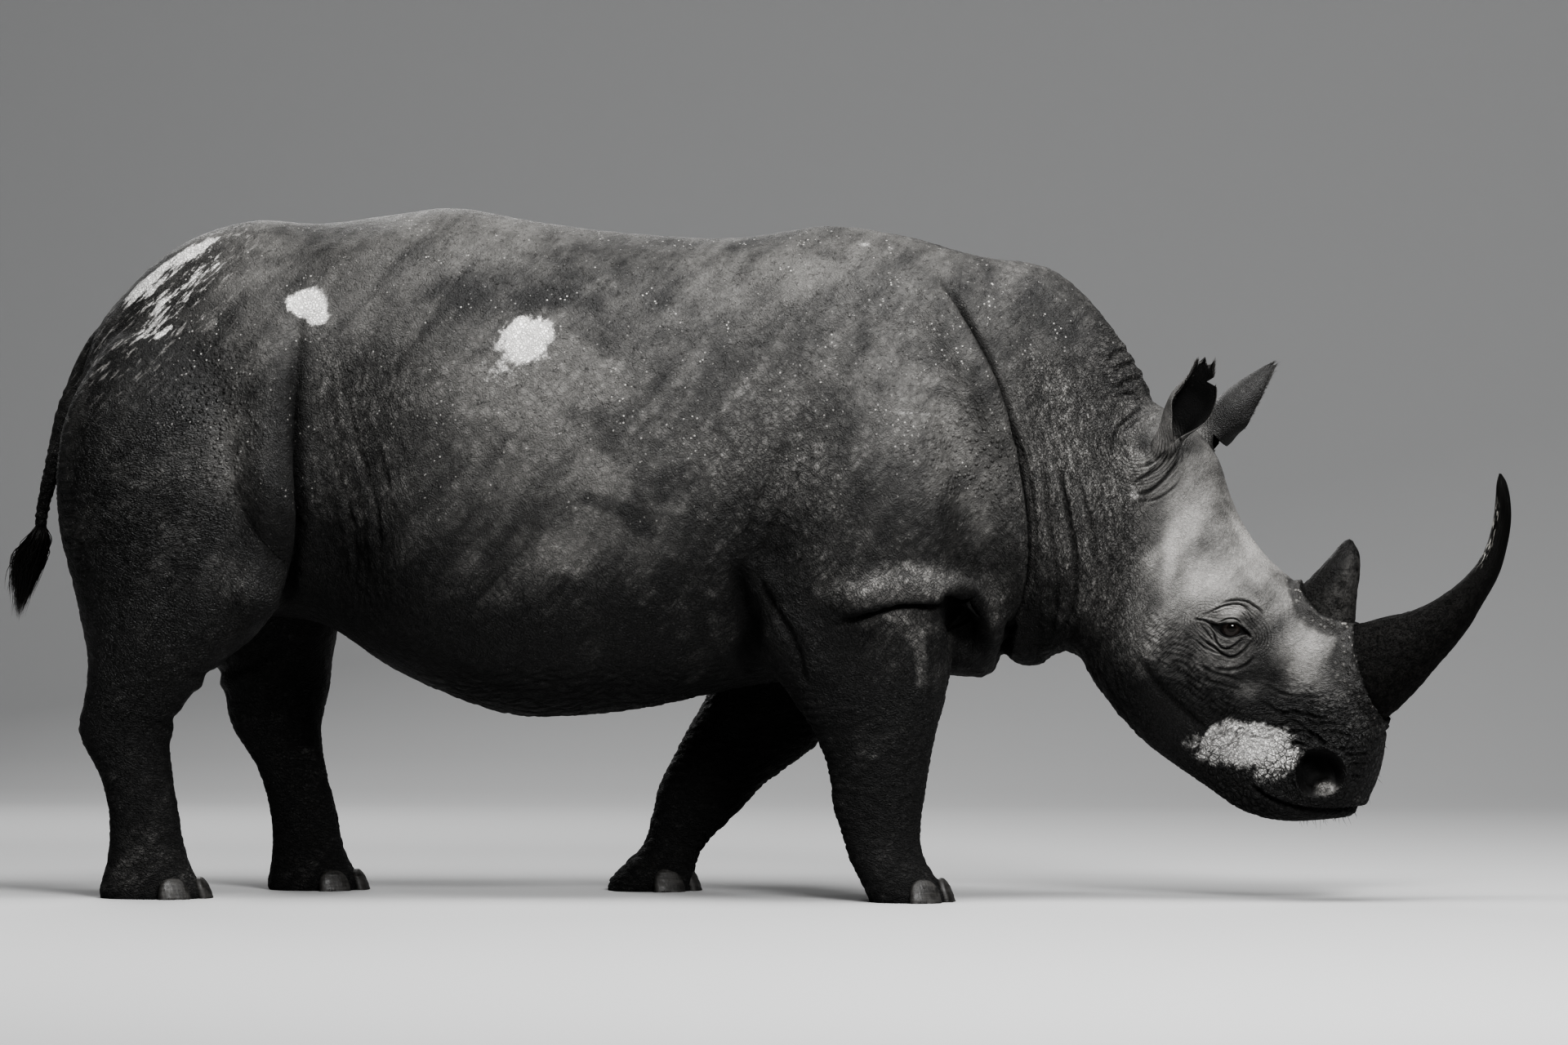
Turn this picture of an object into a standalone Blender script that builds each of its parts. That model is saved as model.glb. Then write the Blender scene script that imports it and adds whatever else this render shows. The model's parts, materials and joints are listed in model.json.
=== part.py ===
"""A white rhinoceros, life size, walking with its head low, as a still museum model.

Metres, +Z up. It faces +X; its right side is -Y. Run with: blender --background --python part.py

The flesh is modelled whole from lofts (trunk, head and four legs) that a voxel remesh welds, then it is
relaxed, reduced, and parted with thin cuts into the pieces a person would name. Horns, ears, eyes, nails
and tail are pieces of their own that sit against it.
"""

import math

import bmesh
import bpy
import numpy as np
from mathutils import Matrix, Vector

# ---------------------------------------------------------------- driving sizes, metres and degrees
GAP = 0.0006  # between neighbouring pieces
VOXEL = 0.017  # of the remesh that welds the lofts
FLESH_FACES = 2950  # triangles that the whole flesh is reduced to
HEAD_TURN = 12.0  # degrees, the head turned to its right
VIEW_TURN = 5.0  # degrees, the view along which lengths of the turned neck and head hold
TURN_FROM, TURN_TO = 0.50, 0.98  # where along X the neck starts and stops turning
EYE_RADIUS = 0.027
EYE_AT = (1.184, 0.157, 0.6965)  # left eye before the head is turned
SOLE = 0.0  # the level of the four soles

# The head's own axis: its start at the nape, and its direction down the face.
HEAD_START = (0.93, 0.95)
HEAD_SLOPE = -50.81  # degrees below the horizon

# Trunk and neck, upright sections from the tail forwards:
# name, x, top, bottom, half width, height of the greatest width, squareness above, squareness below
TRUNK = (
    ("rump end", -1.850, 1.235, 1.020, 0.100, 1.130, 2.0, 2.0),
    ("tail root", -1.790, 1.430, 0.860, 0.215, 1.110, 2.0, 2.0),
    ("pin bones", -1.700, 1.562, 0.770, 0.290, 1.090, 1.9, 2.0),
    ("croup", -1.580, 1.666, 0.740, 0.345, 1.080, 1.8, 2.0),
    ("hips", -1.400, 1.736, 0.720, 0.400, 1.080, 1.8, 2.0),
    ("loin", -1.180, 1.732, 0.690, 0.425, 1.050, 1.9, 2.0),
    ("hip bones", -1.020, 1.748, 0.588, 0.442, 1.010, 1.9, 2.1),
    ("sacrum", -0.860, 1.766, 0.512, 0.458, 0.980, 1.9, 2.15),
    ("last rib", -0.700, 1.738, 0.464, 0.472, 0.960, 1.9, 2.2),
    ("barrel", -0.520, 1.708, 0.462, 0.476, 0.950, 1.95, 2.2),
    ("ribs", -0.300, 1.690, 0.492, 0.465, 0.970, 1.95, 2.2),
    ("girth", -0.100, 1.689, 0.535, 0.440, 1.000, 1.9, 2.1),
    ("withers", 0.130, 1.719, 0.560, 0.405, 1.030, 1.8, 2.0),
    ("shoulder", 0.330, 1.692, 0.560, 0.375, 1.030, 1.8, 2.0),
    ("breast", 0.450, 1.659, 0.580, 0.345, 1.030, 1.8, 2.0),
    ("neck root", 0.540, 1.638, 0.605, 0.305, 1.030, 1.9, 2.0),
    ("hump", 0.620, 1.632, 0.615, 0.275, 1.010, 2.0, 2.0),
    ("nape", 0.710, 1.600, 0.630, 0.250, 0.970, 2.0, 2.0),
    ("upper neck", 0.800, 1.515, 0.610, 0.232, 0.930, 2.0, 2.0),
    ("neck end", 0.875, 1.415, 0.610, 0.205, 0.900, 2.0, 2.0),
    ("poll", 0.930, 1.322, 0.650, 0.160, 0.920, 2.0, 2.0),
)

# Head, sections square to its axis, from the nape to the lip:
# name, way along the axis, height above it, depth below it, half width, where the width lies, squareness above and below
HEAD = (
    ("in the neck", -0.270, 0.205, 0.100, 0.130, 0.050, 2.0, 2.0),
    ("ears", -0.120, 0.252, 0.200, 0.165, 0.060, 2.1, 2.0),
    ("poll crest", -0.030, 0.252, 0.260, 0.164, 0.050, 2.0, 2.0),
    ("temple", 0.070, 0.214, 0.312, 0.167, 0.030, 2.0, 2.0),
    ("forehead", 0.150, 0.192, 0.342, 0.174, 0.010, 2.0, 2.0),
    ("cheek", 0.240, 0.186, 0.356, 0.182, -0.010, 2.0, 2.0),
    ("eye", 0.340, 0.204, 0.358, 0.178, -0.020, 2.0, 2.0),
    ("under the eye", 0.430, 0.231, 0.350, 0.160, -0.030, 2.0, 2.0),
    ("between horns", 0.530, 0.252, 0.325, 0.140, -0.020, 2.2, 2.0),
    ("nose boss", 0.620, 0.226, 0.298, 0.132, -0.020, 2.3, 2.0),
    ("nostril back", 0.700, 0.185, 0.273, 0.136, -0.030, 2.4, 2.2),
    ("nostril", 0.765, 0.150, 0.232, 0.140, -0.030, 2.5, 2.3),
    ("lip", 0.825, 0.090, 0.168, 0.132, -0.030, 2.5, 2.4),
    ("lip edge", 0.868, 0.030, 0.105, 0.100, -0.035, 2.3, 2.3),
    ("lip end", 0.893, -0.015, 0.066, 0.045, -0.040, 2.0, 2.0),
)

# Legs, level sections from the sole up: name, z, x behind, x in front, y inside, y outside
RIGHT_FORE = (
    ("sole", -0.030, 0.250, 0.440, 0.170, 0.390),
    ("pad", 0.015, 0.236, 0.446, 0.148, 0.404),
    ("toes", 0.060, 0.213, 0.412, 0.158, 0.394),
    ("pastern", 0.105, 0.190, 0.384, 0.174, 0.375),
    ("fetlock", 0.160, 0.174, 0.373, 0.180, 0.362),
    ("cannon", 0.235, 0.148, 0.378, 0.176, 0.362),
    ("knee", 0.320, 0.138, 0.390, 0.166, 0.372),
    ("forearm", 0.420, 0.103, 0.410, 0.150, 0.390),
    ("elbow", 0.540, 0.025, 0.440, 0.125, 0.410),
    ("upper arm", 0.690, -0.040, 0.458, 0.100, 0.432),
    ("arm", 0.860, -0.060, 0.465, 0.080, 0.444),
    ("shoulder point", 1.060, -0.040, 0.470, 0.080, 0.438),
    ("blade", 1.260, 0.030, 0.440, 0.080, 0.388),
    ("blade top", 1.430, 0.130, 0.370, 0.080, 0.290),
)
LEFT_FORE = (
    ("sole", -0.030, -0.470, -0.262, 0.170, 0.390),
    ("pad", 0.012, -0.490, -0.254, 0.148, 0.404),
    ("toes", 0.049, -0.463, -0.256, 0.158, 0.394),
    ("pastern", 0.085, -0.429, -0.249, 0.172, 0.377),
    ("fetlock", 0.118, -0.396, -0.228, 0.180, 0.364),
    ("cannon", 0.190, -0.374, -0.155, 0.176, 0.362),
    ("knee", 0.270, -0.352, -0.082, 0.166, 0.372),
    ("forearm", 0.373, -0.304, 0.060, 0.150, 0.390),
    ("elbow", 0.520, -0.220, 0.150, 0.125, 0.410),
    ("upper arm", 0.690, -0.130, 0.270, 0.100, 0.432),
    ("arm", 0.860, -0.090, 0.390, 0.080, 0.444),
    ("shoulder point", 1.060, -0.045, 0.460, 0.080, 0.438),
    ("blade", 1.260, 0.030, 0.440, 0.080, 0.388),
    ("blade top", 1.430, 0.130, 0.370, 0.080, 0.290),
)
RIGHT_HIND = (
    ("sole", -0.030, -1.725, -1.475, 0.150, 0.350),
    ("pad", 0.015, -1.738, -1.462, 0.130, 0.366),
    ("toes", 0.060, -1.728, -1.492, 0.140, 0.352),
    ("pastern", 0.115, -1.716, -1.514, 0.156, 0.334),
    ("shank", 0.200, -1.714, -1.530, 0.164, 0.322),
    ("shank top", 0.310, -1.738, -1.548, 0.164, 0.326),
    ("hock", 0.430, -1.795, -1.552, 0.156, 0.338),
    ("gaskin", 0.520, -1.776, -1.500, 0.135, 0.362),
    ("gaskin top", 0.600, -1.768, -1.425, 0.110, 0.386),
    ("stifle", 0.690, -1.782, -1.322, 0.075, 0.410),
    ("thigh", 0.780, -1.803, -1.262, 0.040, 0.424),
    ("thigh bone", 0.940, -1.842, -1.232, 0.030, 0.434),
    ("hip joint", 1.120, -1.850, -1.232, 0.030, 0.424),
    ("buttock", 1.290, -1.810, -1.260, 0.030, 0.376),
    ("buttock top", 1.440, -1.720, -1.340, 0.030, 0.285),
)
LEFT_HIND = (
    ("sole", -0.030, -1.362, -1.135, 0.150, 0.350),
    ("pad", 0.015, -1.375, -1.122, 0.130, 0.366),
    ("toes", 0.060, -1.366, -1.150, 0.140, 0.352),
    ("pastern", 0.115, -1.362, -1.174, 0.156, 0.334),
    ("shank", 0.200, -1.368, -1.190, 0.164, 0.322),
    ("shank top", 0.310, -1.400, -1.218, 0.164, 0.326),
    ("hock", 0.430, -1.470, -1.232, 0.156, 0.338),
    ("gaskin", 0.520, -1.488, -1.212, 0.135, 0.362),
    ("gaskin top", 0.600, -1.520, -1.206, 0.110, 0.386),
    ("stifle", 0.690, -1.620, -1.184, 0.075, 0.410),
    ("thigh", 0.780, -1.720, -1.166, 0.040, 0.424),
    ("thigh bone", 0.940, -1.812, -1.160, 0.030, 0.434),
    ("hip joint", 1.120, -1.842, -1.190, 0.030, 0.424),
    ("buttock", 1.290, -1.810, -1.240, 0.030, 0.376),
    ("buttock top", 1.440, -1.720, -1.330, 0.030, 0.285),
)

# Forms that stand out of the lofts or sink into them: name, centre of the left one (x, y, z), radii, push out
FORMS = (
    ("hip bone", (-1.02, 0.22, 1.66), (0.14, 0.12, 0.12), 0.022),
    ("croup hollow", (-1.28, 0.16, 1.70), (0.16, 0.12, 0.12), -0.010),
    ("spine", (-0.55, 0.0, 1.70), (0.60, 0.06, 0.10), 0.010),
    ("flank hollow", (-1.10, 0.44, 1.02), (0.12, 0.20, 0.30), -0.034),
    ("thigh edge", (-1.30, 0.42, 0.98), (0.10, 0.20, 0.34), 0.026),
    ("shoulder swell", (0.40, 0.42, 0.98), (0.22, 0.20, 0.34), 0.032),
    ("neck hollow", (0.66, 0.27, 1.02), (0.10, 0.20, 0.34), -0.014),
    ("brisket roll", (0.475, 0.17, 0.60), (0.06, 0.16, 0.09), 0.020),
    ("throat roll", (0.625, 0.0, 0.62), (0.05, 0.18, 0.07), 0.014),
    ("jaw muscle", (1.00, 0.18, 0.66), (0.13, 0.12, 0.15), 0.018),
    ("cheek bone", (1.12, 0.18, 0.74), (0.12, 0.10, 0.06), 0.014),
    ("brow", (1.205, 0.16, 0.750), (0.07, 0.07, 0.045), 0.016),
    ("under the eye", (1.20, 0.17, 0.635), (0.06, 0.06, 0.035), -0.006),
    ("nose side", (1.30, 0.13, 0.56), (0.10, 0.08, 0.09), -0.008),
    ("nose boss", (1.49, 0.09, 0.60), (0.06, 0.08, 0.13), 0.012),
    ("nostril wing", (1.405, 0.14, 0.345), (0.062, 0.06, 0.062), 0.014),
    ("nostril", (1.403, 0.15, 0.328), (0.026, 0.06, 0.028), -0.030),
    ("lip corner", (1.26, 0.13, 0.27), (0.09, 0.08, 0.05), 0.006),
)

# Horns, sections from inside the nose to the tip, before the head is turned: the point on the hollow edge (x, z), the
# point on the bowed edge, and half the width
HORN_FRONT = (
    ((1.349, 0.630), (1.418, 0.397), 0.074),
    ((1.439, 0.697), (1.504, 0.440), 0.080),
    ((1.521, 0.720), (1.574, 0.499), 0.074),
    ((1.596, 0.739), (1.653, 0.586), 0.060),
    ((1.667, 0.773), (1.725, 0.674), 0.047),
    ((1.724, 0.817), (1.777, 0.759), 0.037),
    ((1.765, 0.864), (1.814, 0.827), 0.029),
    ((1.789, 0.914), (1.834, 0.892), 0.024),
    ((1.803, 0.974), (1.846, 0.962), 0.019),
    ((1.808, 1.022), (1.845, 1.018), 0.015),
    ((1.811, 1.063), (1.836, 1.063), 0.010),
    ((1.817, 1.088), (1.823, 1.087), 0.003),
)
HORN_REAR = (
    ((1.285, 0.744), (1.418, 0.630), 0.066),
    ((1.316, 0.792), (1.453, 0.682), 0.066),
    ((1.361, 0.838), (1.461, 0.770), 0.050),
    ((1.398, 0.879), (1.469, 0.832), 0.033),
    ((1.424, 0.911), (1.468, 0.882), 0.017),
    ((1.443, 0.921), (1.453, 0.914), 0.004),
)


# ---------------------------------------------------------------- numbers to shapes
def through(keys, rows, at):
    """Rows read at any place between their keys, on a smooth curve."""
    keys, rows, at = (np.asarray(a, float) for a in (keys, rows, at))
    slope = np.gradient(rows, keys, axis=0)
    i = np.clip(np.searchsorted(keys, at) - 1, 0, len(keys) - 2)
    h = (keys[i + 1] - keys[i])[:, None]
    t = ((at - keys[i]) / (keys[i + 1] - keys[i]))[:, None]
    return (
        (2 * t**3 - 3 * t**2 + 1) * rows[i]
        + (t**3 - 2 * t**2 + t) * h * slope[i]
        + (3 * t**2 - 2 * t**3) * rows[i + 1]
        + (t**3 - t**2) * h * slope[i + 1]
    )


def power(value, squareness):
    return np.sign(value) * np.abs(value) ** (2.0 / squareness)


def section(around, up, down, half, level, square_up, square_down):
    """A rounded section in its own plane: (side, height) for each angle."""
    c, s = np.cos(around), np.sin(around)
    square = np.where(s > 0, square_up, square_down)
    side = half * power(c, square)
    height = level + np.where(s > 0, up - level, level - down) * power(s, square)
    return side, height


def upright_rings(stations, rings, around):
    keys = [s[1] for s in stations]
    at = np.linspace(keys[0], keys[-1], rings)
    for x, (top, bottom, half, level, nu, nd) in zip(at, through(keys, [s[2:] for s in stations], at)):
        side, height = section(around, top, bottom, half, level, nu, nd)
        yield np.stack([np.full_like(side, x), side, height], 1)


def head_rings(stations, rings, around):
    slope = math.radians(HEAD_SLOPE)
    along = np.array([math.cos(slope), 0, math.sin(slope)])
    over = np.array([-math.sin(slope), 0, math.cos(slope)])
    start = np.array([HEAD_START[0], 0, HEAD_START[1]])
    keys = [s[1] for s in stations]
    at = np.linspace(keys[0], keys[-1], rings)
    for way, (up, down, half, level, nu, nd) in zip(at, through(keys, [s[2:] for s in stations], at)):
        side, height = section(around, up, -down, half, level, nu, nd)
        yield start + way * along + height[:, None] * over + side[:, None] * np.array([0, 1.0, 0])


def leg_rings(stations, rings, around, side_sign):
    keys = [s[1] for s in stations]
    at = np.linspace(keys[0], keys[-1], rings)
    for z, (back, front, inner, outer) in zip(at, through(keys, [s[2:] for s in stations], at)):
        square = 2.35
        x = (back + front) / 2 + (front - back) / 2 * power(np.cos(around), square)
        y = (inner + outer) / 2 + (outer - inner) / 2 * power(np.sin(around), square)
        yield np.stack([x, side_sign * y, np.full_like(x, z)], 1)


def loft(bm, rings):
    """Joins rings of unlike sections with quads and closes both ends."""
    rings = [[bm.verts.new(p) for p in ring] for ring in rings]
    n = len(rings[0])
    for a, b in zip(rings, rings[1:]):
        for i in range(n):
            bm.faces.new((a[i], a[(i + 1) % n], b[(i + 1) % n], b[i]))
    bm.faces.new(rings[0][::-1])
    bm.faces.new(rings[-1])


def turned(points):
    """The neck's turn to its right: everything past TURN_TO is swung rigidly, and the neck curves up to it."""
    x = np.linspace(-2.5, 2.5, 2001)
    t = np.clip((x - TURN_FROM) / (TURN_TO - TURN_FROM), 0, 1)
    angle = math.radians(HEAD_TURN) * t * t * (3 - 2 * t)
    view = math.radians(VIEW_TURN)
    step = np.gradient(x) * math.cos(view) / np.cos(angle + view)
    way_x = np.cumsum(step * np.cos(angle))
    way_y = -np.cumsum(step * np.sin(angle))
    way_x += np.interp(0, x, x) - np.interp(0, x, way_x)
    way_y -= np.interp(0, x, way_y)
    p = np.array(points, float)
    a = np.interp(p[:, 0], x, angle)
    px, py = np.interp(p[:, 0], x, way_x), np.interp(p[:, 0], x, way_y)
    return np.stack([px + p[:, 1] * np.sin(a), py + p[:, 1] * np.cos(a), p[:, 2]], 1)


# ---------------------------------------------------------------- Blender helpers
def clear_scene():
    for obj in list(bpy.data.objects):
        bpy.data.objects.remove(obj, do_unlink=True)


def material(name, color, roughness, metallic=0.0):
    made = bpy.data.materials.new(name)
    made.use_nodes = True
    shader = made.node_tree.nodes["Principled BSDF"]
    shader.inputs["Base Color"].default_value = (*color, 1.0)
    shader.inputs["Roughness"].default_value = roughness
    shader.inputs["Metallic"].default_value = metallic
    return made


def new_object(name, mesh, collection):
    obj = bpy.data.objects.new(name, mesh)
    collection.objects.link(obj)
    return obj


def from_bmesh(name, bm, collection):
    bmesh.ops.recalc_face_normals(bm, faces=bm.faces)
    mesh = bpy.data.meshes.new(name)
    bm.to_mesh(mesh)
    bm.free()
    return new_object(name, mesh, collection)


def applied(obj):
    """Replaces the object's mesh by what its modifiers make of it."""
    bpy.context.view_layer.update()
    graph = bpy.context.evaluated_depsgraph_get()
    mesh = bpy.data.meshes.new_from_object(obj.evaluated_get(graph))
    obj.modifiers.clear()
    obj.data = mesh
    return obj


def coordinates(mesh):
    co = np.empty(len(mesh.vertices) * 3)
    mesh.vertices.foreach_get("co", co)
    return co.reshape(-1, 3)


def set_coordinates(mesh, co):
    mesh.vertices.foreach_set("co", np.asarray(co, np.float32).ravel())
    mesh.update()


def normals(mesh):
    no = np.empty(len(mesh.vertices) * 3)
    mesh.vertex_normals.foreach_get("vector", no)
    return no.reshape(-1, 3)


def boolean(obj, other, operation):
    modifier = obj.modifiers.new(operation.title(), "BOOLEAN")
    modifier.operation = operation
    modifier.object = other
    modifier.solver = "EXACT"
    applied(obj)


def swollen(obj, name, by, collection):
    """A cutter: the object's shape grown a little along its normals, so that a piece cut by it keeps a gap."""
    grown = new_object(name, obj.data.copy(), collection)
    set_coordinates(grown.data, coordinates(grown.data) + by * normals(grown.data))
    as_cutter(grown)
    return grown


def as_cutter(obj):
    obj.hide_render = True
    obj.display_type = "WIRE"
    return obj


def hull(name, points, collection):
    bm = bmesh.new()
    for p in points:
        bm.verts.new(p)
    made = bmesh.ops.convex_hull(bm, input=bm.verts)
    bmesh.ops.delete(bm, geom=[g for g in made["geom_interior"] if isinstance(g, bmesh.types.BMVert)], context="VERTS")
    return as_cutter(from_bmesh(name, bm, collection))


def islands_of(bm):
    """The mesh's separate bodies, largest first, each as a set of vertex indices."""
    todo, islands = set(bm.verts), []
    while todo:
        seen, front = set(), [todo.pop()]
        while front:
            v = front.pop()
            seen.add(v.index)
            for e in v.link_edges:
                w = e.other_vert(v)
                if w in todo:
                    todo.discard(w)
                    front.append(w)
        islands.append(seen)
    return sorted(islands, key=lambda island: (-len(island), min(island)))


def keep_island(obj, rank=0):
    """Leaves one of the mesh's bodies: rank 0 is the largest, and drops the crumbs that a cut leaves."""
    bm = bmesh.new()
    bm.from_mesh(obj.data)
    bm.verts.index_update()
    keep = islands_of(bm)[rank]
    bmesh.ops.delete(bm, geom=[v for v in bm.verts if v.index not in keep], context="VERTS")
    bm.to_mesh(obj.data)
    bm.free()


# ---------------------------------------------------------------- the flesh, whole
def build_flesh(collection):
    around = np.linspace(0, 2 * math.pi, 48, endpoint=False)
    bm = bmesh.new()
    loft(bm, list(upright_rings(TRUNK, 70, around)))
    loft(bm, list(head_rings(HEAD, 44, around)))
    around = np.linspace(0, 2 * math.pi, 32, endpoint=False)
    for stations, sign in ((RIGHT_FORE, -1), (LEFT_FORE, 1), (RIGHT_HIND, -1), (LEFT_HIND, 1)):
        loft(bm, list(leg_rings(stations, 50, around, sign)))
    flesh = from_bmesh("flesh", bm, collection)
    remesh = flesh.modifiers.new("Weld", "REMESH")
    remesh.mode = "VOXEL"
    remesh.voxel_size = VOXEL
    relax = flesh.modifiers.new("Relax", "SMOOTH")
    relax.factor = 0.5
    relax.iterations = 7
    applied(flesh)
    co, no = coordinates(flesh.data), normals(flesh.data)
    push = np.zeros(len(co))
    for _, centre, radii, out in FORMS:
        for sign in (1, -1) if centre[1] else (1,):
            d = (co - np.array(centre) * (1, sign, 1)) / radii
            push += out * np.exp(-(d**2).sum(1))
    set_coordinates(flesh.data, turned(co + push[:, None] * no))
    # Reduce: fewer faces on the trunk than on the head and feet.
    co = coordinates(flesh.data)
    fine = flesh.vertex_groups.new(name="coarse")
    weight = 1.0 - 0.25 * (co[:, 0] > 0.92) - 0.10 * (co[:, 2] < 0.35)
    for level in np.unique(weight):
        fine.add(np.flatnonzero(weight == level).tolist(), float(level), "REPLACE")
    reduce = flesh.modifiers.new("Reduce", "DECIMATE")
    bpy.context.view_layer.update()
    reduce.ratio = FLESH_FACES / sum(len(p.vertices) - 2 for p in flesh.data.polygons)
    reduce.vertex_group = "coarse"
    reduce.vertex_group_factor = 0.08
    reduce.use_collapse_triangulate = True
    applied(flesh)
    flesh.vertex_groups.clear()
    # Flat soles at one level.
    bm = bmesh.new()
    bm.from_mesh(flesh.data)
    geometry = bm.verts[:] + bm.edges[:] + bm.faces[:]
    bmesh.ops.bisect_plane(bm, geom=geometry, plane_co=(0, 0, SOLE), plane_no=(0, 0, 1), clear_inner=True)
    bmesh.ops.holes_fill(bm, edges=[e for e in bm.edges if e.is_boundary], sides=0)
    bmesh.ops.recalc_face_normals(bm, faces=bm.faces)
    bm.to_mesh(flesh.data)
    bm.free()
    return flesh


# ---------------------------------------------------------------- pieces that sit on the flesh
def head_point(way, over, side=0.0):
    slope = math.radians(HEAD_SLOPE)
    return np.array(
        [
            HEAD_START[0] + way * math.cos(slope) - over * math.sin(slope),
            side,
            HEAD_START[1] + way * math.sin(slope) + over * math.cos(slope),
        ]
    )


def horn(name, sections, rings, sides, collection):
    """A horn in the head's middle plane: oval rings hung between its hollow edge and its bowed edge."""
    keys = np.linspace(0, 1, len(sections))
    rows = [(*hollow, *bowed, half) for hollow, bowed, half in sections]
    around = np.linspace(0, 2 * math.pi, sides, endpoint=False)[:, None]
    bm = bmesh.new()
    loops = []
    for hx, hz, bx, bz, half in through(keys, rows, np.linspace(0, 1, rings)):
        middle, reach = np.array([hx + bx, 0, hz + bz]) / 2, np.array([hx - bx, 0, hz - bz]) / 2
        loops.append(turned(middle + np.cos(around) * reach + np.sin(around) * half * np.array([0, 1.0, 0])))
    loft(bm, loops)
    obj = from_bmesh(name, bm, collection)
    obj.data.shade_smooth()
    return obj


# Ears: name, way along the ear, radius of the arc, half of the angle that it spans
EAR = (
    ("root", 0.00, 0.038, 175),
    ("neck", 0.20, 0.040, 168),
    ("cup", 0.38, 0.051, 126),
    ("blade", 0.56, 0.056, 100),
    ("narrow", 0.76, 0.044, 88),
    ("tip", 0.92, 0.022, 80),
    ("point", 1.00, 0.008, 74),
)
EAR_THICK = 0.007


def ear(name, line, facing, collection, across=10, along=9):
    """A cupped leaf along a curved line: arcs that open from a tube at the root, then thickened."""
    keys = [e[1] for e in EAR]
    at = np.linspace(0, 1, along)
    shape = through(keys, [e[2:] for e in EAR], at)
    spine = through(np.linspace(0, 1, len(line)), line, at)
    way = np.gradient(spine, axis=0)
    bm = bmesh.new()
    rows = []
    for centre, axis, (radius, half) in zip(spine, way, shape):
        axis = Vector(axis).normalized()
        out = Vector(facing)
        out = (out - out.dot(axis) * axis).normalized()
        side = axis.cross(out)
        row = []
        for a in np.linspace(-math.radians(half), math.radians(half), across):
            p = Vector(centre) - out * (math.cos(a) * radius) + side * (math.sin(a) * radius)
            row.append(bm.verts.new(turned([p])[0]))
        rows.append(row)
    for a, b in zip(rows, rows[1:]):
        for i in range(across - 1):
            bm.faces.new((a[i], a[i + 1], b[i + 1], b[i]))
    obj = from_bmesh(name, bm, collection)
    thick = obj.modifiers.new("Thickness", "SOLIDIFY")
    thick.thickness = EAR_THICK
    thick.offset = 0
    applied(obj)
    return obj


def notch(name, corners, sides, collection):
    """A wedge that cuts a tear into an ear's edge: its corners (x, z), between two distances from the middle."""
    return hull(name, turned([(x, y, z) for x, z in corners for y in sides]), collection)


def eye(name, sign, collection):
    bpy.ops.mesh.primitive_uv_sphere_add(segments=14, ring_count=8, radius=EYE_RADIUS)
    obj = bpy.context.object
    obj.name = obj.data.name = name
    for c in obj.users_collection:
        c.objects.unlink(obj)
    collection.objects.link(obj)
    obj.location = turned([np.array(EYE_AT) * (1, sign, 1)])[0]
    obj.rotation_euler = (math.radians(90), 0, -math.radians(HEAD_TURN))
    obj.data.shade_smooth()
    return obj


def nail(name, centre, heading, size, collection, grow=0.0):
    """A toenail: a rounded plate that faces heading, flat where it meets the sole. Grown, it is its own bed."""
    bm = bmesh.new()
    bmesh.ops.create_uvsphere(bm, u_segments=10, v_segments=6, radius=1.0)
    wide, thick, high = (value + grow for value in size)
    lean = math.radians(16)
    c, s = math.cos(heading), math.sin(heading)
    for v in bm.verts:
        x, y, z = v.co
        x, y, z = power(x, 2.4) * thick, power(y, 2.4) * wide, power(z, 2.4) * high
        x -= z * math.tan(lean)
        v.co = (centre[0] + x * c - y * s, centre[1] + x * s + y * c, centre[2] + z)
    geometry = bm.verts[:] + bm.edges[:] + bm.faces[:]
    bmesh.ops.bisect_plane(bm, geom=geometry, plane_co=(0, 0, SOLE - 20 * grow), plane_no=(0, 0, 1), clear_inner=True)
    bmesh.ops.holes_fill(bm, edges=[e for e in bm.edges if e.is_boundary], sides=0)
    return from_bmesh(name, bm, collection)


# ---------------------------------------------------------------- cuts
# Each leg's share of the flesh, as seen from its side: corners (x, z) of a convex outline, top first, clockwise
CELLS = {
    "foreleg_right": (
        (0.20, 1.10), (0.36, 1.03), (0.455, 0.90), (0.475, 0.75), (0.470, 0.62), (0.60, -0.3),
        (0.02, -0.3), (-0.075, 0.62), (-0.090, 0.75), (-0.075, 0.90), (0.04, 1.03),
    ),
    "foreleg_left": (
        (0.18, 1.10), (0.34, 1.03), (0.435, 0.90), (0.440, 0.78), (0.300, 0.52), (-0.06, -0.3),
        (-0.66, -0.3), (-0.270, 0.52), (-0.140, 0.78), (-0.100, 0.90), (0.02, 1.03),
    ),
    "hindleg_right": (
        (-1.54, 1.28), (-1.34, 1.21), (-1.225, 1.05), (-1.215, 0.86), (-1.28, 0.64), (-1.30, -0.3),
        (-1.98, -0.3), (-2.00, 0.64), (-2.00, 0.86), (-1.95, 1.05), (-1.74, 1.21),
    ),
    "hindleg_left": (
        (-1.50, 1.28), (-1.30, 1.21), (-1.165, 1.05), (-1.115, 0.86), (-1.10, 0.64), (-0.95, -0.3),
        (-1.60, -0.3), (-1.75, 0.52), (-1.98, 0.86), (-1.93, 1.05), (-1.72, 1.21),
    ),
}
INNER_LOW, INNER_FROM, INNER_RISE = 0.030, 0.50, 0.26  # the inner face of a cell: upright, then leaning outwards


def leg_cell(name, outline, collection):
    sign = -1 if name.endswith("right") else 1
    points = []
    for x, z in outline:
        inner = INNER_LOW + INNER_RISE * max(0.0, z - INNER_FROM)
        points += [(x, sign * inner, z), (x, sign * 0.9, z)]
    for a, b in ((outline[4], outline[5]), (outline[7], outline[6])):
        t = (INNER_FROM - b[1]) / (a[1] - b[1])
        points.append((b[0] + t * (a[0] - b[0]), sign * INNER_LOW, INNER_FROM))
    return hull(name + "_cell", points, collection)


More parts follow.
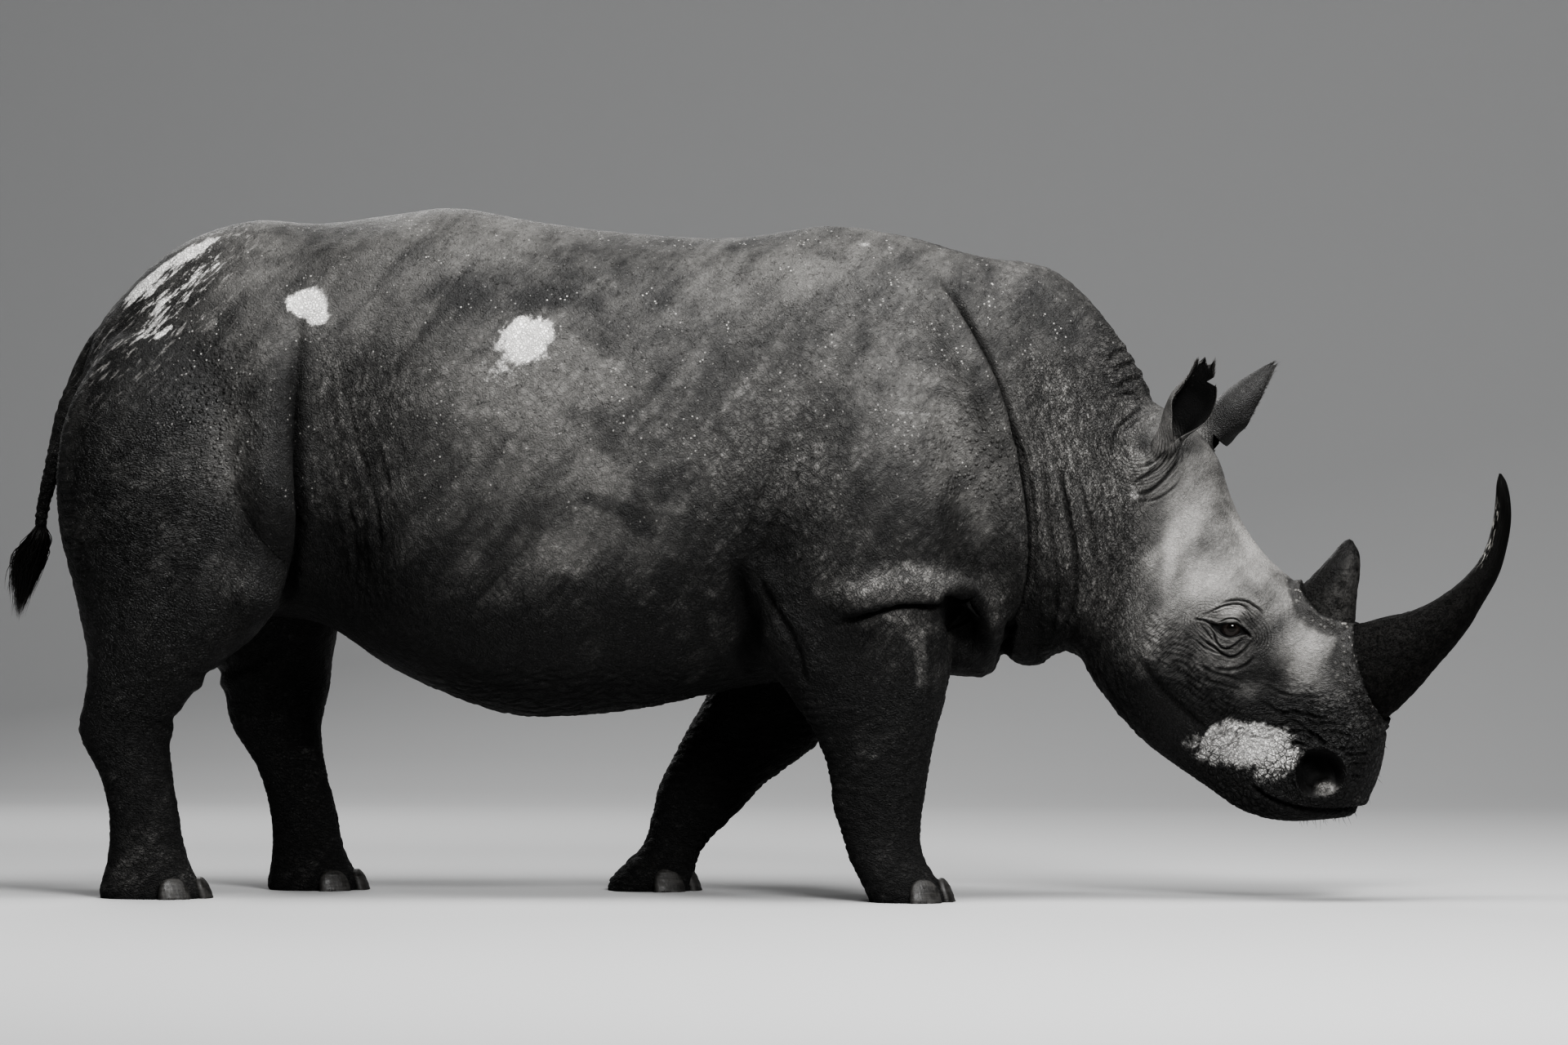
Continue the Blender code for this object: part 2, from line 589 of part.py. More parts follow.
def plate(name, top, bottom, collection):
    """A thin plate across the body, through two points (x, z) of its middle plane: what a cut takes away."""
    at = ((top[0] + bottom[0]) / 2, 0.0, (top[1] + bottom[1]) / 2)
    lean = math.atan2(top[0] - bottom[0], top[1] - bottom[1])
    ahead = turned([(at[0] + 0.01, 0, 0), (at[0] - 0.01, 0, 0)])
    swing = math.atan2(ahead[0][1] - ahead[1][1], ahead[0][0] - ahead[1][0])
    bm = bmesh.new()
    bmesh.ops.create_cube(bm, size=1.0)
    place = Matrix.Translation(turned([at])[0]) @ Matrix.Rotation(swing, 4, "Z") @ Matrix.Rotation(lean, 4, "Y")
    bmesh.ops.transform(bm, verts=bm.verts, matrix=place @ Matrix.Diagonal((GAP, 4.0, 4.0, 1.0)))
    return as_cutter(from_bmesh(name, bm, collection))


def level_plate(name, height, collection):
    bm = bmesh.new()
    bmesh.ops.create_cube(bm, size=1.0)
    place = Matrix.Translation((0, 0, height)) @ Matrix.Diagonal((9.0, 9.0, GAP, 1.0))
    bmesh.ops.transform(bm, verts=bm.verts, matrix=place)
    return as_cutter(from_bmesh(name, bm, collection))


def split(obj, cutter, names, key, collection):
    """Cuts the object in two with a thin plate. The names go to the two bodies in rising order of the key axis."""
    boolean(obj, cutter, "DIFFERENCE")
    pieces = []
    for rank in range(2):
        piece = new_object("piece", obj.data.copy(), collection)
        keep_island(piece, rank)
        pieces.append(piece)
    pieces.sort(key=lambda o: coordinates(o.data)[:, key].mean())
    bpy.data.objects.remove(obj)
    for piece, name in zip(pieces, names):
        piece.name = piece.data.name = name
    return pieces


def tail_curve(name, points, radii, collection):
    curve = bpy.data.curves.new(name, "CURVE")
    curve.dimensions = "3D"
    curve.bevel_depth = 1.0
    curve.bevel_resolution = 3
    curve.use_fill_caps = True
    at = np.linspace(0, 1, 15)
    line = through(np.linspace(0, 1, len(points)), points, at)
    size = through(np.linspace(0, 1, len(radii)), np.array(radii)[:, None], at)[:, 0]
    spline = curve.splines.new("POLY")
    spline.points.add(len(line) - 1)
    for point, p, r in zip(spline.points, line, size):
        point.co = (*p, 1.0)
        point.radius = r
    source = new_object(name + "_curve", curve, collection)
    bpy.context.view_layer.update()
    graph = bpy.context.evaluated_depsgraph_get()
    mesh = bpy.data.meshes.new_from_object(source.evaluated_get(graph))
    bpy.data.objects.remove(source)
    bm = bmesh.new()
    bm.from_mesh(mesh)
    bmesh.ops.remove_doubles(bm, verts=bm.verts, dist=1e-5)
    return from_bmesh(name, bm, collection)


def lock(name, points, widths, thicks, collection):
    """A lock of hair as a flat tapered loft, wide in X and thin in Y."""
    at = np.linspace(0, 1, 9)
    line = through(np.linspace(0, 1, len(points)), points, at)
    size = through(np.linspace(0, 1, len(widths)), list(zip(widths, thicks)), at)
    way = np.gradient(line, axis=0)
    way /= np.linalg.norm(way, axis=1)[:, None]
    around = np.linspace(0, 2 * math.pi, 8, endpoint=False)
    rings = []
    for p, d, (w, t) in zip(line, way, size):
        across = np.array([-d[2], 0, d[0]])
        rings.append(p + np.outer(np.cos(around) * w, across) + np.outer(np.sin(around) * t, (0, 1, 0)))
    bm = bmesh.new()
    loft(bm, rings)
    return from_bmesh(name, bm, collection)


clear_scene()
parts = bpy.data.collections.new("white_rhinoceros")
cutters = bpy.data.collections.new("cutters")
bpy.context.scene.collection.children.link(parts)
bpy.context.scene.collection.children.link(cutters)

HIDE = material("hide", (0.075, 0.072, 0.070), 0.62)
HORN = material("horn", (0.030, 0.028, 0.026), 0.50)
EYE = material("eye", (0.010, 0.008, 0.007), 0.08)
NAIL = material("nail", (0.050, 0.046, 0.042), 0.55)
HAIR = material("tail_hair", (0.012, 0.011, 0.010), 0.60)

flesh = build_flesh(parts)
grown = swollen(flesh, "flesh_grown", 0.0012, cutters)

front_horn = horn("horn_front", HORN_FRONT, 20, 14, parts)
rear_horn = horn("horn_rear", HORN_REAR, 11, 14, parts)
boolean(rear_horn, swollen(front_horn, "horn_front_grown", 0.0009, cutters), "DIFFERENCE")
right_ear = ear(
    "ear_right", ((0.980, -0.125, 1.130), (1.056, -0.170, 1.222), (1.106, -0.190, 1.288), (1.130, -0.200, 1.364)),
    (0.60, -0.80, 0.0), parts,
)
left_ear = ear(
    "ear_left", ((0.985, 0.120, 1.110), (1.078, 0.165, 1.206), (1.144, 0.185, 1.275), (1.205, 0.200, 1.363)),
    (0.75, 0.60, -0.25), parts,
)
boolean(right_ear, notch("ear_right_tear", ((1.122, 1.321), (1.192, 1.355), (1.192, 1.285)), (-0.32, -0.10), cutters), "DIFFERENCE")
boolean(left_ear, notch("ear_left_tear", ((1.072, 1.187), (1.060, 1.098), (1.115, 1.129)), (0.10, 0.34), cutters), "DIFFERENCE")
for piece in (front_horn, rear_horn, right_ear, left_ear):
    boolean(piece, grown, "DIFFERENCE")
    keep_island(piece)

tail = tail_curve(
    "tail",
    (
        (-1.660, 0.000, 1.510), (-1.775, 0.000, 1.395), (-1.848, 0.000, 1.260), (-1.890, 0.002, 1.130),
        (-1.922, 0.006, 1.020), (-1.936, 0.010, 0.930), (-1.945, 0.012, 0.880),
    ),
    (0.055, 0.048, 0.036, 0.027, 0.020, 0.017, 0.014),
    parts,
)
boolean(tail, grown, "DIFFERENCE")
keep_island(tail)
tuft = lock(
    "tail_tuft",
    (
        (-1.932, 0.010, 0.965), (-1.938, 0.011, 0.920), (-1.950, 0.012, 0.865),
        (-1.966, 0.012, 0.800), (-1.982, 0.012, 0.750), (-1.996, 0.012, 0.712),
    ),
    (0.020, 0.024, 0.042, 0.036, 0.022, 0.004),
    (0.021, 0.024, 0.030, 0.024, 0.014, 0.003),
    parts,
)
SIDE_LOCKS = (
    ((-1.944, 0.012, 0.915), (-1.974, 0.012, 0.865), (-2.002, 0.014, 0.820), (-2.017, 0.014, 0.777)),
    ((-1.942, 0.010, 0.905), (-1.956, 0.004, 0.850), (-1.970, 0.002, 0.800), (-1.978, 0.002, 0.748)),
)
for number, points in enumerate(SIDE_LOCKS):
    more = lock(f"tuft_lock_{number}", points, (0.012, 0.022, 0.016, 0.004), (0.012, 0.016, 0.012, 0.003), cutters)
    boolean(tuft, as_cutter(more), "UNION")
boolean(tail, swollen(tuft, "tuft_grown", 0.0008, cutters), "DIFFERENCE")
keep_island(tail)

for side, sign in (("right", -1), ("left", 1)):
    ball = eye("eye_" + side, sign, parts)
    bpy.context.view_layer.update()
    socket = new_object("socket_" + side, ball.data.copy(), cutters)
    socket.location, socket.rotation_euler = ball.location, ball.rotation_euler
    set_coordinates(socket.data, coordinates(socket.data) * (1 + 0.0006 / EYE_RADIUS))
    boolean(flesh, as_cutter(socket), "DIFFERENCE")

# Three nails on each foot: the middle one faces ahead, the others to the sides.
FEET = (
    ("forefoot_right", RIGHT_FORE, -1, 0.060),
    ("forefoot_left", LEFT_FORE, 1, 0.060),
    ("hindfoot_right", RIGHT_HIND, -1, 0.054),
    ("hindfoot_left", LEFT_HIND, 1, 0.054),
)
for foot, stations, sign, high in FEET:
    _, _, back, front, inner, outer = stations[1]
    middle = ((back + front) / 2, sign * (inner + outer) / 2)
    reach = ((front - back) / 2, (outer - inner) / 2)
    for label, angle, wide in (("front", 0.0, 0.052), ("outer", 62.0, 0.044), ("inner", -62.0, 0.044)):
        a = math.radians(angle) * sign
        c, s = power(math.cos(a), 2.35), power(math.sin(a), 2.35)
        at = (middle[0] + (reach[0] - 0.004) * c, middle[1] + (reach[1] - 0.004) * s, 0.0)
        name = f"nail_{foot}_{label}"
        toenail = nail(name, at, a * 0.92, (wide, 0.020, high), parts)
        bed = nail(name + "_bed", at, a * 0.92, (wide, 0.020, high), cutters, grow=0.0008)
        boolean(flesh, as_cutter(bed), "DIFFERENCE")

for name, outline in CELLS.items():
    cell = leg_cell(name, outline, cutters)
    leg = new_object(name, flesh.data.copy(), parts)
    boolean(leg, cell, "INTERSECT")
    keep_island(leg)
    boolean(flesh, swollen(cell, name + "_cell_grown", 0.0012, cutters), "DIFFERENCE")
    keep_island(flesh)
    foot = name.replace("leg", "foot")
    height = 0.150 if name.startswith("fore") else 0.135
    split(leg, level_plate(name + "_cut", height, cutters), (foot, name), 2, parts)

body, head = split(flesh, plate("poll_cut", (0.955, 1.330), (0.735, 0.600), cutters), ("body", "head"), 0, parts)
split(body, plate("neck_cut", (0.430, 1.660), (0.590, 0.600), cutters), ("trunk", "neck"), 0, parts)

MATERIALS = {"horn": HORN, "eye": EYE, "nail": NAIL, "tail_tuft": HAIR}
low, high = np.full(3, 1e9), np.full(3, -1e9)
bpy.context.view_layer.update()
for obj in parts.objects:
    chosen = next((m for start, m in MATERIALS.items() if obj.name.startswith(start)), HIDE)
    obj.data.materials.clear()
    obj.data.materials.append(chosen)
    obj.data.name = obj.name
    world = np.array(obj.matrix_world)
    co = coordinates(obj.data) @ world[:3, :3].T + world[:3, 3]
    low, high = np.minimum(low, co.min(0)), np.maximum(high, co.max(0))

# The whole stands with its box centred over the origin and its soles on the ground.
shift = Vector((-(low[0] + high[0]) / 2, -(low[1] + high[1]) / 2, -low[2]))
for obj in list(parts.objects) + list(cutters.objects):
    obj.location += shift
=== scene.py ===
"""The looks of the white rhinoceros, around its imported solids: one skin over all the flesh, with eyes, horns,
nails and hair of their own. Metres, +Z up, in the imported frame; the shapes are made facing +X before the
head is turned, as the solids are, and moved into the frame at the end.
"""

import json
import math
import time

import bmesh
import bpy
import numpy as np
from mathutils import Matrix, Vector
from mathutils.bvhtree import BVHTree
from mathutils.kdtree import KDTree

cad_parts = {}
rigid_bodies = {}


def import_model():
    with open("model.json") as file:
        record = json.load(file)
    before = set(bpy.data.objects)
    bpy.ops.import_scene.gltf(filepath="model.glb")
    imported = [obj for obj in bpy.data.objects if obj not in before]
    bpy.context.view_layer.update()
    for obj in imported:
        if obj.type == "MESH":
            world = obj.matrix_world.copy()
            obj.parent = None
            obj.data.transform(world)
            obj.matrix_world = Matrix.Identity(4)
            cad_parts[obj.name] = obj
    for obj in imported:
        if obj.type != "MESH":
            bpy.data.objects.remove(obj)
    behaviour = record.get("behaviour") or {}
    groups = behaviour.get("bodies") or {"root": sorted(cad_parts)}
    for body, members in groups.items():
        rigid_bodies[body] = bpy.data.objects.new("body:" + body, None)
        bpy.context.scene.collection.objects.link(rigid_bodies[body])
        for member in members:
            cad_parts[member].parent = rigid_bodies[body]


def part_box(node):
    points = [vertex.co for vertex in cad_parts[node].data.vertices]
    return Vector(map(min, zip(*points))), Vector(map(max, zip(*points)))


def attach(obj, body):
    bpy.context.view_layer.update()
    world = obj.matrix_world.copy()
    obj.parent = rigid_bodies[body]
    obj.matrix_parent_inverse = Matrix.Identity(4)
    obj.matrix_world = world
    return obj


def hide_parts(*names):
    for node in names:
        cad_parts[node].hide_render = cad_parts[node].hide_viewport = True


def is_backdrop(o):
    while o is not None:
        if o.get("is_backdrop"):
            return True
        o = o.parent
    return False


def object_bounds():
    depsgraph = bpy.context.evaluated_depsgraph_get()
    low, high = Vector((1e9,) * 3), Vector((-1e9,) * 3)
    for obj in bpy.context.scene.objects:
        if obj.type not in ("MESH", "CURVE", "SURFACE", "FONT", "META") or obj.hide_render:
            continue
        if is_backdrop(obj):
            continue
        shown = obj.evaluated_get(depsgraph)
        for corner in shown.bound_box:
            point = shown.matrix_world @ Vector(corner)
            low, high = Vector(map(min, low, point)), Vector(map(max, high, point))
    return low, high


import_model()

CAD_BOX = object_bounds()
STARTED = time.time()

# ---------------------------------------------------------------- driving sizes, metres and degrees
HEAD_TURN = 12.0  # degrees, the head turned to its right
VIEW_TURN = 5.0  # degrees, the view along which lengths of the turned neck and head hold
TURN_FROM, TURN_TO = 0.50, 0.98  # where along X the neck starts and stops turning
EYE_RADIUS = 0.027
EYE_AT = (1.184, 0.157, 0.6965)  # left eye before the head is turned
SOLE = 0.0  # the level of the four soles

# The head's own axis: its start at the nape, and its direction down the face.
HEAD_START = (0.93, 0.95)
HEAD_SLOPE = -50.81  # degrees below the horizon

# Trunk and neck, upright sections from the tail forwards:
# name, x, top, bottom, half width, height of the greatest width, squareness above, squareness below
TRUNK = (
    ("rump end", -1.850, 1.235, 1.020, 0.100, 1.130, 2.0, 2.0),
    ("tail root", -1.790, 1.430, 0.860, 0.215, 1.110, 2.0, 2.0),
    ("pin bones", -1.700, 1.562, 0.770, 0.290, 1.090, 1.9, 2.0),
    ("croup", -1.580, 1.666, 0.740, 0.345, 1.080, 1.8, 2.0),
    ("hips", -1.400, 1.736, 0.720, 0.400, 1.080, 1.8, 2.0),
    ("loin", -1.180, 1.732, 0.690, 0.425, 1.050, 1.9, 2.0),
    ("hip bones", -1.020, 1.748, 0.588, 0.442, 1.010, 1.9, 2.1),
    ("sacrum", -0.860, 1.766, 0.512, 0.458, 0.980, 1.9, 2.15),
    ("last rib", -0.700, 1.738, 0.464, 0.472, 0.960, 1.9, 2.2),
    ("barrel", -0.520, 1.708, 0.462, 0.476, 0.950, 1.95, 2.2),
    ("ribs", -0.300, 1.690, 0.492, 0.465, 0.970, 1.95, 2.2),
    ("girth", -0.100, 1.689, 0.535, 0.440, 1.000, 1.9, 2.1),
    ("withers", 0.130, 1.719, 0.560, 0.405, 1.030, 1.8, 2.0),
    ("shoulder", 0.330, 1.692, 0.560, 0.375, 1.030, 1.8, 2.0),
    ("breast", 0.450, 1.659, 0.580, 0.345, 1.030, 1.8, 2.0),
    ("neck root", 0.540, 1.638, 0.605, 0.305, 1.030, 1.9, 2.0),
    ("hump", 0.620, 1.632, 0.615, 0.275, 1.010, 2.0, 2.0),
    ("nape", 0.710, 1.600, 0.630, 0.250, 0.970, 2.0, 2.0),
    ("upper neck", 0.800, 1.515, 0.610, 0.232, 0.930, 2.0, 2.0),
    ("neck end", 0.875, 1.415, 0.610, 0.205, 0.900, 2.0, 2.0),
    ("poll", 0.930, 1.322, 0.650, 0.160, 0.920, 2.0, 2.0),
)

# Head, sections square to its axis, from the nape to the lip:
# name, way along the axis, height above it, depth below it, half width, where the width lies, squareness above and below
HEAD = (
    ("in the neck", -0.270, 0.205, 0.100, 0.130, 0.050, 2.0, 2.0),
    ("ears", -0.120, 0.252, 0.200, 0.165, 0.060, 2.1, 2.0),
    ("poll crest", -0.030, 0.252, 0.260, 0.164, 0.050, 2.0, 2.0),
    ("temple", 0.070, 0.214, 0.312, 0.167, 0.030, 2.0, 2.0),
    ("forehead", 0.150, 0.192, 0.342, 0.174, 0.010, 2.0, 2.0),
    ("cheek", 0.240, 0.186, 0.356, 0.182, -0.010, 2.0, 2.0),
    ("eye", 0.340, 0.204, 0.358, 0.178, -0.020, 2.0, 2.0),
    ("under the eye", 0.430, 0.231, 0.350, 0.160, -0.030, 2.0, 2.0),
    ("between horns", 0.530, 0.252, 0.325, 0.140, -0.020, 2.2, 2.0),
    ("nose boss", 0.620, 0.226, 0.298, 0.132, -0.020, 2.3, 2.0),
    ("nostril back", 0.700, 0.185, 0.273, 0.136, -0.030, 2.4, 2.2),
    ("nostril", 0.765, 0.150, 0.232, 0.140, -0.030, 2.5, 2.3),
    ("lip", 0.825, 0.090, 0.168, 0.132, -0.030, 2.5, 2.4),
    ("lip edge", 0.868, 0.030, 0.105, 0.100, -0.035, 2.3, 2.3),
    ("lip end", 0.893, -0.015, 0.066, 0.045, -0.040, 2.0, 2.0),
)

# Legs, level sections from the sole up: name, z, x behind, x in front, y inside, y outside
RIGHT_FORE = (
    ("sole", -0.030, 0.250, 0.440, 0.170, 0.390),
    ("pad", 0.015, 0.236, 0.446, 0.148, 0.404),
    ("toes", 0.060, 0.213, 0.412, 0.158, 0.394),
    ("pastern", 0.105, 0.190, 0.384, 0.174, 0.375),
    ("fetlock", 0.160, 0.174, 0.373, 0.180, 0.362),
    ("cannon", 0.235, 0.148, 0.378, 0.176, 0.362),
    ("knee", 0.320, 0.138, 0.390, 0.166, 0.372),
    ("forearm", 0.420, 0.103, 0.410, 0.150, 0.390),
    ("elbow", 0.540, 0.025, 0.440, 0.125, 0.410),
    ("upper arm", 0.690, -0.040, 0.458, 0.100, 0.432),
    ("arm", 0.860, -0.060, 0.465, 0.080, 0.444),
    ("shoulder point", 1.060, -0.040, 0.470, 0.080, 0.438),
    ("blade", 1.260, 0.030, 0.440, 0.080, 0.388),
    ("blade top", 1.430, 0.130, 0.370, 0.080, 0.290),
)
LEFT_FORE = (
    ("sole", -0.030, -0.470, -0.262, 0.170, 0.390),
    ("pad", 0.012, -0.490, -0.254, 0.148, 0.404),
    ("toes", 0.049, -0.463, -0.256, 0.158, 0.394),
    ("pastern", 0.085, -0.429, -0.249, 0.172, 0.377),
    ("fetlock", 0.118, -0.396, -0.228, 0.180, 0.364),
    ("cannon", 0.190, -0.374, -0.155, 0.176, 0.362),
    ("knee", 0.270, -0.352, -0.082, 0.166, 0.372),
    ("forearm", 0.373, -0.304, 0.060, 0.150, 0.390),
    ("elbow", 0.520, -0.220, 0.150, 0.125, 0.410),
    ("upper arm", 0.690, -0.130, 0.270, 0.100, 0.432),
    ("arm", 0.860, -0.090, 0.390, 0.080, 0.444),
    ("shoulder point", 1.060, -0.045, 0.460, 0.080, 0.438),
    ("blade", 1.260, 0.030, 0.440, 0.080, 0.388),
    ("blade top", 1.430, 0.130, 0.370, 0.080, 0.290),
)
RIGHT_HIND = (
    ("sole", -0.030, -1.725, -1.475, 0.150, 0.350),
    ("pad", 0.015, -1.738, -1.462, 0.130, 0.366),
    ("toes", 0.060, -1.728, -1.492, 0.140, 0.352),
    ("pastern", 0.115, -1.716, -1.514, 0.156, 0.334),
    ("shank", 0.200, -1.714, -1.530, 0.164, 0.322),
    ("shank top", 0.310, -1.738, -1.548, 0.164, 0.326),
    ("hock", 0.430, -1.795, -1.552, 0.156, 0.338),
    ("gaskin", 0.520, -1.776, -1.500, 0.135, 0.362),
    ("gaskin top", 0.600, -1.768, -1.425, 0.110, 0.386),
    ("stifle", 0.690, -1.782, -1.322, 0.075, 0.410),
    ("thigh", 0.780, -1.803, -1.262, 0.040, 0.424),
    ("thigh bone", 0.940, -1.842, -1.232, 0.030, 0.434),
    ("hip joint", 1.120, -1.850, -1.232, 0.030, 0.424),
    ("buttock", 1.290, -1.810, -1.260, 0.030, 0.376),
    ("buttock top", 1.440, -1.720, -1.340, 0.030, 0.285),
)
LEFT_HIND = (
    ("sole", -0.030, -1.362, -1.135, 0.150, 0.350),
    ("pad", 0.015, -1.375, -1.122, 0.130, 0.366),
    ("toes", 0.060, -1.366, -1.150, 0.140, 0.352),
    ("pastern", 0.115, -1.362, -1.174, 0.156, 0.334),
    ("shank", 0.200, -1.368, -1.190, 0.164, 0.322),
    ("shank top", 0.310, -1.400, -1.218, 0.164, 0.326),
    ("hock", 0.430, -1.470, -1.232, 0.156, 0.338),
    ("gaskin", 0.520, -1.488, -1.212, 0.135, 0.362),
    ("gaskin top", 0.600, -1.520, -1.206, 0.110, 0.386),
    ("stifle", 0.690, -1.620, -1.184, 0.075, 0.410),
    ("thigh", 0.780, -1.720, -1.166, 0.040, 0.424),
    ("thigh bone", 0.940, -1.812, -1.160, 0.030, 0.434),
    ("hip joint", 1.120, -1.842, -1.190, 0.030, 0.424),
    ("buttock", 1.290, -1.810, -1.240, 0.030, 0.376),
    ("buttock top", 1.440, -1.720, -1.330, 0.030, 0.285),
)

# Forms that stand out of the lofts or sink into them: name, centre of the left one (x, y, z), radii, push out
FORMS = (
    ("hip bone", (-1.02, 0.22, 1.66), (0.14, 0.12, 0.12), 0.022),
    ("croup hollow", (-1.28, 0.16, 1.70), (0.16, 0.12, 0.12), -0.010),
    ("spine", (-0.55, 0.0, 1.70), (0.60, 0.06, 0.10), 0.010),
    ("flank hollow", (-1.10, 0.44, 1.02), (0.12, 0.20, 0.30), -0.034),
    ("thigh edge", (-1.30, 0.42, 0.98), (0.10, 0.20, 0.34), 0.026),
    ("shoulder swell", (0.40, 0.42, 0.98), (0.22, 0.20, 0.34), 0.032),
    ("neck hollow", (0.66, 0.27, 1.02), (0.10, 0.20, 0.34), -0.014),
    ("brisket roll", (0.475, 0.17, 0.60), (0.06, 0.16, 0.09), 0.020),
    ("throat roll", (0.625, 0.0, 0.62), (0.05, 0.18, 0.07), 0.014),
    ("jaw muscle", (1.00, 0.18, 0.66), (0.13, 0.12, 0.15), 0.018),
    ("cheek bone", (1.12, 0.18, 0.74), (0.12, 0.10, 0.06), 0.014),
    ("brow", (1.205, 0.16, 0.750), (0.07, 0.07, 0.045), 0.016),
    ("under the eye", (1.20, 0.17, 0.635), (0.06, 0.06, 0.035), -0.006),
    ("nose side", (1.30, 0.13, 0.56), (0.10, 0.08, 0.09), -0.008),
    ("nose boss", (1.49, 0.09, 0.60), (0.06, 0.08, 0.13), 0.012),
    ("nostril wing", (1.405, 0.14, 0.345), (0.062, 0.06, 0.062), 0.014),
    ("nostril", (1.403, 0.15, 0.328), (0.026, 0.06, 0.028), -0.030),
    ("lip corner", (1.26, 0.13, 0.27), (0.09, 0.08, 0.05), 0.006),
)

# Horns, sections from inside the nose to the tip, before the head is turned: the point on the hollow edge (x, z), the
# point on the bowed edge, and half the width
HORN_FRONT = (
    ((1.349, 0.630), (1.418, 0.397), 0.074),
    ((1.439, 0.697), (1.504, 0.440), 0.080),
    ((1.521, 0.720), (1.574, 0.499), 0.074),
    ((1.596, 0.739), (1.653, 0.586), 0.060),
    ((1.667, 0.773), (1.725, 0.674), 0.047),
    ((1.724, 0.817), (1.777, 0.759), 0.037),
    ((1.765, 0.864), (1.814, 0.827), 0.029),
    ((1.789, 0.914), (1.834, 0.892), 0.024),
    ((1.803, 0.974), (1.846, 0.962), 0.019),
    ((1.808, 1.022), (1.845, 1.018), 0.015),
    ((1.811, 1.063), (1.836, 1.063), 0.010),
    ((1.817, 1.088), (1.823, 1.087), 0.003),
)
HORN_REAR = (
    ((1.285, 0.744), (1.418, 0.630), 0.066),
    ((1.316, 0.792), (1.453, 0.682), 0.066),
    ((1.361, 0.838), (1.461, 0.770), 0.050),
    ((1.398, 0.879), (1.469, 0.832), 0.033),
    ((1.424, 0.911), (1.468, 0.882), 0.017),
    ((1.443, 0.921), (1.453, 0.914), 0.004),
)


# ---------------------------------------------------------------- numbers to shapes
def through(keys, rows, at):
    """Rows read at any place between their keys, on a smooth curve."""
    keys, rows, at = (np.asarray(a, float) for a in (keys, rows, at))
    slope = np.gradient(rows, keys, axis=0)
    i = np.clip(np.searchsorted(keys, at) - 1, 0, len(keys) - 2)
    h = (keys[i + 1] - keys[i])[:, None]
    t = ((at - keys[i]) / (keys[i + 1] - keys[i]))[:, None]
    return (
        (2 * t**3 - 3 * t**2 + 1) * rows[i]
        + (t**3 - 2 * t**2 + t) * h * slope[i]
        + (3 * t**2 - 2 * t**3) * rows[i + 1]
        + (t**3 - t**2) * h * slope[i + 1]
    )


def power(value, squareness):
    return np.sign(value) * np.abs(value) ** (2.0 / squareness)


def section(around, up, down, half, level, square_up, square_down):
    """A rounded section in its own plane: (side, height) for each angle."""
    c, s = np.cos(around), np.sin(around)
    square = np.where(s > 0, square_up, square_down)
    side = half * power(c, square)
    height = level + np.where(s > 0, up - level, level - down) * power(s, square)
    return side, height


def upright_rings(stations, rings, around):
    keys = [s[1] for s in stations]
    at = np.linspace(keys[0], keys[-1], rings)
    for x, (top, bottom, half, level, nu, nd) in zip(at, through(keys, [s[2:] for s in stations], at)):
        side, height = section(around, top, bottom, half, level, nu, nd)
        yield np.stack([np.full_like(side, x), side, height], 1)


def head_rings(stations, rings, around):
    slope = math.radians(HEAD_SLOPE)
    along = np.array([math.cos(slope), 0, math.sin(slope)])
    over = np.array([-math.sin(slope), 0, math.cos(slope)])
    start = np.array([HEAD_START[0], 0, HEAD_START[1]])
    keys = [s[1] for s in stations]
    at = np.linspace(keys[0], keys[-1], rings)
    for way, (up, down, half, level, nu, nd) in zip(at, through(keys, [s[2:] for s in stations], at)):
        side, height = section(around, up, -down, half, level, nu, nd)
        yield start + way * along + height[:, None] * over + side[:, None] * np.array([0, 1.0, 0])


def leg_rings(stations, rings, around, side_sign):
    keys = [s[1] for s in stations]
    at = np.linspace(keys[0], keys[-1], rings)
    for z, (back, front, inner, outer) in zip(at, through(keys, [s[2:] for s in stations], at)):
        square = 2.35
        x = (back + front) / 2 + (front - back) / 2 * power(np.cos(around), square)
        y = (inner + outer) / 2 + (outer - inner) / 2 * power(np.sin(around), square)
        yield np.stack([x, side_sign * y, np.full_like(x, z)], 1)


def loft(bm, rings):
    """Joins rings of unlike sections with quads and closes both ends."""
    rings = [[bm.verts.new(p) for p in ring] for ring in rings]
    n = len(rings[0])
    for a, b in zip(rings, rings[1:]):
        for i in range(n):
            bm.faces.new((a[i], a[(i + 1) % n], b[(i + 1) % n], b[i]))
    bm.faces.new(rings[0][::-1])
    bm.faces.new(rings[-1])


def turned(points):
    """The neck's turn to its right: everything past TURN_TO is swung rigidly, and the neck curves up to it."""
    x = np.linspace(-2.5, 2.5, 2001)
    t = np.clip((x - TURN_FROM) / (TURN_TO - TURN_FROM), 0, 1)
    angle = math.radians(HEAD_TURN) * t * t * (3 - 2 * t)
    view = math.radians(VIEW_TURN)
    step = np.gradient(x) * math.cos(view) / np.cos(angle + view)
    way_x = np.cumsum(step * np.cos(angle))
    way_y = -np.cumsum(step * np.sin(angle))
    way_x += np.interp(0, x, x) - np.interp(0, x, way_x)
    way_y -= np.interp(0, x, way_y)
    p = np.array(points, float)
    a = np.interp(p[:, 0], x, angle)
    px, py = np.interp(p[:, 0], x, way_x), np.interp(p[:, 0], x, way_y)
    return np.stack([px + p[:, 1] * np.sin(a), py + p[:, 1] * np.cos(a), p[:, 2]], 1)


# ---------------------------------------------------------------- meshes
SKIN_VOXEL = 0.0060


def said(what):
    print(f"[{time.time() - STARTED:6.1f} s] {what}", flush=True)


def linked(name, mesh):
    obj = bpy.data.objects.new(name, mesh)
    bpy.context.scene.collection.objects.link(obj)
    return obj


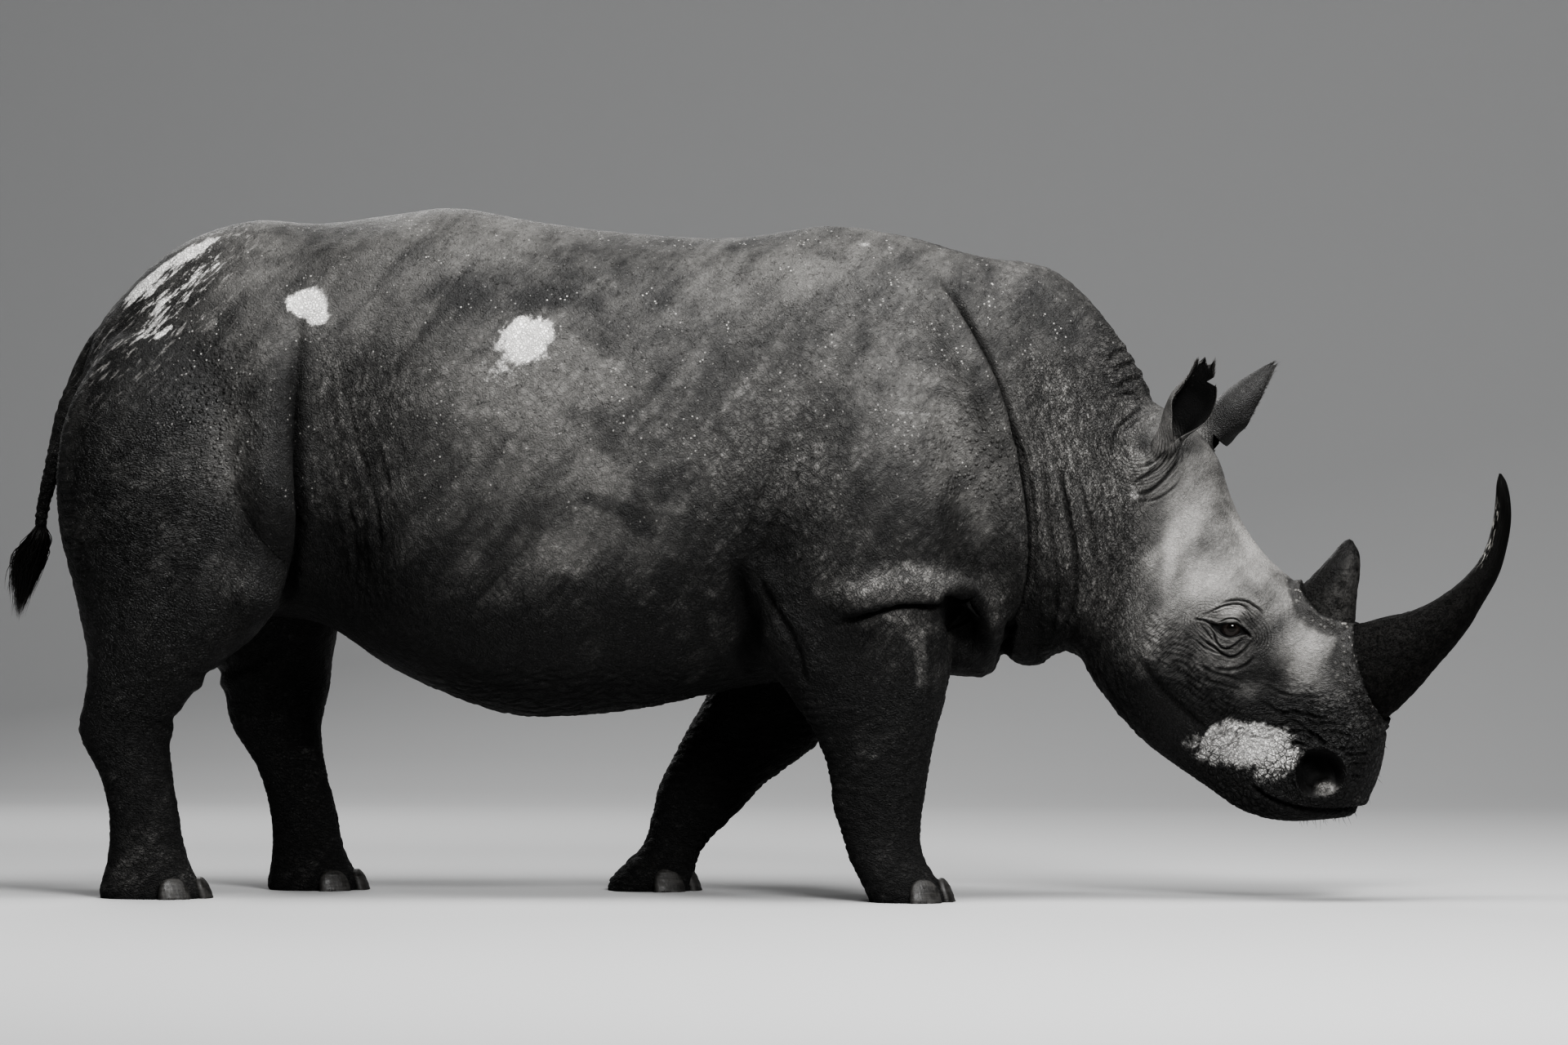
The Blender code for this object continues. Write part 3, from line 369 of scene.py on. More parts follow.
def from_bmesh(name, bm, outward=True):
    if outward:
        bmesh.ops.recalc_face_normals(bm, faces=bm.faces)
        if bm.calc_volume(signed=True) < 0:
            bmesh.ops.reverse_faces(bm, faces=bm.faces)
    mesh = bpy.data.meshes.new(name)
    bm.to_mesh(mesh)
    bm.free()
    return linked(name, mesh)


def applied(obj):
    bpy.context.view_layer.update()
    graph = bpy.context.evaluated_depsgraph_get()
    mesh = bpy.data.meshes.new_from_object(obj.evaluated_get(graph))
    old = obj.data
    obj.modifiers.clear()
    obj.data = mesh
    bpy.data.meshes.remove(old)
    return obj


def coordinates(mesh):
    co = np.empty(len(mesh.vertices) * 3, np.float32)
    mesh.vertices.foreach_get("co", co)
    return co.reshape(-1, 3).astype(float)


def set_coordinates(mesh, co):
    mesh.vertices.foreach_set("co", np.asarray(co, np.float32).ravel())
    mesh.update()


def normals(mesh):
    no = np.empty(len(mesh.vertices) * 3, np.float32)
    mesh.vertex_normals.foreach_get("vector", no)
    return no.reshape(-1, 3).astype(float)


def boolean(obj, other, operation, solver="MANIFOLD"):
    before = len(obj.data.vertices)
    modifier = obj.modifiers.new(operation.title(), "BOOLEAN")
    modifier.operation = operation
    modifier.object = other
    modifier.solver = solver
    bpy.context.view_layer.update()
    graph = bpy.context.evaluated_depsgraph_get()
    mesh = bpy.data.meshes.new_from_object(obj.evaluated_get(graph))
    obj.modifiers.clear()
    if len(mesh.vertices) in (0, before) and solver == "MANIFOLD":
        said(f"{operation} of {other.name} falls back to the exact solver")
        return boolean(obj, other, operation, "EXACT")
    obj.data = mesh
    bpy.data.objects.remove(other)
    return obj


def relaxed(obj, weight, factor, rounds):
    """Smooths the mesh where the weight, one number for each vertex, is over zero."""
    group = obj.vertex_groups.new(name="relax")
    levels = np.round(np.clip(weight, 0, 1) * 8) / 8
    for level in np.unique(levels):
        if level > 0:
            group.add(np.flatnonzero(levels == level).tolist(), float(level), "REPLACE")
    modifier = obj.modifiers.new("Relax", "SMOOTH")
    modifier.factor = factor
    modifier.iterations = rounds
    modifier.vertex_group = "relax"
    applied(obj)
    obj.vertex_groups.clear()


def refined(obj, inside, relax=3):
    """Cuts each edge in two where both its ends are inside, then evens the new points out."""
    bm = bmesh.new()
    bm.from_mesh(obj.data)
    mask = inside(coordinates(obj.data))
    edges = [e for e in bm.edges if mask[e.verts[0].index] and mask[e.verts[1].index]]
    bmesh.ops.subdivide_edges(bm, edges=edges, cuts=1, use_grid_fill=True)
    bm.to_mesh(obj.data)
    bm.free()
    if relax:
        relaxed(obj, inside(coordinates(obj.data)).astype(float), 0.5, relax)


def smooth(value, low, high):
    """0 below low and 1 above high, or the other way round where low is the larger."""
    t = np.clip((value - low) / (high - low), 0, 1)
    return t * t * (3 - 2 * t)


def bell(value, width):
    return np.exp(-((value / width) ** 2))


def smooth_max(a, b, blend):
    h = np.clip(0.5 + 0.5 * (a - b) / blend, 0, 1)
    return b + (a - b) * h + blend * h * (1 - h)


def curve(points, count):
    keys = np.concatenate([[0], np.cumsum(np.linalg.norm(np.diff(np.array(points, float), axis=0), axis=1))])
    return through(keys, points, np.linspace(0, keys[-1], count))


def near_line(places, points):
    """For each flat place: its distance from an open line, positive on the line's left, and how far along it that is."""
    line = curve(points, 6 * len(points))
    best, signed, along = np.full(len(places), 1e9), np.full(len(places), 1e9), np.zeros(len(places))
    for i, (a, b) in enumerate(zip(line, line[1:])):
        s = b - a
        t = np.clip(((places - a) @ s) / max(s @ s, 1e-12), 0, 1)
        d = places - (a + t[:, None] * s)
        far = np.hypot(d[:, 0], d[:, 1])
        near = far < best
        best[near] = far[near]
        signed[near] = (np.sign(s[0] * d[:, 1] - s[1] * d[:, 0]) * far)[near]
        along[near] = (i + t[near]) / (len(line) - 1)
    return signed, along


def outline_distance(places, points):
    """Distance from a closed outline, negative inside it."""
    line = curve(list(points) + [points[0]], 6 * len(points))
    best, inside = np.full(len(places), 1e9), np.zeros(len(places), bool)
    for a, b in zip(line, line[1:]):
        s = b - a
        t = np.clip(((places - a) @ s) / max(s @ s, 1e-12), 0, 1)
        d = places - (a + t[:, None] * s)
        best = np.minimum(best, np.hypot(d[:, 0], d[:, 1]))
        with np.errstate(divide="ignore", invalid="ignore"):
            at = a[0] + (places[:, 1] - a[1]) / (b[1] - a[1]) * s[0]
        inside ^= ((a[1] > places[:, 1]) != (b[1] > places[:, 1])) & (places[:, 0] < at)
    return np.where(inside, -best, best)


def patterns(obj, jobs):
    """Blender's own textures read at the mesh's points. jobs: name -> (kind, coordinates (N, 3), settings)."""
    tree = bpy.data.node_groups.new("patterns", "GeometryNodeTree")
    tree.interface.new_socket("Geometry", in_out="INPUT", socket_type="NodeSocketGeometry")
    tree.interface.new_socket("Geometry", in_out="OUTPUT", socket_type="NodeSocketGeometry")
    last = tree.nodes.new("NodeGroupInput").outputs[0]
    for name, (kind, at, settings) in jobs.items():
        where = obj.data.attributes.new("at_" + name, "FLOAT_VECTOR", "POINT")
        where.data.foreach_set("vector", np.asarray(at, np.float32).ravel())
        read = tree.nodes.new("GeometryNodeInputNamedAttribute")
        read.data_type = "FLOAT_VECTOR"
        read.inputs["Name"].default_value = "at_" + name
        texture = tree.nodes.new("ShaderNodeTexNoise" if kind == "noise" else "ShaderNodeTexVoronoi")
        if kind == "edge":
            texture.feature = "DISTANCE_TO_EDGE"
        for key, value in settings.items():
            texture.inputs[key].default_value = value
        texture.inputs["Scale"].default_value = 1.0
        tree.links.new(read.outputs["Attribute"], texture.inputs["Vector"])
        store = tree.nodes.new("GeometryNodeStoreNamedAttribute")
        store.data_type = "FLOAT"
        store.domain = "POINT"
        store.inputs["Name"].default_value = "of_" + name
        tree.links.new(last, store.inputs["Geometry"])
        value = next(s for s in store.inputs if s.name == "Value" and s.enabled)
        tree.links.new(texture.outputs["Distance" if kind == "edge" else 0], value)
        last = store.outputs["Geometry"]
    tree.links.new(last, tree.nodes.new("NodeGroupOutput").inputs[0])
    modifier = obj.modifiers.new("Patterns", "NODES")
    modifier.node_group = tree
    bpy.context.view_layer.update()
    mesh = obj.evaluated_get(bpy.context.evaluated_depsgraph_get()).data
    found = {}
    for name in jobs:
        values = np.empty(len(mesh.vertices), np.float32)
        mesh.attributes["of_" + name].data.foreach_get("value", values)
        found[name] = values.astype(float)
    obj.modifiers.clear()
    for name in jobs:
        obj.data.attributes.remove(obj.data.attributes["at_" + name])
    bpy.data.node_groups.remove(tree)
    return found


# ---------------------------------------------------------------- what the skin carries
# Folds, both sides: name, points (x, z) as seen from the side at |y|, groove's half width and depth, then the roll
# beside it: its distance (positive on the line's left), half width, height and how far it leans over the groove.
FOLDS = (
    ("shoulder", 0.36, ((0.400, 1.665), (0.477, 1.501), (0.541, 1.377), (0.588, 1.274), (0.625, 1.171), (0.650, 1.047),
        (0.663, 0.923), (0.653, 0.799), (0.612, 0.695), (0.560, 0.600)), 0.015, 0.044, -0.048, 0.046, 0.030, 0.024),
    ("neck side of it", 0.36, ((0.600, 1.250), (0.670, 1.100), (0.695, 0.930), (0.688, 0.800), (0.650, 0.680)), 0.007, 0.010, 0.02, 0.018, 0.006, 0.003),
    ("flank", 0.42, ((-1.196, 1.580), (-1.205, 1.480), (-1.216, 1.357), (-1.221, 1.212), (-1.217, 1.046), (-1.212, 0.942), (-1.229, 0.839),
        (-1.265, 0.745), (-1.338, 0.652)), 0.020, 0.050, -0.060, 0.055, 0.026, 0.024, 0.52),
    ("flank wrinkle", 0.45, ((-1.104, 1.346), (-1.072, 1.253), (-1.052, 1.170), (-1.027, 1.088), (-1.000, 0.984), (-0.993, 0.839)), 0.006, 0.010, -0.018, 0.014, 0.005, 0.003),
    ("flank wrinkle 2", 0.45, ((-1.120, 1.160), (-1.085, 1.040), (-1.060, 0.930), (-1.050, 0.820)), 0.006, 0.008, -0.016, 0.012, 0.004, 0.002),
    ("flank wrinkle 3", 0.45, ((-1.010, 1.190), (-0.975, 1.080), (-0.950, 0.960)), 0.005, 0.006, 0.014, 0.012, 0.003, 0.0),
    ("over the elbow", 0.42, ((0.150, 0.690), (0.202, 0.723), (0.285, 0.754), (0.389, 0.764), (0.461, 0.754), (0.502, 0.712), (0.517, 0.655), (0.505, 0.585)),
        0.010, 0.036, 0.038, 0.040, 0.029, 0.020),
    ("before the arm", 0.42, ((0.430, 0.768), (0.482, 0.745), (0.506, 0.690), (0.510, 0.620), (0.507, 0.560), (0.505, 0.480)), 0.031, 0.088, 0.054, 0.034, 0.026, 0.018),
    ("brisket", 0.20, ((0.606, 0.720), (0.588, 0.660), (0.570, 0.600), (0.562, 0.520)), 0.014, 0.036, -0.034, 0.026, 0.014, 0.010),
    ("throat", 0.16, ((0.790, 0.720), (0.765, 0.660), (0.750, 0.600), (0.745, 0.560)), 0.012, 0.012, -0.05, 0.04, 0.012, 0.002),
    ("armpit", 0.42, ((-0.080, 0.880), (-0.063, 0.778), (-0.046, 0.696), (-0.057, 0.613), (-0.070, 0.530)), 0.026, 0.036, 0.060, 0.045, 0.014, 0.006),
    ("behind the arm", 0.42, ((-0.045, 0.870), (0.006, 0.758), (0.068, 0.654), (0.089, 0.551)), 0.010, 0.012, 0.030, 0.026, 0.006, 0.004),
    ("above the armpit", 0.42, ((-0.070, 0.900), (-0.035, 0.990), (0.010, 1.090), (0.040, 1.180)), 0.006, 0.008, 0.018, 0.015, 0.004, 0.002),
    ("above the armpit 2", 0.42, ((-0.030, 0.870), (0.010, 0.960), (0.055, 1.050), (0.080, 1.130)), 0.006, 0.007, 0.016, 0.014, 0.003, 0.002),
    ("neck 1", 0.28, ((0.735, 1.160), (0.777, 1.005), (0.806, 0.839), (0.790, 0.736), (0.745, 0.640)), 0.008, 0.021, -0.022, 0.020, 0.009, 0.006),
    ("neck 2", 0.28, ((0.690, 1.160), (0.724, 0.963), (0.745, 0.798), (0.722, 0.640)), 0.006, 0.017, -0.018, 0.016, 0.007, 0.004),
    ("neck 3", 0.26, ((0.800, 1.090), (0.848, 0.943), (0.865, 0.798), (0.840, 0.660)), 0.007, 0.014, -0.020, 0.017, 0.006, 0.004),
    ("neck 4", 0.26, ((0.850, 1.060), (0.895, 0.930), (0.912, 0.800)), 0.006, 0.010, -0.018, 0.016, 0.005, 0.003),
    ("neck 5", 0.28, ((0.764, 1.080), (0.792, 0.950), (0.812, 0.860)), 0.004, 0.006, 0.012, 0.010, 0.003, 0.0),
    ("nape 1", 0.06, ((0.840, 1.372), (0.885, 1.400), (0.925, 1.408)), 0.006, 0.008, 0.015, 0.012, 0.004, 0.0),
    ("nape 2", 0.06, ((0.850, 1.340), (0.905, 1.366), (0.965, 1.368)), 0.006, 0.008, 0.015, 0.012, 0.004, 0.0),
    ("nape 3", 0.08, ((0.860, 1.300), (0.930, 1.332), (0.990, 1.335)), 0.005, 0.007, 0.015, 0.012, 0.004, 0.0),
    ("jaw", 0.18, ((0.930, 0.640), (0.990, 0.560), (1.060, 0.490), (1.130, 0.430)), 0.014, 0.006, 0.030, 0.020, 0.004, 0.0),
    ("gaskin", 0.30, ((-1.300, 0.640), (-1.400, 0.580), (-1.510, 0.560)), 0.012, 0.010, 0.025, 0.020, 0.006, 0.0),
    ("hock front", 0.30, ((-1.520, 0.470), (-1.560, 0.445), (-1.620, 0.440)), 0.010, 0.008, 0.02, 0.016, 0.004, 0.0),
)
# Fine creases of the head, both sides: name, |y| they were laid out at, points (x, z), half width, depth
CREASES = (
    ("brow", 0.18, ((1.1504, 0.7499), (1.1674, 0.7595), (1.1878, 0.7665), (1.2115, 0.7674), (1.2319, 0.7633), (1.2489, 0.7531), (1.2658, 0.7403), (1.2726, 0.7301), (1.2828, 0.7164)), 0.0026, 0.0055),
    ("lid fold", 0.18, ((1.1062, 0.7282), (1.1266, 0.7318), (1.1487, 0.7431), (1.1657, 0.7509), (1.1810, 0.7553), (1.2014, 0.7580), (1.2183, 0.7546), (1.2319, 0.7453), (1.2455, 0.7299), (1.2591, 0.7146)), 0.0024, 0.0042),
    ("lid fold 2", 0.18, ((1.2183, 0.7503), (1.2285, 0.7418), (1.2370, 0.7264), (1.2421, 0.7162), (1.2472, 0.7008)), 0.0018, 0.0022),
    ("lid fold 3", 0.18, ((1.2080, 0.7400), (1.2190, 0.7330), (1.2270, 0.7200), (1.2310, 0.7050)), 0.0015, 0.0014),
    ("lid fold 4", 0.18, ((1.1351, 0.7327), (1.1487, 0.7353), (1.1674, 0.7406)), 0.0018, 0.0020),
    ("lid rim", 0.18, ((1.1500, 0.7095), (1.1657, 0.7136), (1.1760, 0.7185), (1.1878, 0.7206), (1.2048, 0.7173), (1.2141, 0.7091), (1.2192, 0.6989)), 0.0014, 0.0036),
    ("corner behind", 0.18, ((1.0900, 0.7190), (1.1120, 0.7165), (1.1351, 0.7121), (1.1500, 0.7085)), 0.0022, 0.0042),
    ("under lid", 0.18, ((1.1310, 0.7085), (1.1436, 0.6970), (1.1590, 0.6790), (1.1740, 0.6690), (1.1844, 0.6655)), 0.0017, 0.0024),
    ("bag 1", 0.18, ((1.1232, 0.7069), (1.1436, 0.6847), (1.1538, 0.6590), (1.1657, 0.6462), (1.1810, 0.6429), (1.2014, 0.6533), (1.2184, 0.6680), (1.2336, 0.6801)), 0.0024, 0.0046),
    ("bag 1 back", 0.18, ((1.1100, 0.7030), (1.1181, 0.6965), (1.1351, 0.6760), (1.1504, 0.6555)), 0.0020, 0.0030),
    ("bag 2", 0.18, ((1.0926, 0.6861), (1.1096, 0.6724), (1.1300, 0.6588), (1.1504, 0.6452), (1.1674, 0.6299), (1.1878, 0.6215), (1.2014, 0.6233), (1.2150, 0.6319), (1.2336, 0.6492), (1.2455, 0.6630), (1.2557, 0.6734)), 0.0030, 0.0062),
    ("bag 2 back", 0.18, ((1.0977, 0.6672), (1.1232, 0.6468), (1.1436, 0.6366), (1.1674, 0.6282)), 0.0024, 0.0034),
    ("cheek 1", 0.18, ((1.1318, 0.5970), (1.1607, 0.5904), (1.1946, 0.5906), (1.2218, 0.5977), (1.2455, 0.6167), (1.2659, 0.6340)), 0.0036, 0.0040),
    ("cheek 2", 0.18, ((1.0900, 0.6100), (1.1335, 0.5884), (1.1607, 0.5766), (1.1879, 0.5717), (1.2082, 0.5633), (1.2286, 0.5531)), 0.0034, 0.0034),
    ("cheek 3", 0.18, ((1.1000, 0.5750), (1.1400, 0.5580), (1.1900, 0.5450), (1.2400, 0.5300)), 0.0030, 0.0024),
    ("snout 1", 0.14, ((1.2469, 0.4592), (1.2887, 0.4469), (1.3158, 0.4345), (1.3638, 0.4349), (1.3930, 0.4204), (1.4200, 0.3996), (1.4554, 0.3831)), 0.0032, 0.0055),
    ("snout 2", 0.14, ((1.2300, 0.5200), (1.2740, 0.4996), (1.3012, 0.4808), (1.3304, 0.4832), (1.3721, 0.4772), (1.4054, 0.4691), (1.4512, 0.4821)), 0.0034, 0.0055),
    ("snout 3", 0.14, ((1.2678, 0.4467), (1.3012, 0.4491), (1.3346, 0.4600), (1.3596, 0.4454), (1.3804, 0.4288), (1.4013, 0.4057)), 0.0026, 0.0040),
    ("snout 4", 0.14, ((1.3888, 0.4531), (1.4179, 0.4565), (1.4512, 0.4526), (1.4750, 0.4480)), 0.0028, 0.0040),
    ("snout 5", 0.14, ((1.3638, 0.4370), (1.3846, 0.4309), (1.4179, 0.4017), (1.4471, 0.3914), (1.4845, 0.3918), (1.5150, 0.3950)), 0.0030, 0.0048),
    ("snout 6", 0.14, ((1.4179, 0.4312), (1.4554, 0.4295), (1.4803, 0.4213), (1.4970, 0.4088)), 0.0028, 0.0036),
    ("snout 7", 0.14, ((1.3000, 0.4010), (1.3158, 0.4028), (1.3471, 0.4052), (1.3721, 0.3970), (1.3971, 0.3994)), 0.0030, 0.0050),
    ("snout 8", 0.14, ((1.2469, 0.3366), (1.2720, 0.3453), (1.2950, 0.3582)), 0.0030, 0.0040),
    ("snout 9", 0.14, ((1.2100, 0.4200), (1.2469, 0.4190), (1.2782, 0.4172), (1.3012, 0.4301)), 0.0028, 0.0036),
    ("lip 1", 0.14, ((1.4554, 0.3789), (1.4970, 0.3751), (1.5447, 0.3840)), 0.0030, 0.0046),
    ("lip 2", 0.14, ((1.4658, 0.3537), (1.4970, 0.3519), (1.5427, 0.3524)), 0.0028, 0.0040),
    ("lip 3", 0.14, ((1.4679, 0.3263), (1.4970, 0.3203), (1.5427, 0.3334)), 0.0028, 0.0040),
    ("lip 4", 0.14, ((1.3263, 0.3184), (1.3367, 0.2974), (1.3451, 0.2806)), 0.0028, 0.0030),
    ("snout 10", 0.14, ((1.2500, 0.5550), (1.3000, 0.5330), (1.3500, 0.5230), (1.4000, 0.5220), (1.4450, 0.5300)), 0.0030, 0.0030),
    ("ear 1", 0.16, ((0.9387, 1.1016), (0.9682, 1.1075), (0.9972, 1.1221), (1.0203, 1.1454), (1.0260, 1.1570)), 0.0030, 0.0045),
    ("ear 2", 0.16, ((0.9357, 1.0637), (0.9769, 1.0842), (1.0087, 1.1075), (1.0260, 1.1367), (1.0347, 1.1599)), 0.0030, 0.0050),
    ("ear 3", 0.16, ((0.9085, 1.0316), (0.9682, 1.0376), (1.0087, 1.0639), (1.0318, 1.0901), (1.0520, 1.1221), (1.0549, 1.1658), (1.0404, 1.1861)), 0.0036, 0.0065),
    ("ear 4", 0.16, ((0.8962, 1.0899), (0.8807, 1.1220), (0.8838, 1.1657), (0.9023, 1.2094), (0.9386, 1.2356), (0.9827, 1.2589)), 0.0036, 0.0060),
    ("ear 5", 0.16, ((0.9327, 1.1366), (0.9145, 1.1657), (0.9236, 1.1949), (0.9476, 1.2211), (0.9769, 1.2415)), 0.0030, 0.0045),
    ("ear 6", 0.16, ((0.9237, 1.0550), (0.9535, 1.0725), (0.9856, 1.0958), (1.0145, 1.1221)), 0.0026, 0.0036),
    ("ear 7", 0.16, ((1.0433, 1.1890), (1.0607, 1.1658), (1.0664, 1.1280), (1.0549, 1.1047)), 0.0028, 0.0045),
    ("ear 8", 0.16, ((0.8776, 1.2065), (0.9084, 1.2123), (0.9475, 1.2473), (0.9913, 1.2618)), 0.0030, 0.0045),
    ("ear 9", 0.16, ((0.8776, 1.2765), (0.9145, 1.2910), (0.9535, 1.2910), (0.9884, 1.2647)), 0.0034, 0.0050),
    ("ear 10", 0.16, ((0.9300, 1.0150), (0.9900, 1.0200), (1.0400, 1.0500), (1.0750, 1.0950)), 0.0028, 0.0030),
)
# The eye's opening and the nostril, as seen from the front quarter (x, z), and the mouth's line
EYE_OPENING = ((1.1240, 0.7128), (1.1436, 0.7078), (1.1606, 0.7052), (1.1742, 0.7076), (1.1878, 0.7082), (1.2014, 0.7072), (1.2116, 0.7020),
    (1.2192, 0.6965), (1.2286, 0.6877), (1.2371, 0.6790), (1.2396, 0.6730), (1.2320, 0.6800), (1.2184, 0.6795), (1.2014, 0.6735),
    (1.1844, 0.6711), (1.1691, 0.6746), (1.1589, 0.6825), (1.1470, 0.6925), (1.1368, 0.7040))
NOSTRIL = ((1.3471, 0.3715), (1.3721, 0.3846), (1.4055, 0.3870), (1.4326, 0.3789), (1.4524, 0.3600), (1.4628, 0.3242), (1.4555, 0.2987),
    (1.4347, 0.2800), (1.3960, 0.2720), (1.3638, 0.2790), (1.3500, 0.2960), (1.3440, 0.3271), (1.3421, 0.3524))
MOUTH = ((1.600, 0.262), (1.540, 0.246), (1.480, 0.236), (1.410, 0.232), (1.340, 0.240), (1.270, 0.264), (1.205, 0.308))
MORE_FORMS = (
    ("shoulder blade", (0.24, 0.22, 1.58), (0.26, 0.12, 0.10), 0.008),
    ("behind the blade", (-0.12, 0.32, 1.42), (0.16, 0.14, 0.20), -0.010),
    ("upper arm", (0.18, 0.44, 1.00), (0.20, 0.12, 0.22), 0.010),
    ("elbow hollow", (0.00, 0.44, 0.84), (0.08, 0.12, 0.14), -0.016),
    ("haunch", (-1.50, 0.40, 1.12), (0.22, 0.14, 0.22), 0.010),
    ("last ribs", (-0.62, 0.46, 1.05), (0.22, 0.14, 0.30), 0.008),
    ("flank", (-0.98, 0.40, 1.24), (0.14, 0.16, 0.18), -0.012),
    ("under flank", (-1.10, 0.42, 0.84), (0.12, 0.16, 0.16), -0.036),
    ("belly edge", (-0.86, 0.42, 0.86), (0.12, 0.14, 0.16), 0.008),
    ("kneecap", (-1.28, 0.38, 0.74), (0.09, 0.10, 0.11), 0.014),
    ("hump side", (0.66, 0.22, 1.42), (0.12, 0.12, 0.12), -0.008),
    ("temple", (1.05, 0.16, 0.97), (0.07, 0.08, 0.11), -0.012),
    ("ear root", (0.975, 0.17, 1.150), (0.075, 0.07, 0.085), 0.016),
    ("behind the ear", (0.958, 0.19, 1.165), (0.024, 0.06, 0.040), -0.012),
    ("temple's band", (1.085, 0.18, 0.900), (0.020, 0.06, 0.085), 0.007),
    ("behind it", (1.045, 0.18, 0.860), (0.018, 0.06, 0.060), -0.006),
    ("jaw's muscle", (1.010, 0.20, 0.700), (0.050, 0.08, 0.085), 0.010),
    ("below the cheek", (1.075, 0.18, 0.610), (0.030, 0.08, 0.080), -0.007),
    ("forehead edge", (1.20, 0.12, 0.90), (0.06, 0.06, 0.16), 0.008),
    ("before the eye", (1.325, 0.14, 0.640), (0.07, 0.06, 0.06), 0.010),
    ("below that", (1.26, 0.16, 0.545), (0.08, 0.08, 0.035), -0.008),
    ("jaw edge", (0.99, 0.18, 0.58), (0.10, 0.10, 0.08), 0.008),
    ("behind the lips", (1.13, 0.16, 0.46), (0.10, 0.09, 0.05), -0.010),
    ("upper lip", (1.28, 0.16, 0.36), (0.10, 0.08, 0.07), 0.008),
    ("nose bridge side", (1.40, 0.12, 0.50), (0.07, 0.06, 0.05), 0.006),
    ("chin", (1.30, 0.0, 0.22), (0.12, 0.10, 0.04), 0.004),
    ("throat's fold", (0.640, 0.0, 0.600), (0.045, 0.18, 0.05), 0.012),
    ("behind the notch", (0.495, 0.0, 0.600), (0.045, 0.22, 0.06), 0.014),
    ("notch", (0.566, 0.0, 0.600), (0.020, 0.24, 0.06), -0.018),
    ("knee", (0.265, 0.27, 0.31), (0.10, 0.09, 0.07), 0.007),
    ("left knee", (-0.21, 0.27, 0.27), (0.09, 0.09, 0.06), 0.006),
)


def seen_from_the_side(co, at_y):
    """(x, z) as they show in the side view, for points that lie further out or in than at_y."""
    t = np.clip((co[:, 0] - TURN_FROM) / (TURN_TO - TURN_FROM), 0, 1)
    lean = np.tan(np.radians(VIEW_TURN + HEAD_TURN * t * t * (3 - 2 * t)))
    return np.stack([co[:, 0] - (np.abs(co[:, 1]) - at_y) * lean, co[:, 2]], 1)


def near_box(places, points, margin):
    low, high = np.min(points, axis=0) - margin, np.max(points, axis=0) + margin
    return np.flatnonzero(((places > low) & (places < high)).all(1))


def ended(along, low=0.12, high=0.12):
    return smooth(along, 0, low) * smooth(along, 1, 1 - high)


def head_axes(co):
    """How far each point lies along the head's axis, and how far above it."""
    slope = math.radians(HEAD_SLOPE)
    x, z = co[:, 0] - HEAD_START[0], co[:, 2] - HEAD_START[1]
    return x * math.cos(slope) + z * math.sin(slope), -x * math.sin(slope) + z * math.cos(slope)


def pushed_by_forms(co, no, forms):
    push = np.zeros(len(co))
    for _, centre, radii, out in forms:
        for sign in (1, -1) if centre[1] else (1,):
            d = (co - np.array(centre) * (1, sign, 1)) / radii
            push += out * np.exp(-(d**2).sum(1))
    return co + push[:, None] * no


def build_body():
    around = np.linspace(0, 2 * math.pi, 128, endpoint=False)
    bm = bmesh.new()
    loft(bm, list(upright_rings(TRUNK, 190, around)))
    loft(bm, list(head_rings(HEAD, 110, around)))
    around = np.linspace(0, 2 * math.pi, 72, endpoint=False)
    for stations, sign in ((RIGHT_FORE, -1), (LEFT_FORE, 1), (RIGHT_HIND, -1), (LEFT_HIND, 1)):
        loft(bm, list(leg_rings(stations, 110, around, sign)))
    obj = from_bmesh("skin", bm)
    remesh = obj.modifiers.new("Weld", "REMESH")
    remesh.mode = "VOXEL"
    remesh.voxel_size = SKIN_VOXEL
    relax = obj.modifiers.new("Relax", "SMOOTH")
    relax.factor = 0.5
    relax.iterations = round(7 * (0.017 / SKIN_VOXEL) ** 2)
    applied(obj)
    # The tops of the hind legs melt into the rump.
    co = coordinates(obj.data)
    top = bell(co[:, 0] + 1.60, 0.26) * bell(co[:, 2] - 1.43, 0.11) * smooth(np.abs(co[:, 1]), 0.08, 0.16)
    relaxed(obj, np.clip(1.6 * top, 0, 1), 0.5, round(150 * (0.006 / SKIN_VOXEL) ** 2))
    set_coordinates(obj.data, pushed_by_forms(coordinates(obj.data), normals(obj.data), FORMS))
    set_coordinates(obj.data, pushed_by_forms(coordinates(obj.data), normals(obj.data), MORE_FORMS))
    return obj


# Ears: name, way along the ear, radius of the arc, half of the angle that it spans
EARS = {
    "right": (
        ("root", 0.00, 0.028, 171),
        ("neck", 0.20, 0.031, 165),
        ("cup", 0.38, 0.046, 128),
        ("blade", 0.56, 0.054, 100),
        ("narrow", 0.76, 0.042, 88),
        ("tip", 0.92, 0.027, 82),
        ("end", 1.00, 0.022, 84),
    ),
    "left": (
        ("root", 0.00, 0.034, 171),
        ("neck", 0.20, 0.037, 165),
        ("cup", 0.38, 0.050, 126),
        ("blade", 0.56, 0.055, 100),
        ("narrow", 0.76, 0.044, 88),
        ("tip", 0.92, 0.022, 80),
        ("end", 1.00, 0.008, 74),
    ),
}
EAR_LINES = {
    "right": (((0.996, -0.125, 1.138), (1.058, -0.170, 1.222), (1.106, -0.190, 1.288), (1.130, -0.200, 1.364)), (0.60, -0.80, 0.0)),
    "left": (((0.985, 0.120, 1.110), (1.078, 0.165, 1.206), (1.144, 0.185, 1.275), (1.205, 0.200, 1.363)), (0.75, 0.60, -0.25)),
}
EAR_TEARS = {
    "right": ((1.122, 1.321), (1.192, 1.355), (1.192, 1.285)),
    "left": ((1.072, 1.187), (1.060, 1.098), (1.115, 1.129)),
}


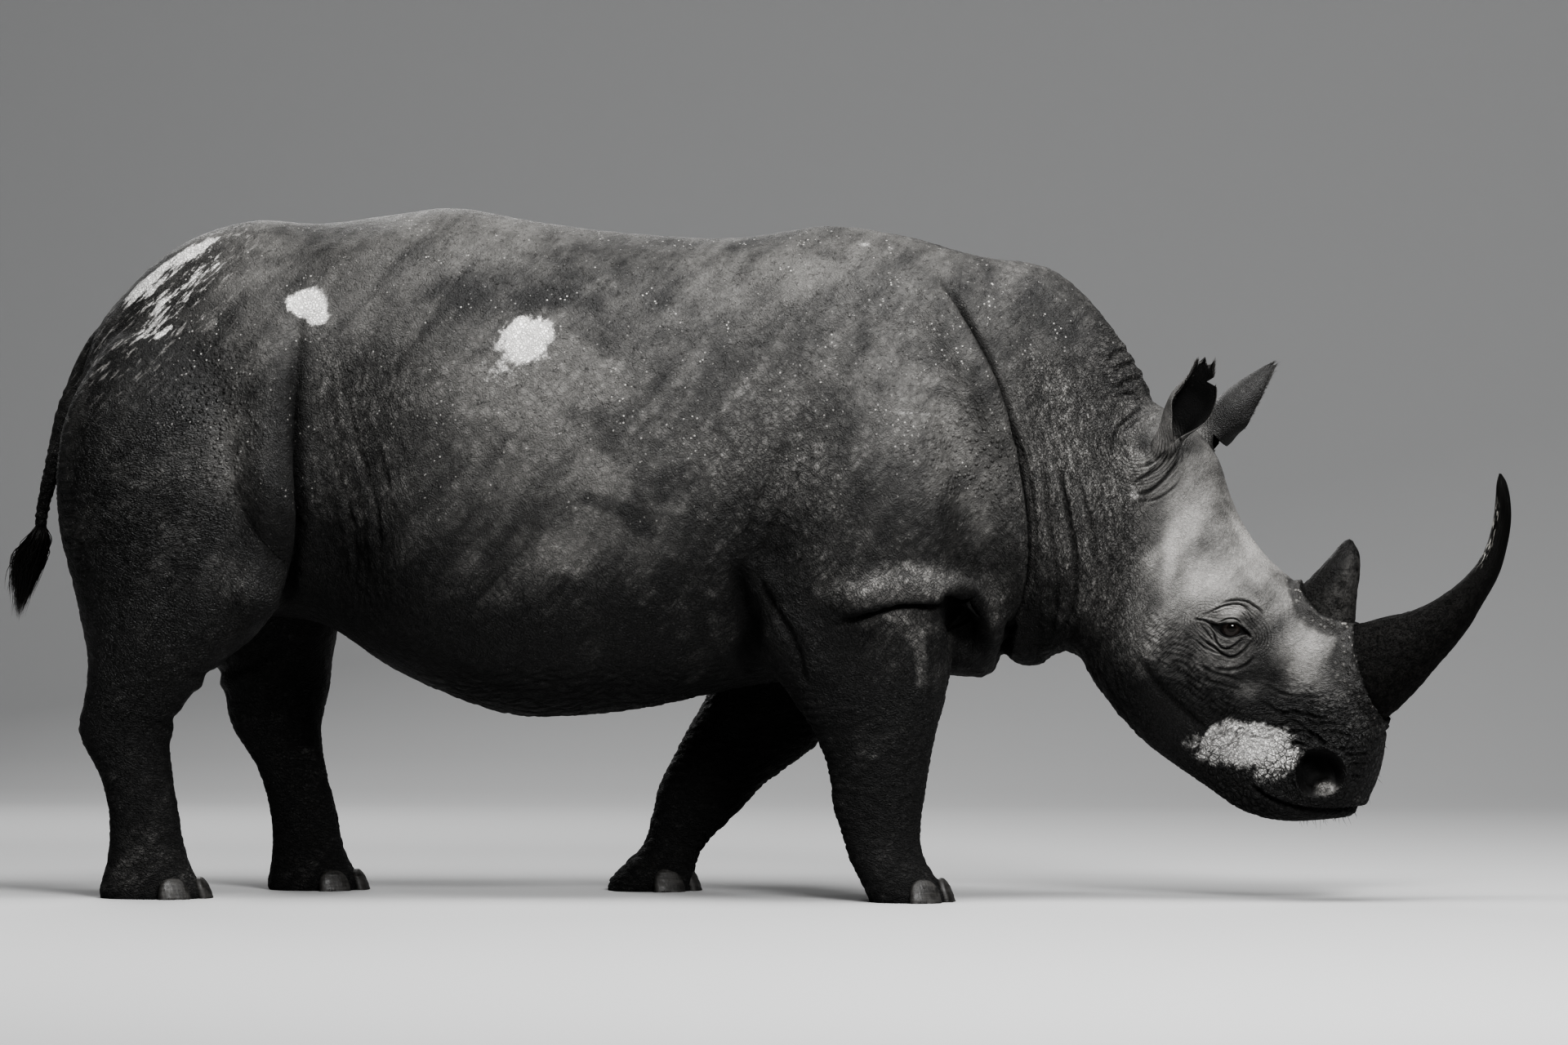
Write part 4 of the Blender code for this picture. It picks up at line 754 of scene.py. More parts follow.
def ear_frames(side, count):
    """Along the ear: its centre, its own way, the side it opens to, and its arc's radius and half angle."""
    line, facing = EAR_LINES[side]
    at = np.linspace(0, 1, count)
    shape = through([e[1] for e in EARS[side]], [e[2:] for e in EARS[side]], at)
    spine = through(np.linspace(0, 1, len(line)), line, at)
    way = np.gradient(spine, axis=0)
    way /= np.linalg.norm(way, axis=1)[:, None]
    out = np.array(facing) - (way @ np.array(facing))[:, None] * way
    out /= np.linalg.norm(out, axis=1)[:, None]
    return at, spine, way, out, np.cross(way, out), shape[:, 0], np.radians(shape[:, 1])


def build_ear(side):
    """A cupped leaf with a rounded rim, thick at the root and thin at the edge, as one closed mesh."""
    along, across = ((84, 56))
    rings = []
    for t, centre, way, out, to_side, radius, half in zip(*ear_frames(side, along)):
        thick = 0.0100 - 0.0044 * t
        half = min(half, math.radians(171))
        a = np.linspace(-half, half, across)
        edge = np.abs(a) / half
        wave = 0.0016 * np.sin(9 * t + 5 * a) * edge**2 + 0.0012 * np.sin(23 * t + 2 * a) * edge**4
        body = thick / 2 * (1 - 0.35 * edge**3)
        outer = [(r, b) for r, b in zip(radius + wave + body, a)]
        inner = [(r, b) for r, b in zip(radius + wave - body, a)][::-1]
        cap = np.linspace(-math.pi / 2, math.pi / 2, 7)[1:-1]
        rim = body[-1]
        end = [(radius + wave[-1] - rim * math.sin(c), half + rim * math.cos(c) / max(radius, 0.01)) for c in cap]
        start = [(radius + wave[0] + rim * math.sin(c), -half - rim * math.cos(c) / max(radius, 0.01)) for c in cap]
        r, b = np.array(outer + end + inner + start).T
        ragged = (0.010 * np.sin(4.5 * b + 1.0) + 0.004 * np.sin(11 * b)) * smooth(t, 0.86, 1.0) * (1.0 if side == "right" else 0.3)
        rings.append(centre - np.outer(np.cos(b) * r, out) + np.outer(np.sin(b) * r, to_side) + np.outer(ragged, way))
    bm = bmesh.new()
    loft(bm, rings)
    return from_bmesh("ear_" + side, bm)


def wedge(corners, low, high):
    bm = bmesh.new()
    for x, z in corners:
        for y in (low, high):
            bm.verts.new((x, y, z))
    bmesh.ops.convex_hull(bm, input=bm.verts)
    return from_bmesh("tear", bm)


TAIL = (
    (-1.660, 0.000, 1.510), (-1.775, 0.000, 1.395), (-1.848, 0.000, 1.260), (-1.890, 0.002, 1.130),
    (-1.922, 0.006, 1.020), (-1.936, 0.010, 0.930), (-1.945, 0.012, 0.880),
)
TAIL_RADII = (0.055, 0.048, 0.036, 0.027, 0.020, 0.017, 0.012)


def build_tail():
    count, sides = ((150, 36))
    at = np.linspace(0, 1, count)
    line = through(np.linspace(0, 1, len(TAIL)), TAIL, at)
    size = through(np.linspace(0, 1, len(TAIL_RADII)), np.array(TAIL_RADII)[:, None], at)[:, 0]
    way = np.gradient(line, axis=0)
    way /= np.linalg.norm(way, axis=1)[:, None]
    a = np.linspace(0, 2 * math.pi, sides, endpoint=False)
    rings = []
    for i, (p, d, r) in enumerate(zip(line, way, size)):
        across = np.array([-d[2], 0, d[0]])
        r = r * (1 + 0.035 * math.sin(i * 1.15) * smooth(at[i], 0.2, 0.4))
        rings.append(p + np.outer(np.cos(a) * r, across) + np.outer(np.sin(a) * r, (0, 1, 0)))
    bm = bmesh.new()
    loft(bm, rings)
    return from_bmesh("tail", bm)


def polygons(obj):
    return [v.co[:] for v in obj.data.vertices], [p.vertices[:] for p in obj.data.polygons]


def weld(skin, piece, soften):
    """Joins a piece into the skin, and rounds the corner where they meet over about the soften distance."""
    box = coordinates(piece.data)
    low, high = box.min(0) - 0.03, box.max(0) + 0.03
    co = coordinates(skin.data)
    bm = bmesh.new()
    bm.from_mesh(skin.data)
    bmesh.ops.delete(bm, geom=[v for v, k in zip(bm.verts, ((co < low) | (co > high)).any(1)) if k], context="VERTS")
    old_skin, old_piece = BVHTree.FromBMesh(bm), BVHTree.FromPolygons(*polygons(piece))
    bm.free()
    boolean(skin, piece, "UNION")
    co = coordinates(skin.data)
    near = np.flatnonzero(((co > low) & (co < high)).all(1))
    seam = []
    for i in near:
        p = Vector(co[i])
        if old_skin.find_nearest(p, 0.0004)[0] is not None and old_piece.find_nearest(p, 0.0004)[0] is not None:
            seam.append(i)
    said(f"welded: {len(seam)} points on the seam")
    if not seam:
        return
    tree = KDTree(len(seam))
    for k, i in enumerate(seam):
        tree.insert(Vector(co[i]), k)
    tree.balance()
    weight = np.zeros(len(co))
    for i in near:
        weight[i] = 1 - smooth(tree.find(Vector(co[i]))[2], soften * 0.5, soften * 1.5)
    relaxed(skin, weight, 0.5, 14)


# ---------------------------------------------------------------- folds, eyes, nostrils and mouth
def fold(co, no, cavity_shade, at_y, points, width, depth, roll_at, roll_width, roll_height, lean, starts=0.22):
    """A groove with a roll beside it that leans over it. It deepens over its first part."""
    places = seen_from_the_side(co, at_y)
    near = near_box(places, points, 0.16)
    near = near[np.abs(co[near, 1]) > max(0.0, at_y - 0.27)]
    signed, along = near_line(places[near], points)
    ends = ended(along, starts, 0.14)
    out = smooth(np.abs(co[near, 1]), max(0.0, at_y - 0.27), max(0.02, at_y - 0.14))
    wobble = 1 + 0.25 * np.sin(along * 17 + at_y * 40) * ends
    groove = bell(signed, width) * ends * out
    side = 1.0 if roll_at > 0 else -1.0
    roll = bell(signed - roll_at, roll_width) * np.where(signed * side > 0, 1.0, bell(signed, width)) * ends * out
    co[near] += ((roll * roll_height * wobble - groove * depth)[:, None]) * no[near]
    # The roll leans over the groove.
    towards = np.zeros((len(near), 3))
    line = curve(points, 200)
    step = np.gradient(line, axis=0)
    step /= np.linalg.norm(step, axis=1)[:, None]
    k = np.clip((along * 199).astype(int), 0, 199)
    towards[:, 0], towards[:, 2] = side * step[k, 1], -side * step[k, 0]
    shift = lean * bell(signed - roll_at * 0.35, roll_width * 0.55) * (signed * side > -width * 0.2) * ends * out
    co[near] += shift[:, None] * towards
    # Painted shade: the groove and its sides are marked for darker colour.
    cavity_shade[near] = np.maximum(cavity_shade[near], bell(signed, width * 1.2) * ends * out * min(1.0, depth / 0.03))


def crease(co, no, cavity_shade, at_y, points, width, depth):
    places = seen_from_the_side(co, at_y)
    near = near_box(places, points, 0.03)
    near = near[np.abs(co[near, 1]) > 0.03]
    signed, along = near_line(places[near], points)
    ends = ended(along, 0.30, 0.30)
    facing = smooth(np.abs(no[near, 1]), 0.15, 0.45)
    groove = bell(signed, width) * ends * facing
    puff = bell(np.abs(signed) - 2.6 * width, 1.6 * width) * ends * facing
    co[near] += ((puff * 0.28 - groove) * depth)[:, None] * no[near]
    # Painted shade: the crease's bottom is marked for darker colour.
    cavity_shade[near] = np.maximum(cavity_shade[near], 0.72 * bell(signed, width * 0.85) * ends * facing * min(1.0, depth / 0.004))


def quarter_frame(side):
    """Axes of the head as seen from its front quarter: across, up and out."""
    turn = math.radians(HEAD_TURN + VIEW_TURN)
    return np.array([math.cos(turn), -side * math.sin(turn), 0]), np.array([0, 0, 1.0]), np.array([math.sin(turn), side * math.cos(turn), 0])


def sculpt_eye(co, cavity_shade, wet, smooth_skin, ring, ringed, side):
    centre = np.array(EYE_AT) * (1, side, 1)
    across, up, out = quarter_frame(side)
    near = np.flatnonzero((np.abs(co - centre) < 0.13).all(1) & (co[:, 1] * side > 0.05))
    d = co[near] - centre
    u, v, w = d @ across, d @ up, d @ out
    shape = [((x - EYE_AT[0] + (EYE_AT[1] - 0.18) * math.tan(math.radians(17))) * math.cos(math.radians(17)), z - EYE_AT[2]) for x, z in EYE_OPENING]
    s = outline_distance(np.stack([u, v], 1), shape)
    r = np.hypot(u, v)
    # The lids' bed lies flatter than the side of the head and a little sunk, under the brow.
    bed = 0.0205 + 0.26 * v + 0.10 * u - 1.2 * u * u
    oval = np.hypot((u + 0.006) / 0.080, (v + 0.004) / 0.074)
    w = w + (1 - smooth(oval, 0.62, 1.0)) * 0.9 * (bed - w)
    lid = np.sqrt(np.maximum((EYE_RADIUS + 0.0036) ** 2 - r * r, 0))
    w = np.where(r < EYE_RADIUS + 0.0036, smooth_max(w, lid, 0.006), w)
    over = v > -0.004 - 0.35 * u
    w += 0.0030 * bell(s - 0.0055, 0.0048) * (s > 0) * np.where(over, 1.0, 0.7)
    w += 0.0040 * bell(v - 0.036, 0.016) * bell(u - 0.004, 0.045)
    w += 0.0035 * bell(v + 0.040 - 0.25 * u, 0.010) * bell(u, 0.045)
    w += 0.0030 * bell(v + 0.062, 0.012) * bell(u, 0.05)
    w -= 0.0016 * bell(s, 0.0012)
    w -= smooth(s, 0.0006, -0.0016) * np.minimum(0.0078, 0.0035 + np.abs(s))
    co[near] = centre + np.outer(u, across) + np.outer(v, up) + np.outer(w, out)
    # Painted shade: the eye's opening is marked for darker colour.
    cavity_shade[near] = np.maximum(cavity_shade[near], smooth(s, 0.0010, -0.0010))
    wet[near] = np.maximum(wet[near], bell(np.maximum(s, 0), 0.0035))
    lid = 0.85 * bell(np.hypot((u + 0.004) / 0.052, (v - 0.016) / 0.026), 0.90)
    smooth_skin[near] = np.maximum(smooth_skin[near], np.maximum(bell(np.maximum(s, 0), 0.0035), lid))
    ring[near] = s
    ringed[near] = smooth(s, 0.004, 0.014) * smooth(s, 0.072, 0.040) * np.where(v > -0.2 * u, 0.5, 1.0)


def sculpt_nostril(co, cavity_shade, wet, smooth_skin, side):
    centre = np.array((1.400, 0.140 * side, 0.330))
    across, up, out = quarter_frame(side)
    near = np.flatnonzero((np.abs(co - centre) < 0.13).all(1) & (co[:, 1] * side > 0.02))
    d = co[near] - centre
    u, v, w = d @ across, d @ up, d @ out
    shape = [((x - centre[0]) * math.cos(math.radians(17)), z - centre[2]) for x, z in NOSTRIL]
    s = outline_distance(np.stack([u, v], 1), shape)
    # Inside it lies a smooth pad, low and to the front, and the hollow curls round it.
    pad = bell(np.hypot((u - 0.016) / 1.35, v + 0.038), 0.023)
    rim = smooth(v + 0.3 * u, -0.05, 0.02)
    w += 0.010 * bell(s - 0.009, 0.009) * rim + 0.003 * bell(s - 0.008, 0.010)
    w -= (0.046 - 0.043 * pad) * smooth(s, 0.004 - 0.004 * rim, -0.020)
    w += 0.004 * pad
    smooth_skin[near] = np.maximum(smooth_skin[near], smooth(s, 0.006, -0.004))
    co[near] = centre + np.outer(u, across) + np.outer(v, up) + np.outer(w, out)
    # Painted shade: the nostril's hollow is marked for near-black colour, less so on the pad.
    cavity_shade[near] = np.maximum(cavity_shade[near], smooth(s, 0.001, -0.011) * (1 - np.minimum(1.35 * pad, 0.96)))
    wet[near] = np.maximum(wet[near], smooth(s, 0.010, -0.006) * (0.25 + 0.75 * pad))


def cut_mouth(co, no, cavity_shade):
    places = co[:, [0, 2]]
    near = near_box(places, MOUTH, 0.05)
    signed, along = near_line(places[near], MOUTH)
    ends = smooth(along, 1, 0.86) * smooth(along, 0.10, 0.34)
    outside = np.clip(np.abs(no[near, 1]) + np.maximum(no[near, 0], 0), 0, 1)
    groove = bell(signed, 0.0055) * ends * smooth(outside, 0.2, 0.6)
    lips = bell(np.abs(signed) - 0.015, 0.010) * ends
    co[near] += ((0.003 * lips - 0.009 * groove)[:, None]) * no[near]
    # Painted shade: the mouth's groove is marked for darker colour.
    cavity_shade[near] = np.maximum(cavity_shade[near], bell(signed, 0.0075) * ends * smooth(outside, 0.2, 0.6))


def horn_collar(co, no, cavity_shade, horns):
    """The skin rises in a rough welt where each horn grows out of it. Gives how near each point is to a horn."""
    close = np.zeros(len(co))
    way, over = head_axes(co)
    near = np.flatnonzero((over > 0.08) & (way > 0.25) & (np.abs(co[:, 1]) < 0.16))
    tree = BVHTree.FromPolygons(*polygons(horns))
    for i in near:
        hit = tree.find_nearest(Vector(co[i]), 0.07)
        if hit[0] is None:
            continue
        outside = (Vector(co[i]) - hit[0]).dot(hit[1]) > 0
        d = hit[3] if outside else -hit[3]
        lumpy = 1 + 0.35 * math.sin(co[i][1] * 160 + co[i][0] * 70) * math.sin(co[i][2] * 130 + 1)
        co[i] += no[i] * (0.0105 * lumpy * math.exp(-(((d - 0.011) / 0.010) ** 2)) - 0.002 * math.exp(-(((d - 0.031) / 0.007) ** 2)))
        # Painted shade: the seam round the horn and the dip beyond the welt are marked for darker colour.
        cavity_shade[i] = max(cavity_shade[i], 0.8 * math.exp(-((d / 0.004) ** 2)), 0.35 * math.exp(-(((d - 0.031) / 0.005) ** 2)))
        close[i] = math.exp(-((max(d, 0.0) / 0.036) ** 2))
    return close


# ---------------------------------------------------------------- the hide's grain, in the mesh
def leaning(co, angle, fine, along, depth):
    """Coordinates for a pattern of lines that run at an angle (degrees) in the side view."""
    c, s = math.cos(math.radians(angle)), math.sin(math.radians(angle))
    x, y, z = co.T
    return np.stack([(x * c + z * s) * along, (-x * s + z * c) * fine, y * depth], 1)


def warped(co, size, much):
    x, y, z = co.T * (2 * math.pi / size)
    return co + much * np.stack([np.sin(z + 1.3 * np.sin(0.7 * y)), np.sin(1.1 * x + 2.0), np.sin(0.9 * x + 0.8 * y + 1.0)], 1)


def regions(co):
    """Where each kind of wrinkle shows, each from 0 to 1."""
    x, y, z = co[:, 0], np.abs(co[:, 1]), co[:, 2]
    way, over = head_axes(co)
    head = smooth(x, 0.86, 1.04) * smooth(z, 1.42, 1.20)
    neck = smooth(x, 0.56, 0.70) * smooth(x, 1.02, 0.90) * smooth(z, 1.46, 1.30)
    legs = smooth(z, 0.62, 0.46) * (1 - head)
    flank = bell(x + 1.06, 0.16) * smooth(z, 0.66, 0.85) * smooth(z, 1.50, 1.30)
    elbow = bell(x - 0.02, 0.17) * bell(z - 0.98, 0.26) + 0.8 * bell(x - 0.30, 0.30) * bell(z - 0.74, 0.16)
    buttock = smooth(x, -1.35, -1.52) * bell(z - 0.98, 0.24)
    nape = smooth(x, 0.78, 0.86) * smooth(z, 1.22, 1.34)
    back = smooth(z, 1.35, 1.60) * smooth(x, 0.5, 0.3)
    muzzle = head * smooth(way, 0.60, 0.72)
    chin = head * smooth(over, -0.12, -0.24) * smooth(way, 0.40, 0.62)
    face = head * (1 - muzzle)
    cheek = head * bell(over + 0.13, 0.075) * smooth(way, 0.16, 0.26) * smooth(way, 0.66, 0.56)
    snout = head * bell(x - 1.36, 0.15) * bell(z - 0.475, 0.080) * smooth(y, 0.01, 0.05)
    under = smooth(z, 0.66, 0.54) * smooth(x, -1.0, -0.8) * smooth(x, 0.3, 0.1)
    return dict(head=head, neck=neck, legs=legs, flank=flank, elbow=np.clip(elbow, 0, 1), buttock=buttock, nape=nape, back=back,
        muzzle=muzzle, chin=chin, face=face, cheek=cheek, snout=snout, under=under)


def grain(skin, cavity_shade, lids):
    co = coordinates(skin.data)
    no = normals(skin.data)
    w = warped(co, 0.23, 0.010)
    w = warped(w, 0.071, 0.003)
    found = patterns(
        skin,
        {
            "lump": ("noise", co * 5.0, {"Detail": 3.0, "Roughness": 0.5}),
            "small": ("noise", co * 26.0, {"Detail": 2.0, "Roughness": 0.5}),
            "cross_a": ("edge", leaning(w, 52, 36, 15, 22), {"Randomness": 0.9}),
            "cross_b": ("edge", leaning(w, -40, 36, 15, 22), {"Randomness": 0.9}),
            "upright": ("edge", leaning(w, 96, 46, 11, 18), {"Randomness": 0.95}),
            "level": ("edge", leaning(w, 3, 50, 13, 13), {"Randomness": 0.95}),
            "plates": ("edge", warped(co, 0.06, 0.004) * 52.0, {"Randomness": 1.0}),
            "snout": ("edge", leaning(w, -14, 74, 17, 30), {"Randomness": 0.95}),
            "cheek": ("edge", leaning(w, -40, 62, 16, 24), {"Randomness": 0.95}),
            "fine": ("edge", warped(co, 0.05, 0.003) * np.array((92.0, 92.0, 92.0)), {"Randomness": 1.0}),
        },
    )
    on = regions(co)
    lined = {k: np.exp(-((found[k] / 0.13) ** 2)) for k in ("cross_a", "cross_b", "upright", "level", "plates", "cheek", "snout", "fine")}
    smooth_skin = 1 - lids
    body = (1 - on["head"]) * smooth_skin
    cross = np.maximum(lined["cross_a"], lined["cross_b"])
    depth = 0.0017 * body * (0.4 + 0.6 * (1 - on["back"])) * cross
    depth += 0.0024 * on["elbow"] * body * cross
    depth += (0.0024 * on["neck"] + 0.0034 * on["flank"] + 0.0014 * on["elbow"]) * body * lined["upright"]
    depth += (0.0015 * on["legs"] + 0.0026 * on["buttock"] + 0.0020 * on["nape"] + 0.0020 * on["under"]) * body * lined["level"]
    depth += (0.0024 * on["muzzle"] + 0.0020 * on["chin"]) * smooth_skin * lined["plates"]
    depth += 0.0008 * on["face"] * smooth_skin * lined["fine"]
    depth += 0.0026 * on["cheek"] * smooth_skin * lined["cheek"] + 0.0034 * on["snout"] * smooth_skin * lined["snout"]
    out = 0.0045 * (found["lump"] - 0.5) * 2 * body + 0.0014 * (found["small"] - 0.5) * 2 * (body + 0.6 * on["head"] * smooth_skin)
    set_coordinates(skin.data, co + (out - depth)[:, None] * no)
    # Painted shade: the grain's wrinkle grooves add to the mask of darker colour.
    return np.maximum(cavity_shade, np.clip(depth / 0.007, 0, 0.45))



def inside_ears(co, no):
    """Two masks: the ears' hollow side, which is painted dark as shade, and the ears as a whole, fading out at their
    roots.
    """
    found, whole = np.zeros(len(co)), np.zeros(len(co))
    for side in ("right", "left"):
        _, spine, way, out, _, radius, _ = ear_frames(side, 120)
        low, high = spine.min(0) - 0.07, spine.max(0) + 0.07
        for i in np.flatnonzero(((co > low) & (co < high)).all(1)):
            d = co[i] - spine
            k = int(np.argmin((d**2).sum(1)))
            radial = d[k] - (d[k] @ way[k]) * way[k]
            far = np.linalg.norm(radial)
            if far < radius[k] * 1.3 and k > 12:
                whole[i] = float(smooth(k, 14, 50))
            if far < radius[k] * 1.08 and k > 12:
                found[i] = float(smooth(-(no[i] @ radial) / max(far, 1e-6), 0.1, 0.6) * smooth(k, 12, 34))
    return found, whole


def build_skin(horns):
    """The whole hide as one closed mesh, before the head is turned, with what its material reads stored on it."""
    skin = build_body()
    said(f"body: {len(skin.data.vertices)} points")
    for side in ("right", "left"):
        ear = build_ear(side)
        tear = wedge(EAR_TEARS[side], -0.32 if side == "right" else 0.10, -0.10 if side == "right" else 0.34)
        boolean(ear, tear, "DIFFERENCE")
        weld(skin, ear, 0.018)
    weld(skin, build_tail(), 0.022)
    refined(skin, lambda co: (co[:, 0] > 0.93) & (co[:, 2] < 1.12), 2)
    eyes = [np.array(EYE_AT) * (1, s, 1) for s in (-1, 1)]
    holes = [np.array((1.400, 0.140 * s, 0.330)) for s in (-1, 1)]

    def within(points, reach):
        return lambda co: np.any([((co - p) ** 2).sum(1) < reach**2 for p in points], axis=0)

    refined(skin, within(eyes + holes, 0.105), 2)
    refined(skin, within(eyes, 0.070), 2)
    said(f"refined: {len(skin.data.vertices)} points")
    co = coordinates(skin.data)
    cavity_shade, wet, lids, ring, ringed = (np.zeros(len(co)) for _ in range(5))
    for _, at_y, points, *shape in FOLDS:
        fold(co, normals(skin.data), cavity_shade, at_y, points, *shape)
        set_coordinates(skin.data, co)
    near = (co[:, 0] < 0.95).astype(float) * smooth(cavity_shade, 0.02, 0.3)
    relaxed(skin, near, 0.5, 6)
    said("folds")
    co, no = coordinates(skin.data), normals(skin.data)
    close = horn_collar(co, no, cavity_shade, horns)
    set_coordinates(skin.data, co)
    co, no = coordinates(skin.data), normals(skin.data)
    cut_mouth(co, no, cavity_shade)
    for side in (-1, 1):
        sculpt_nostril(co, cavity_shade, wet, lids, side)
        sculpt_eye(co, cavity_shade, wet, lids, ring, ringed, side)
    set_coordinates(skin.data, co)
    no = normals(skin.data)
    for _, at_y, points, width, depth in CREASES:
        crease(co, no, cavity_shade, at_y, points, width, depth)
    set_coordinates(skin.data, co)
    said("head")
    hollow, ears = inside_ears(co, normals(skin.data))
    cavity_shade = grain(skin, cavity_shade, np.maximum(lids, ears))
    said("grain")
    rest = coordinates(skin.data)
    store(skin.data, "rest", rest)
    # Painted shade: the ears' hollow sides are darkened nearly to black.
    cavity_shade = np.maximum(cavity_shade, 0.93 * hollow)
    store(skin.data, "ears", ears)
    store(skin.data, "bare", lids)
    # Rings of fine wrinkles also lie round each ear's root, below it and behind it.
    x, y, z = rest[:, 0], np.abs(rest[:, 1]), rest[:, 2]
    off = np.hypot(x - 0.950, 0.88 * (z - 1.175))
    root = smooth(off, 0.030, 0.050) * smooth(off, 0.135, 0.095) * smooth(z - 0.25 * (x - 0.95), 1.235, 1.190) * smooth(y, 0.04, 0.10) * (1 - ears)
    ring = np.where(root > ringed, off, ring)
    store(skin.data, "ring", ring)
    store(skin.data, "ringed", np.maximum(ringed, root))
    marks = markings(rest, normals(skin.data), cavity_shade, wet, close)
    marks["dust_and_painted_light"] = np.clip(marks["dust_and_painted_light"] - ears * np.where(rest[:, 1] > 0, 0.26, 0.05), 0, 1)
    for name, values in marks.items():
        store(skin.data, name, values)
    return skin


def store(mesh, name, values):
    kind, key = ("FLOAT_VECTOR", "vector") if np.ndim(values) == 2 else ("FLOAT", "value")
    mesh.attributes.new(name, kind, "POINT").data.foreach_set(key, np.asarray(values, np.float32).ravel())


# ---------------------------------------------------------------- where dust, clay, wet, painted light and painted shade lie
# Dust and painted light and shade: centre (x, z), radii, how much more or less of it. Many are dried dust; some are
# painted highlights, as on the roll over the elbow, the temple and the cheek, and some painted shade, as in the flank's
# hollow, behind the ear and under the jaw.
DUST_AND_PAINTED_LIGHT = (
    ((-0.66, 1.30), (0.20, 0.20), 0.28), ((-0.426, 1.067), (0.09, 0.08), 0.26), ((-0.52, 0.91), (0.13, 0.06), 0.24),
    ((0.45, 1.23), (0.16, 0.05), 0.22), ((0.57, 1.05), (0.08, 0.20), 0.18), ((0.49, 1.16), (0.03, 0.05), 0.30),
    ((0.72, 1.45), (0.12, 0.15), -0.14), ((0.75, 1.15), (0.035, 0.10), 0.30), ((0.735, 1.30), (0.030, 0.05), 0.28), ((0.70, 0.72), (0.10, 0.12), -0.16),
    ((1.068, 0.957), (0.045, 0.10), 0.32), ((1.115, 0.905), (0.050, 0.030), -0.14), ((1.20, 0.90), (0.06, 0.11), 0.20), ((1.13, 0.82), (0.08, 0.05), 0.24),
    ((1.27, 0.69), (0.035, 0.05), -0.10), ((1.37, 0.645), (0.06, 0.07), 0.26), ((1.365, 0.565), (0.05, 0.04), 0.24), ((1.245, 0.585), (0.06, 0.035), -0.12),
    ((0.968, 0.846), (0.028, 0.035), 0.24), ((1.032, 0.87), (0.018, 0.09), 0.20), ((0.995, 0.765), (0.035, 0.035), -0.16), ((0.985, 0.640), (0.040, 0.040), 0.26),
    ((1.01, 0.49), (0.08, 0.05), -0.22), ((0.905, 1.065), (0.045, 0.035), 0.45), ((0.96, 1.00), (0.05, 0.06), -0.10), ((0.85, 1.00), (0.05, 0.09), -0.12),
    ((1.10, 0.50), (0.13, 0.06), -0.20), ((1.40, 0.36), (0.13, 0.12), -0.24), ((1.20, 0.31), (0.20, 0.06), -0.22), ((1.415, 0.292), (0.036, 0.020), 0.90),
    ((0.960, 1.165), (0.024, 0.035), -0.50), ((1.19, 0.62), (0.10, 0.04), -0.04),
    ((-1.62, 1.20), (0.28, 0.42), -0.30), ((0.80, 0.92), (0.15, 0.32), 0.40), ((1.19, 0.738), (0.035, 0.012), 0.35),
    ((1.03, 1.20), (0.03, 0.06), 0.15), ((-1.55, 1.36), (0.20, 0.15), -0.28), ((-1.22, 1.10), (0.05, 0.36), -0.26), ((-1.30, 1.50), (0.16, 0.14), 0.10),
    ((-1.16, 0.82), (0.16, 0.20), -0.40), ((-0.80, 1.55), (0.14, 0.06), -0.20), ((-0.98, 1.42), (0.10, 0.10), -0.12),
    ((0.31, 0.80), (0.18, 0.040), 0.85), ((-0.02, 0.84), (0.10, 0.14), -0.30), ((0.66, 0.72), (0.07, 0.14), -0.08),
    ((0.36, 0.70), (0.09, 0.030), 0.40), ((0.42, 0.61), (0.020, 0.07), 0.45), ((-1.62, 1.08), (0.13, 0.05), 0.26), ((-1.38, 1.10), (0.06, 0.12), 0.18),
    ((-0.20, 0.80), (0.30, 0.12), -0.10), ((0.05, 1.10), (0.18, 0.16), 0.10), ((0.845, 0.755), (0.05, 0.07), 0.30),
    ((0.565, 0.74), (0.045, 0.10), 0.24), ((0.93, 0.70), (0.07, 0.10), 0.22), ((1.17, 0.630), (0.07, 0.045), 0.18), ((0.80, 0.78), (0.10, 0.14), 0.14), ((0.10, 0.85), (0.10, 0.05), 0.14), ((-0.25, 1.62), (0.60, 0.10), -0.09), ((-0.30, 1.20), (0.35, 0.20), -0.05), ((1.30, 0.78), (0.04, 0.06), 0.10),
    ((-1.08, 1.10), (0.13, 0.30), 0.12), ((1.185, 0.735), (0.045, 0.018), 0.22), ((1.42, 0.60), (0.04, 0.08), -0.06), ((0.72, 0.62), (0.14, 0.06), 0.10),
    ((0.92, 0.69), (0.07, 0.07), 0.18), ((1.225, 0.54), (0.06, 0.035), 0.18), ((0.70, 1.05), (0.05, 0.12), 0.22), ((0.69, 0.77), (0.05, 0.07), 0.14),
    ((0.93, 1.14), (0.035, 0.055), 0.18), ((0.28, 0.60), (0.10, 0.06), 0.12), ((-1.00, 0.98), (0.10, 0.10), 0.08),
)
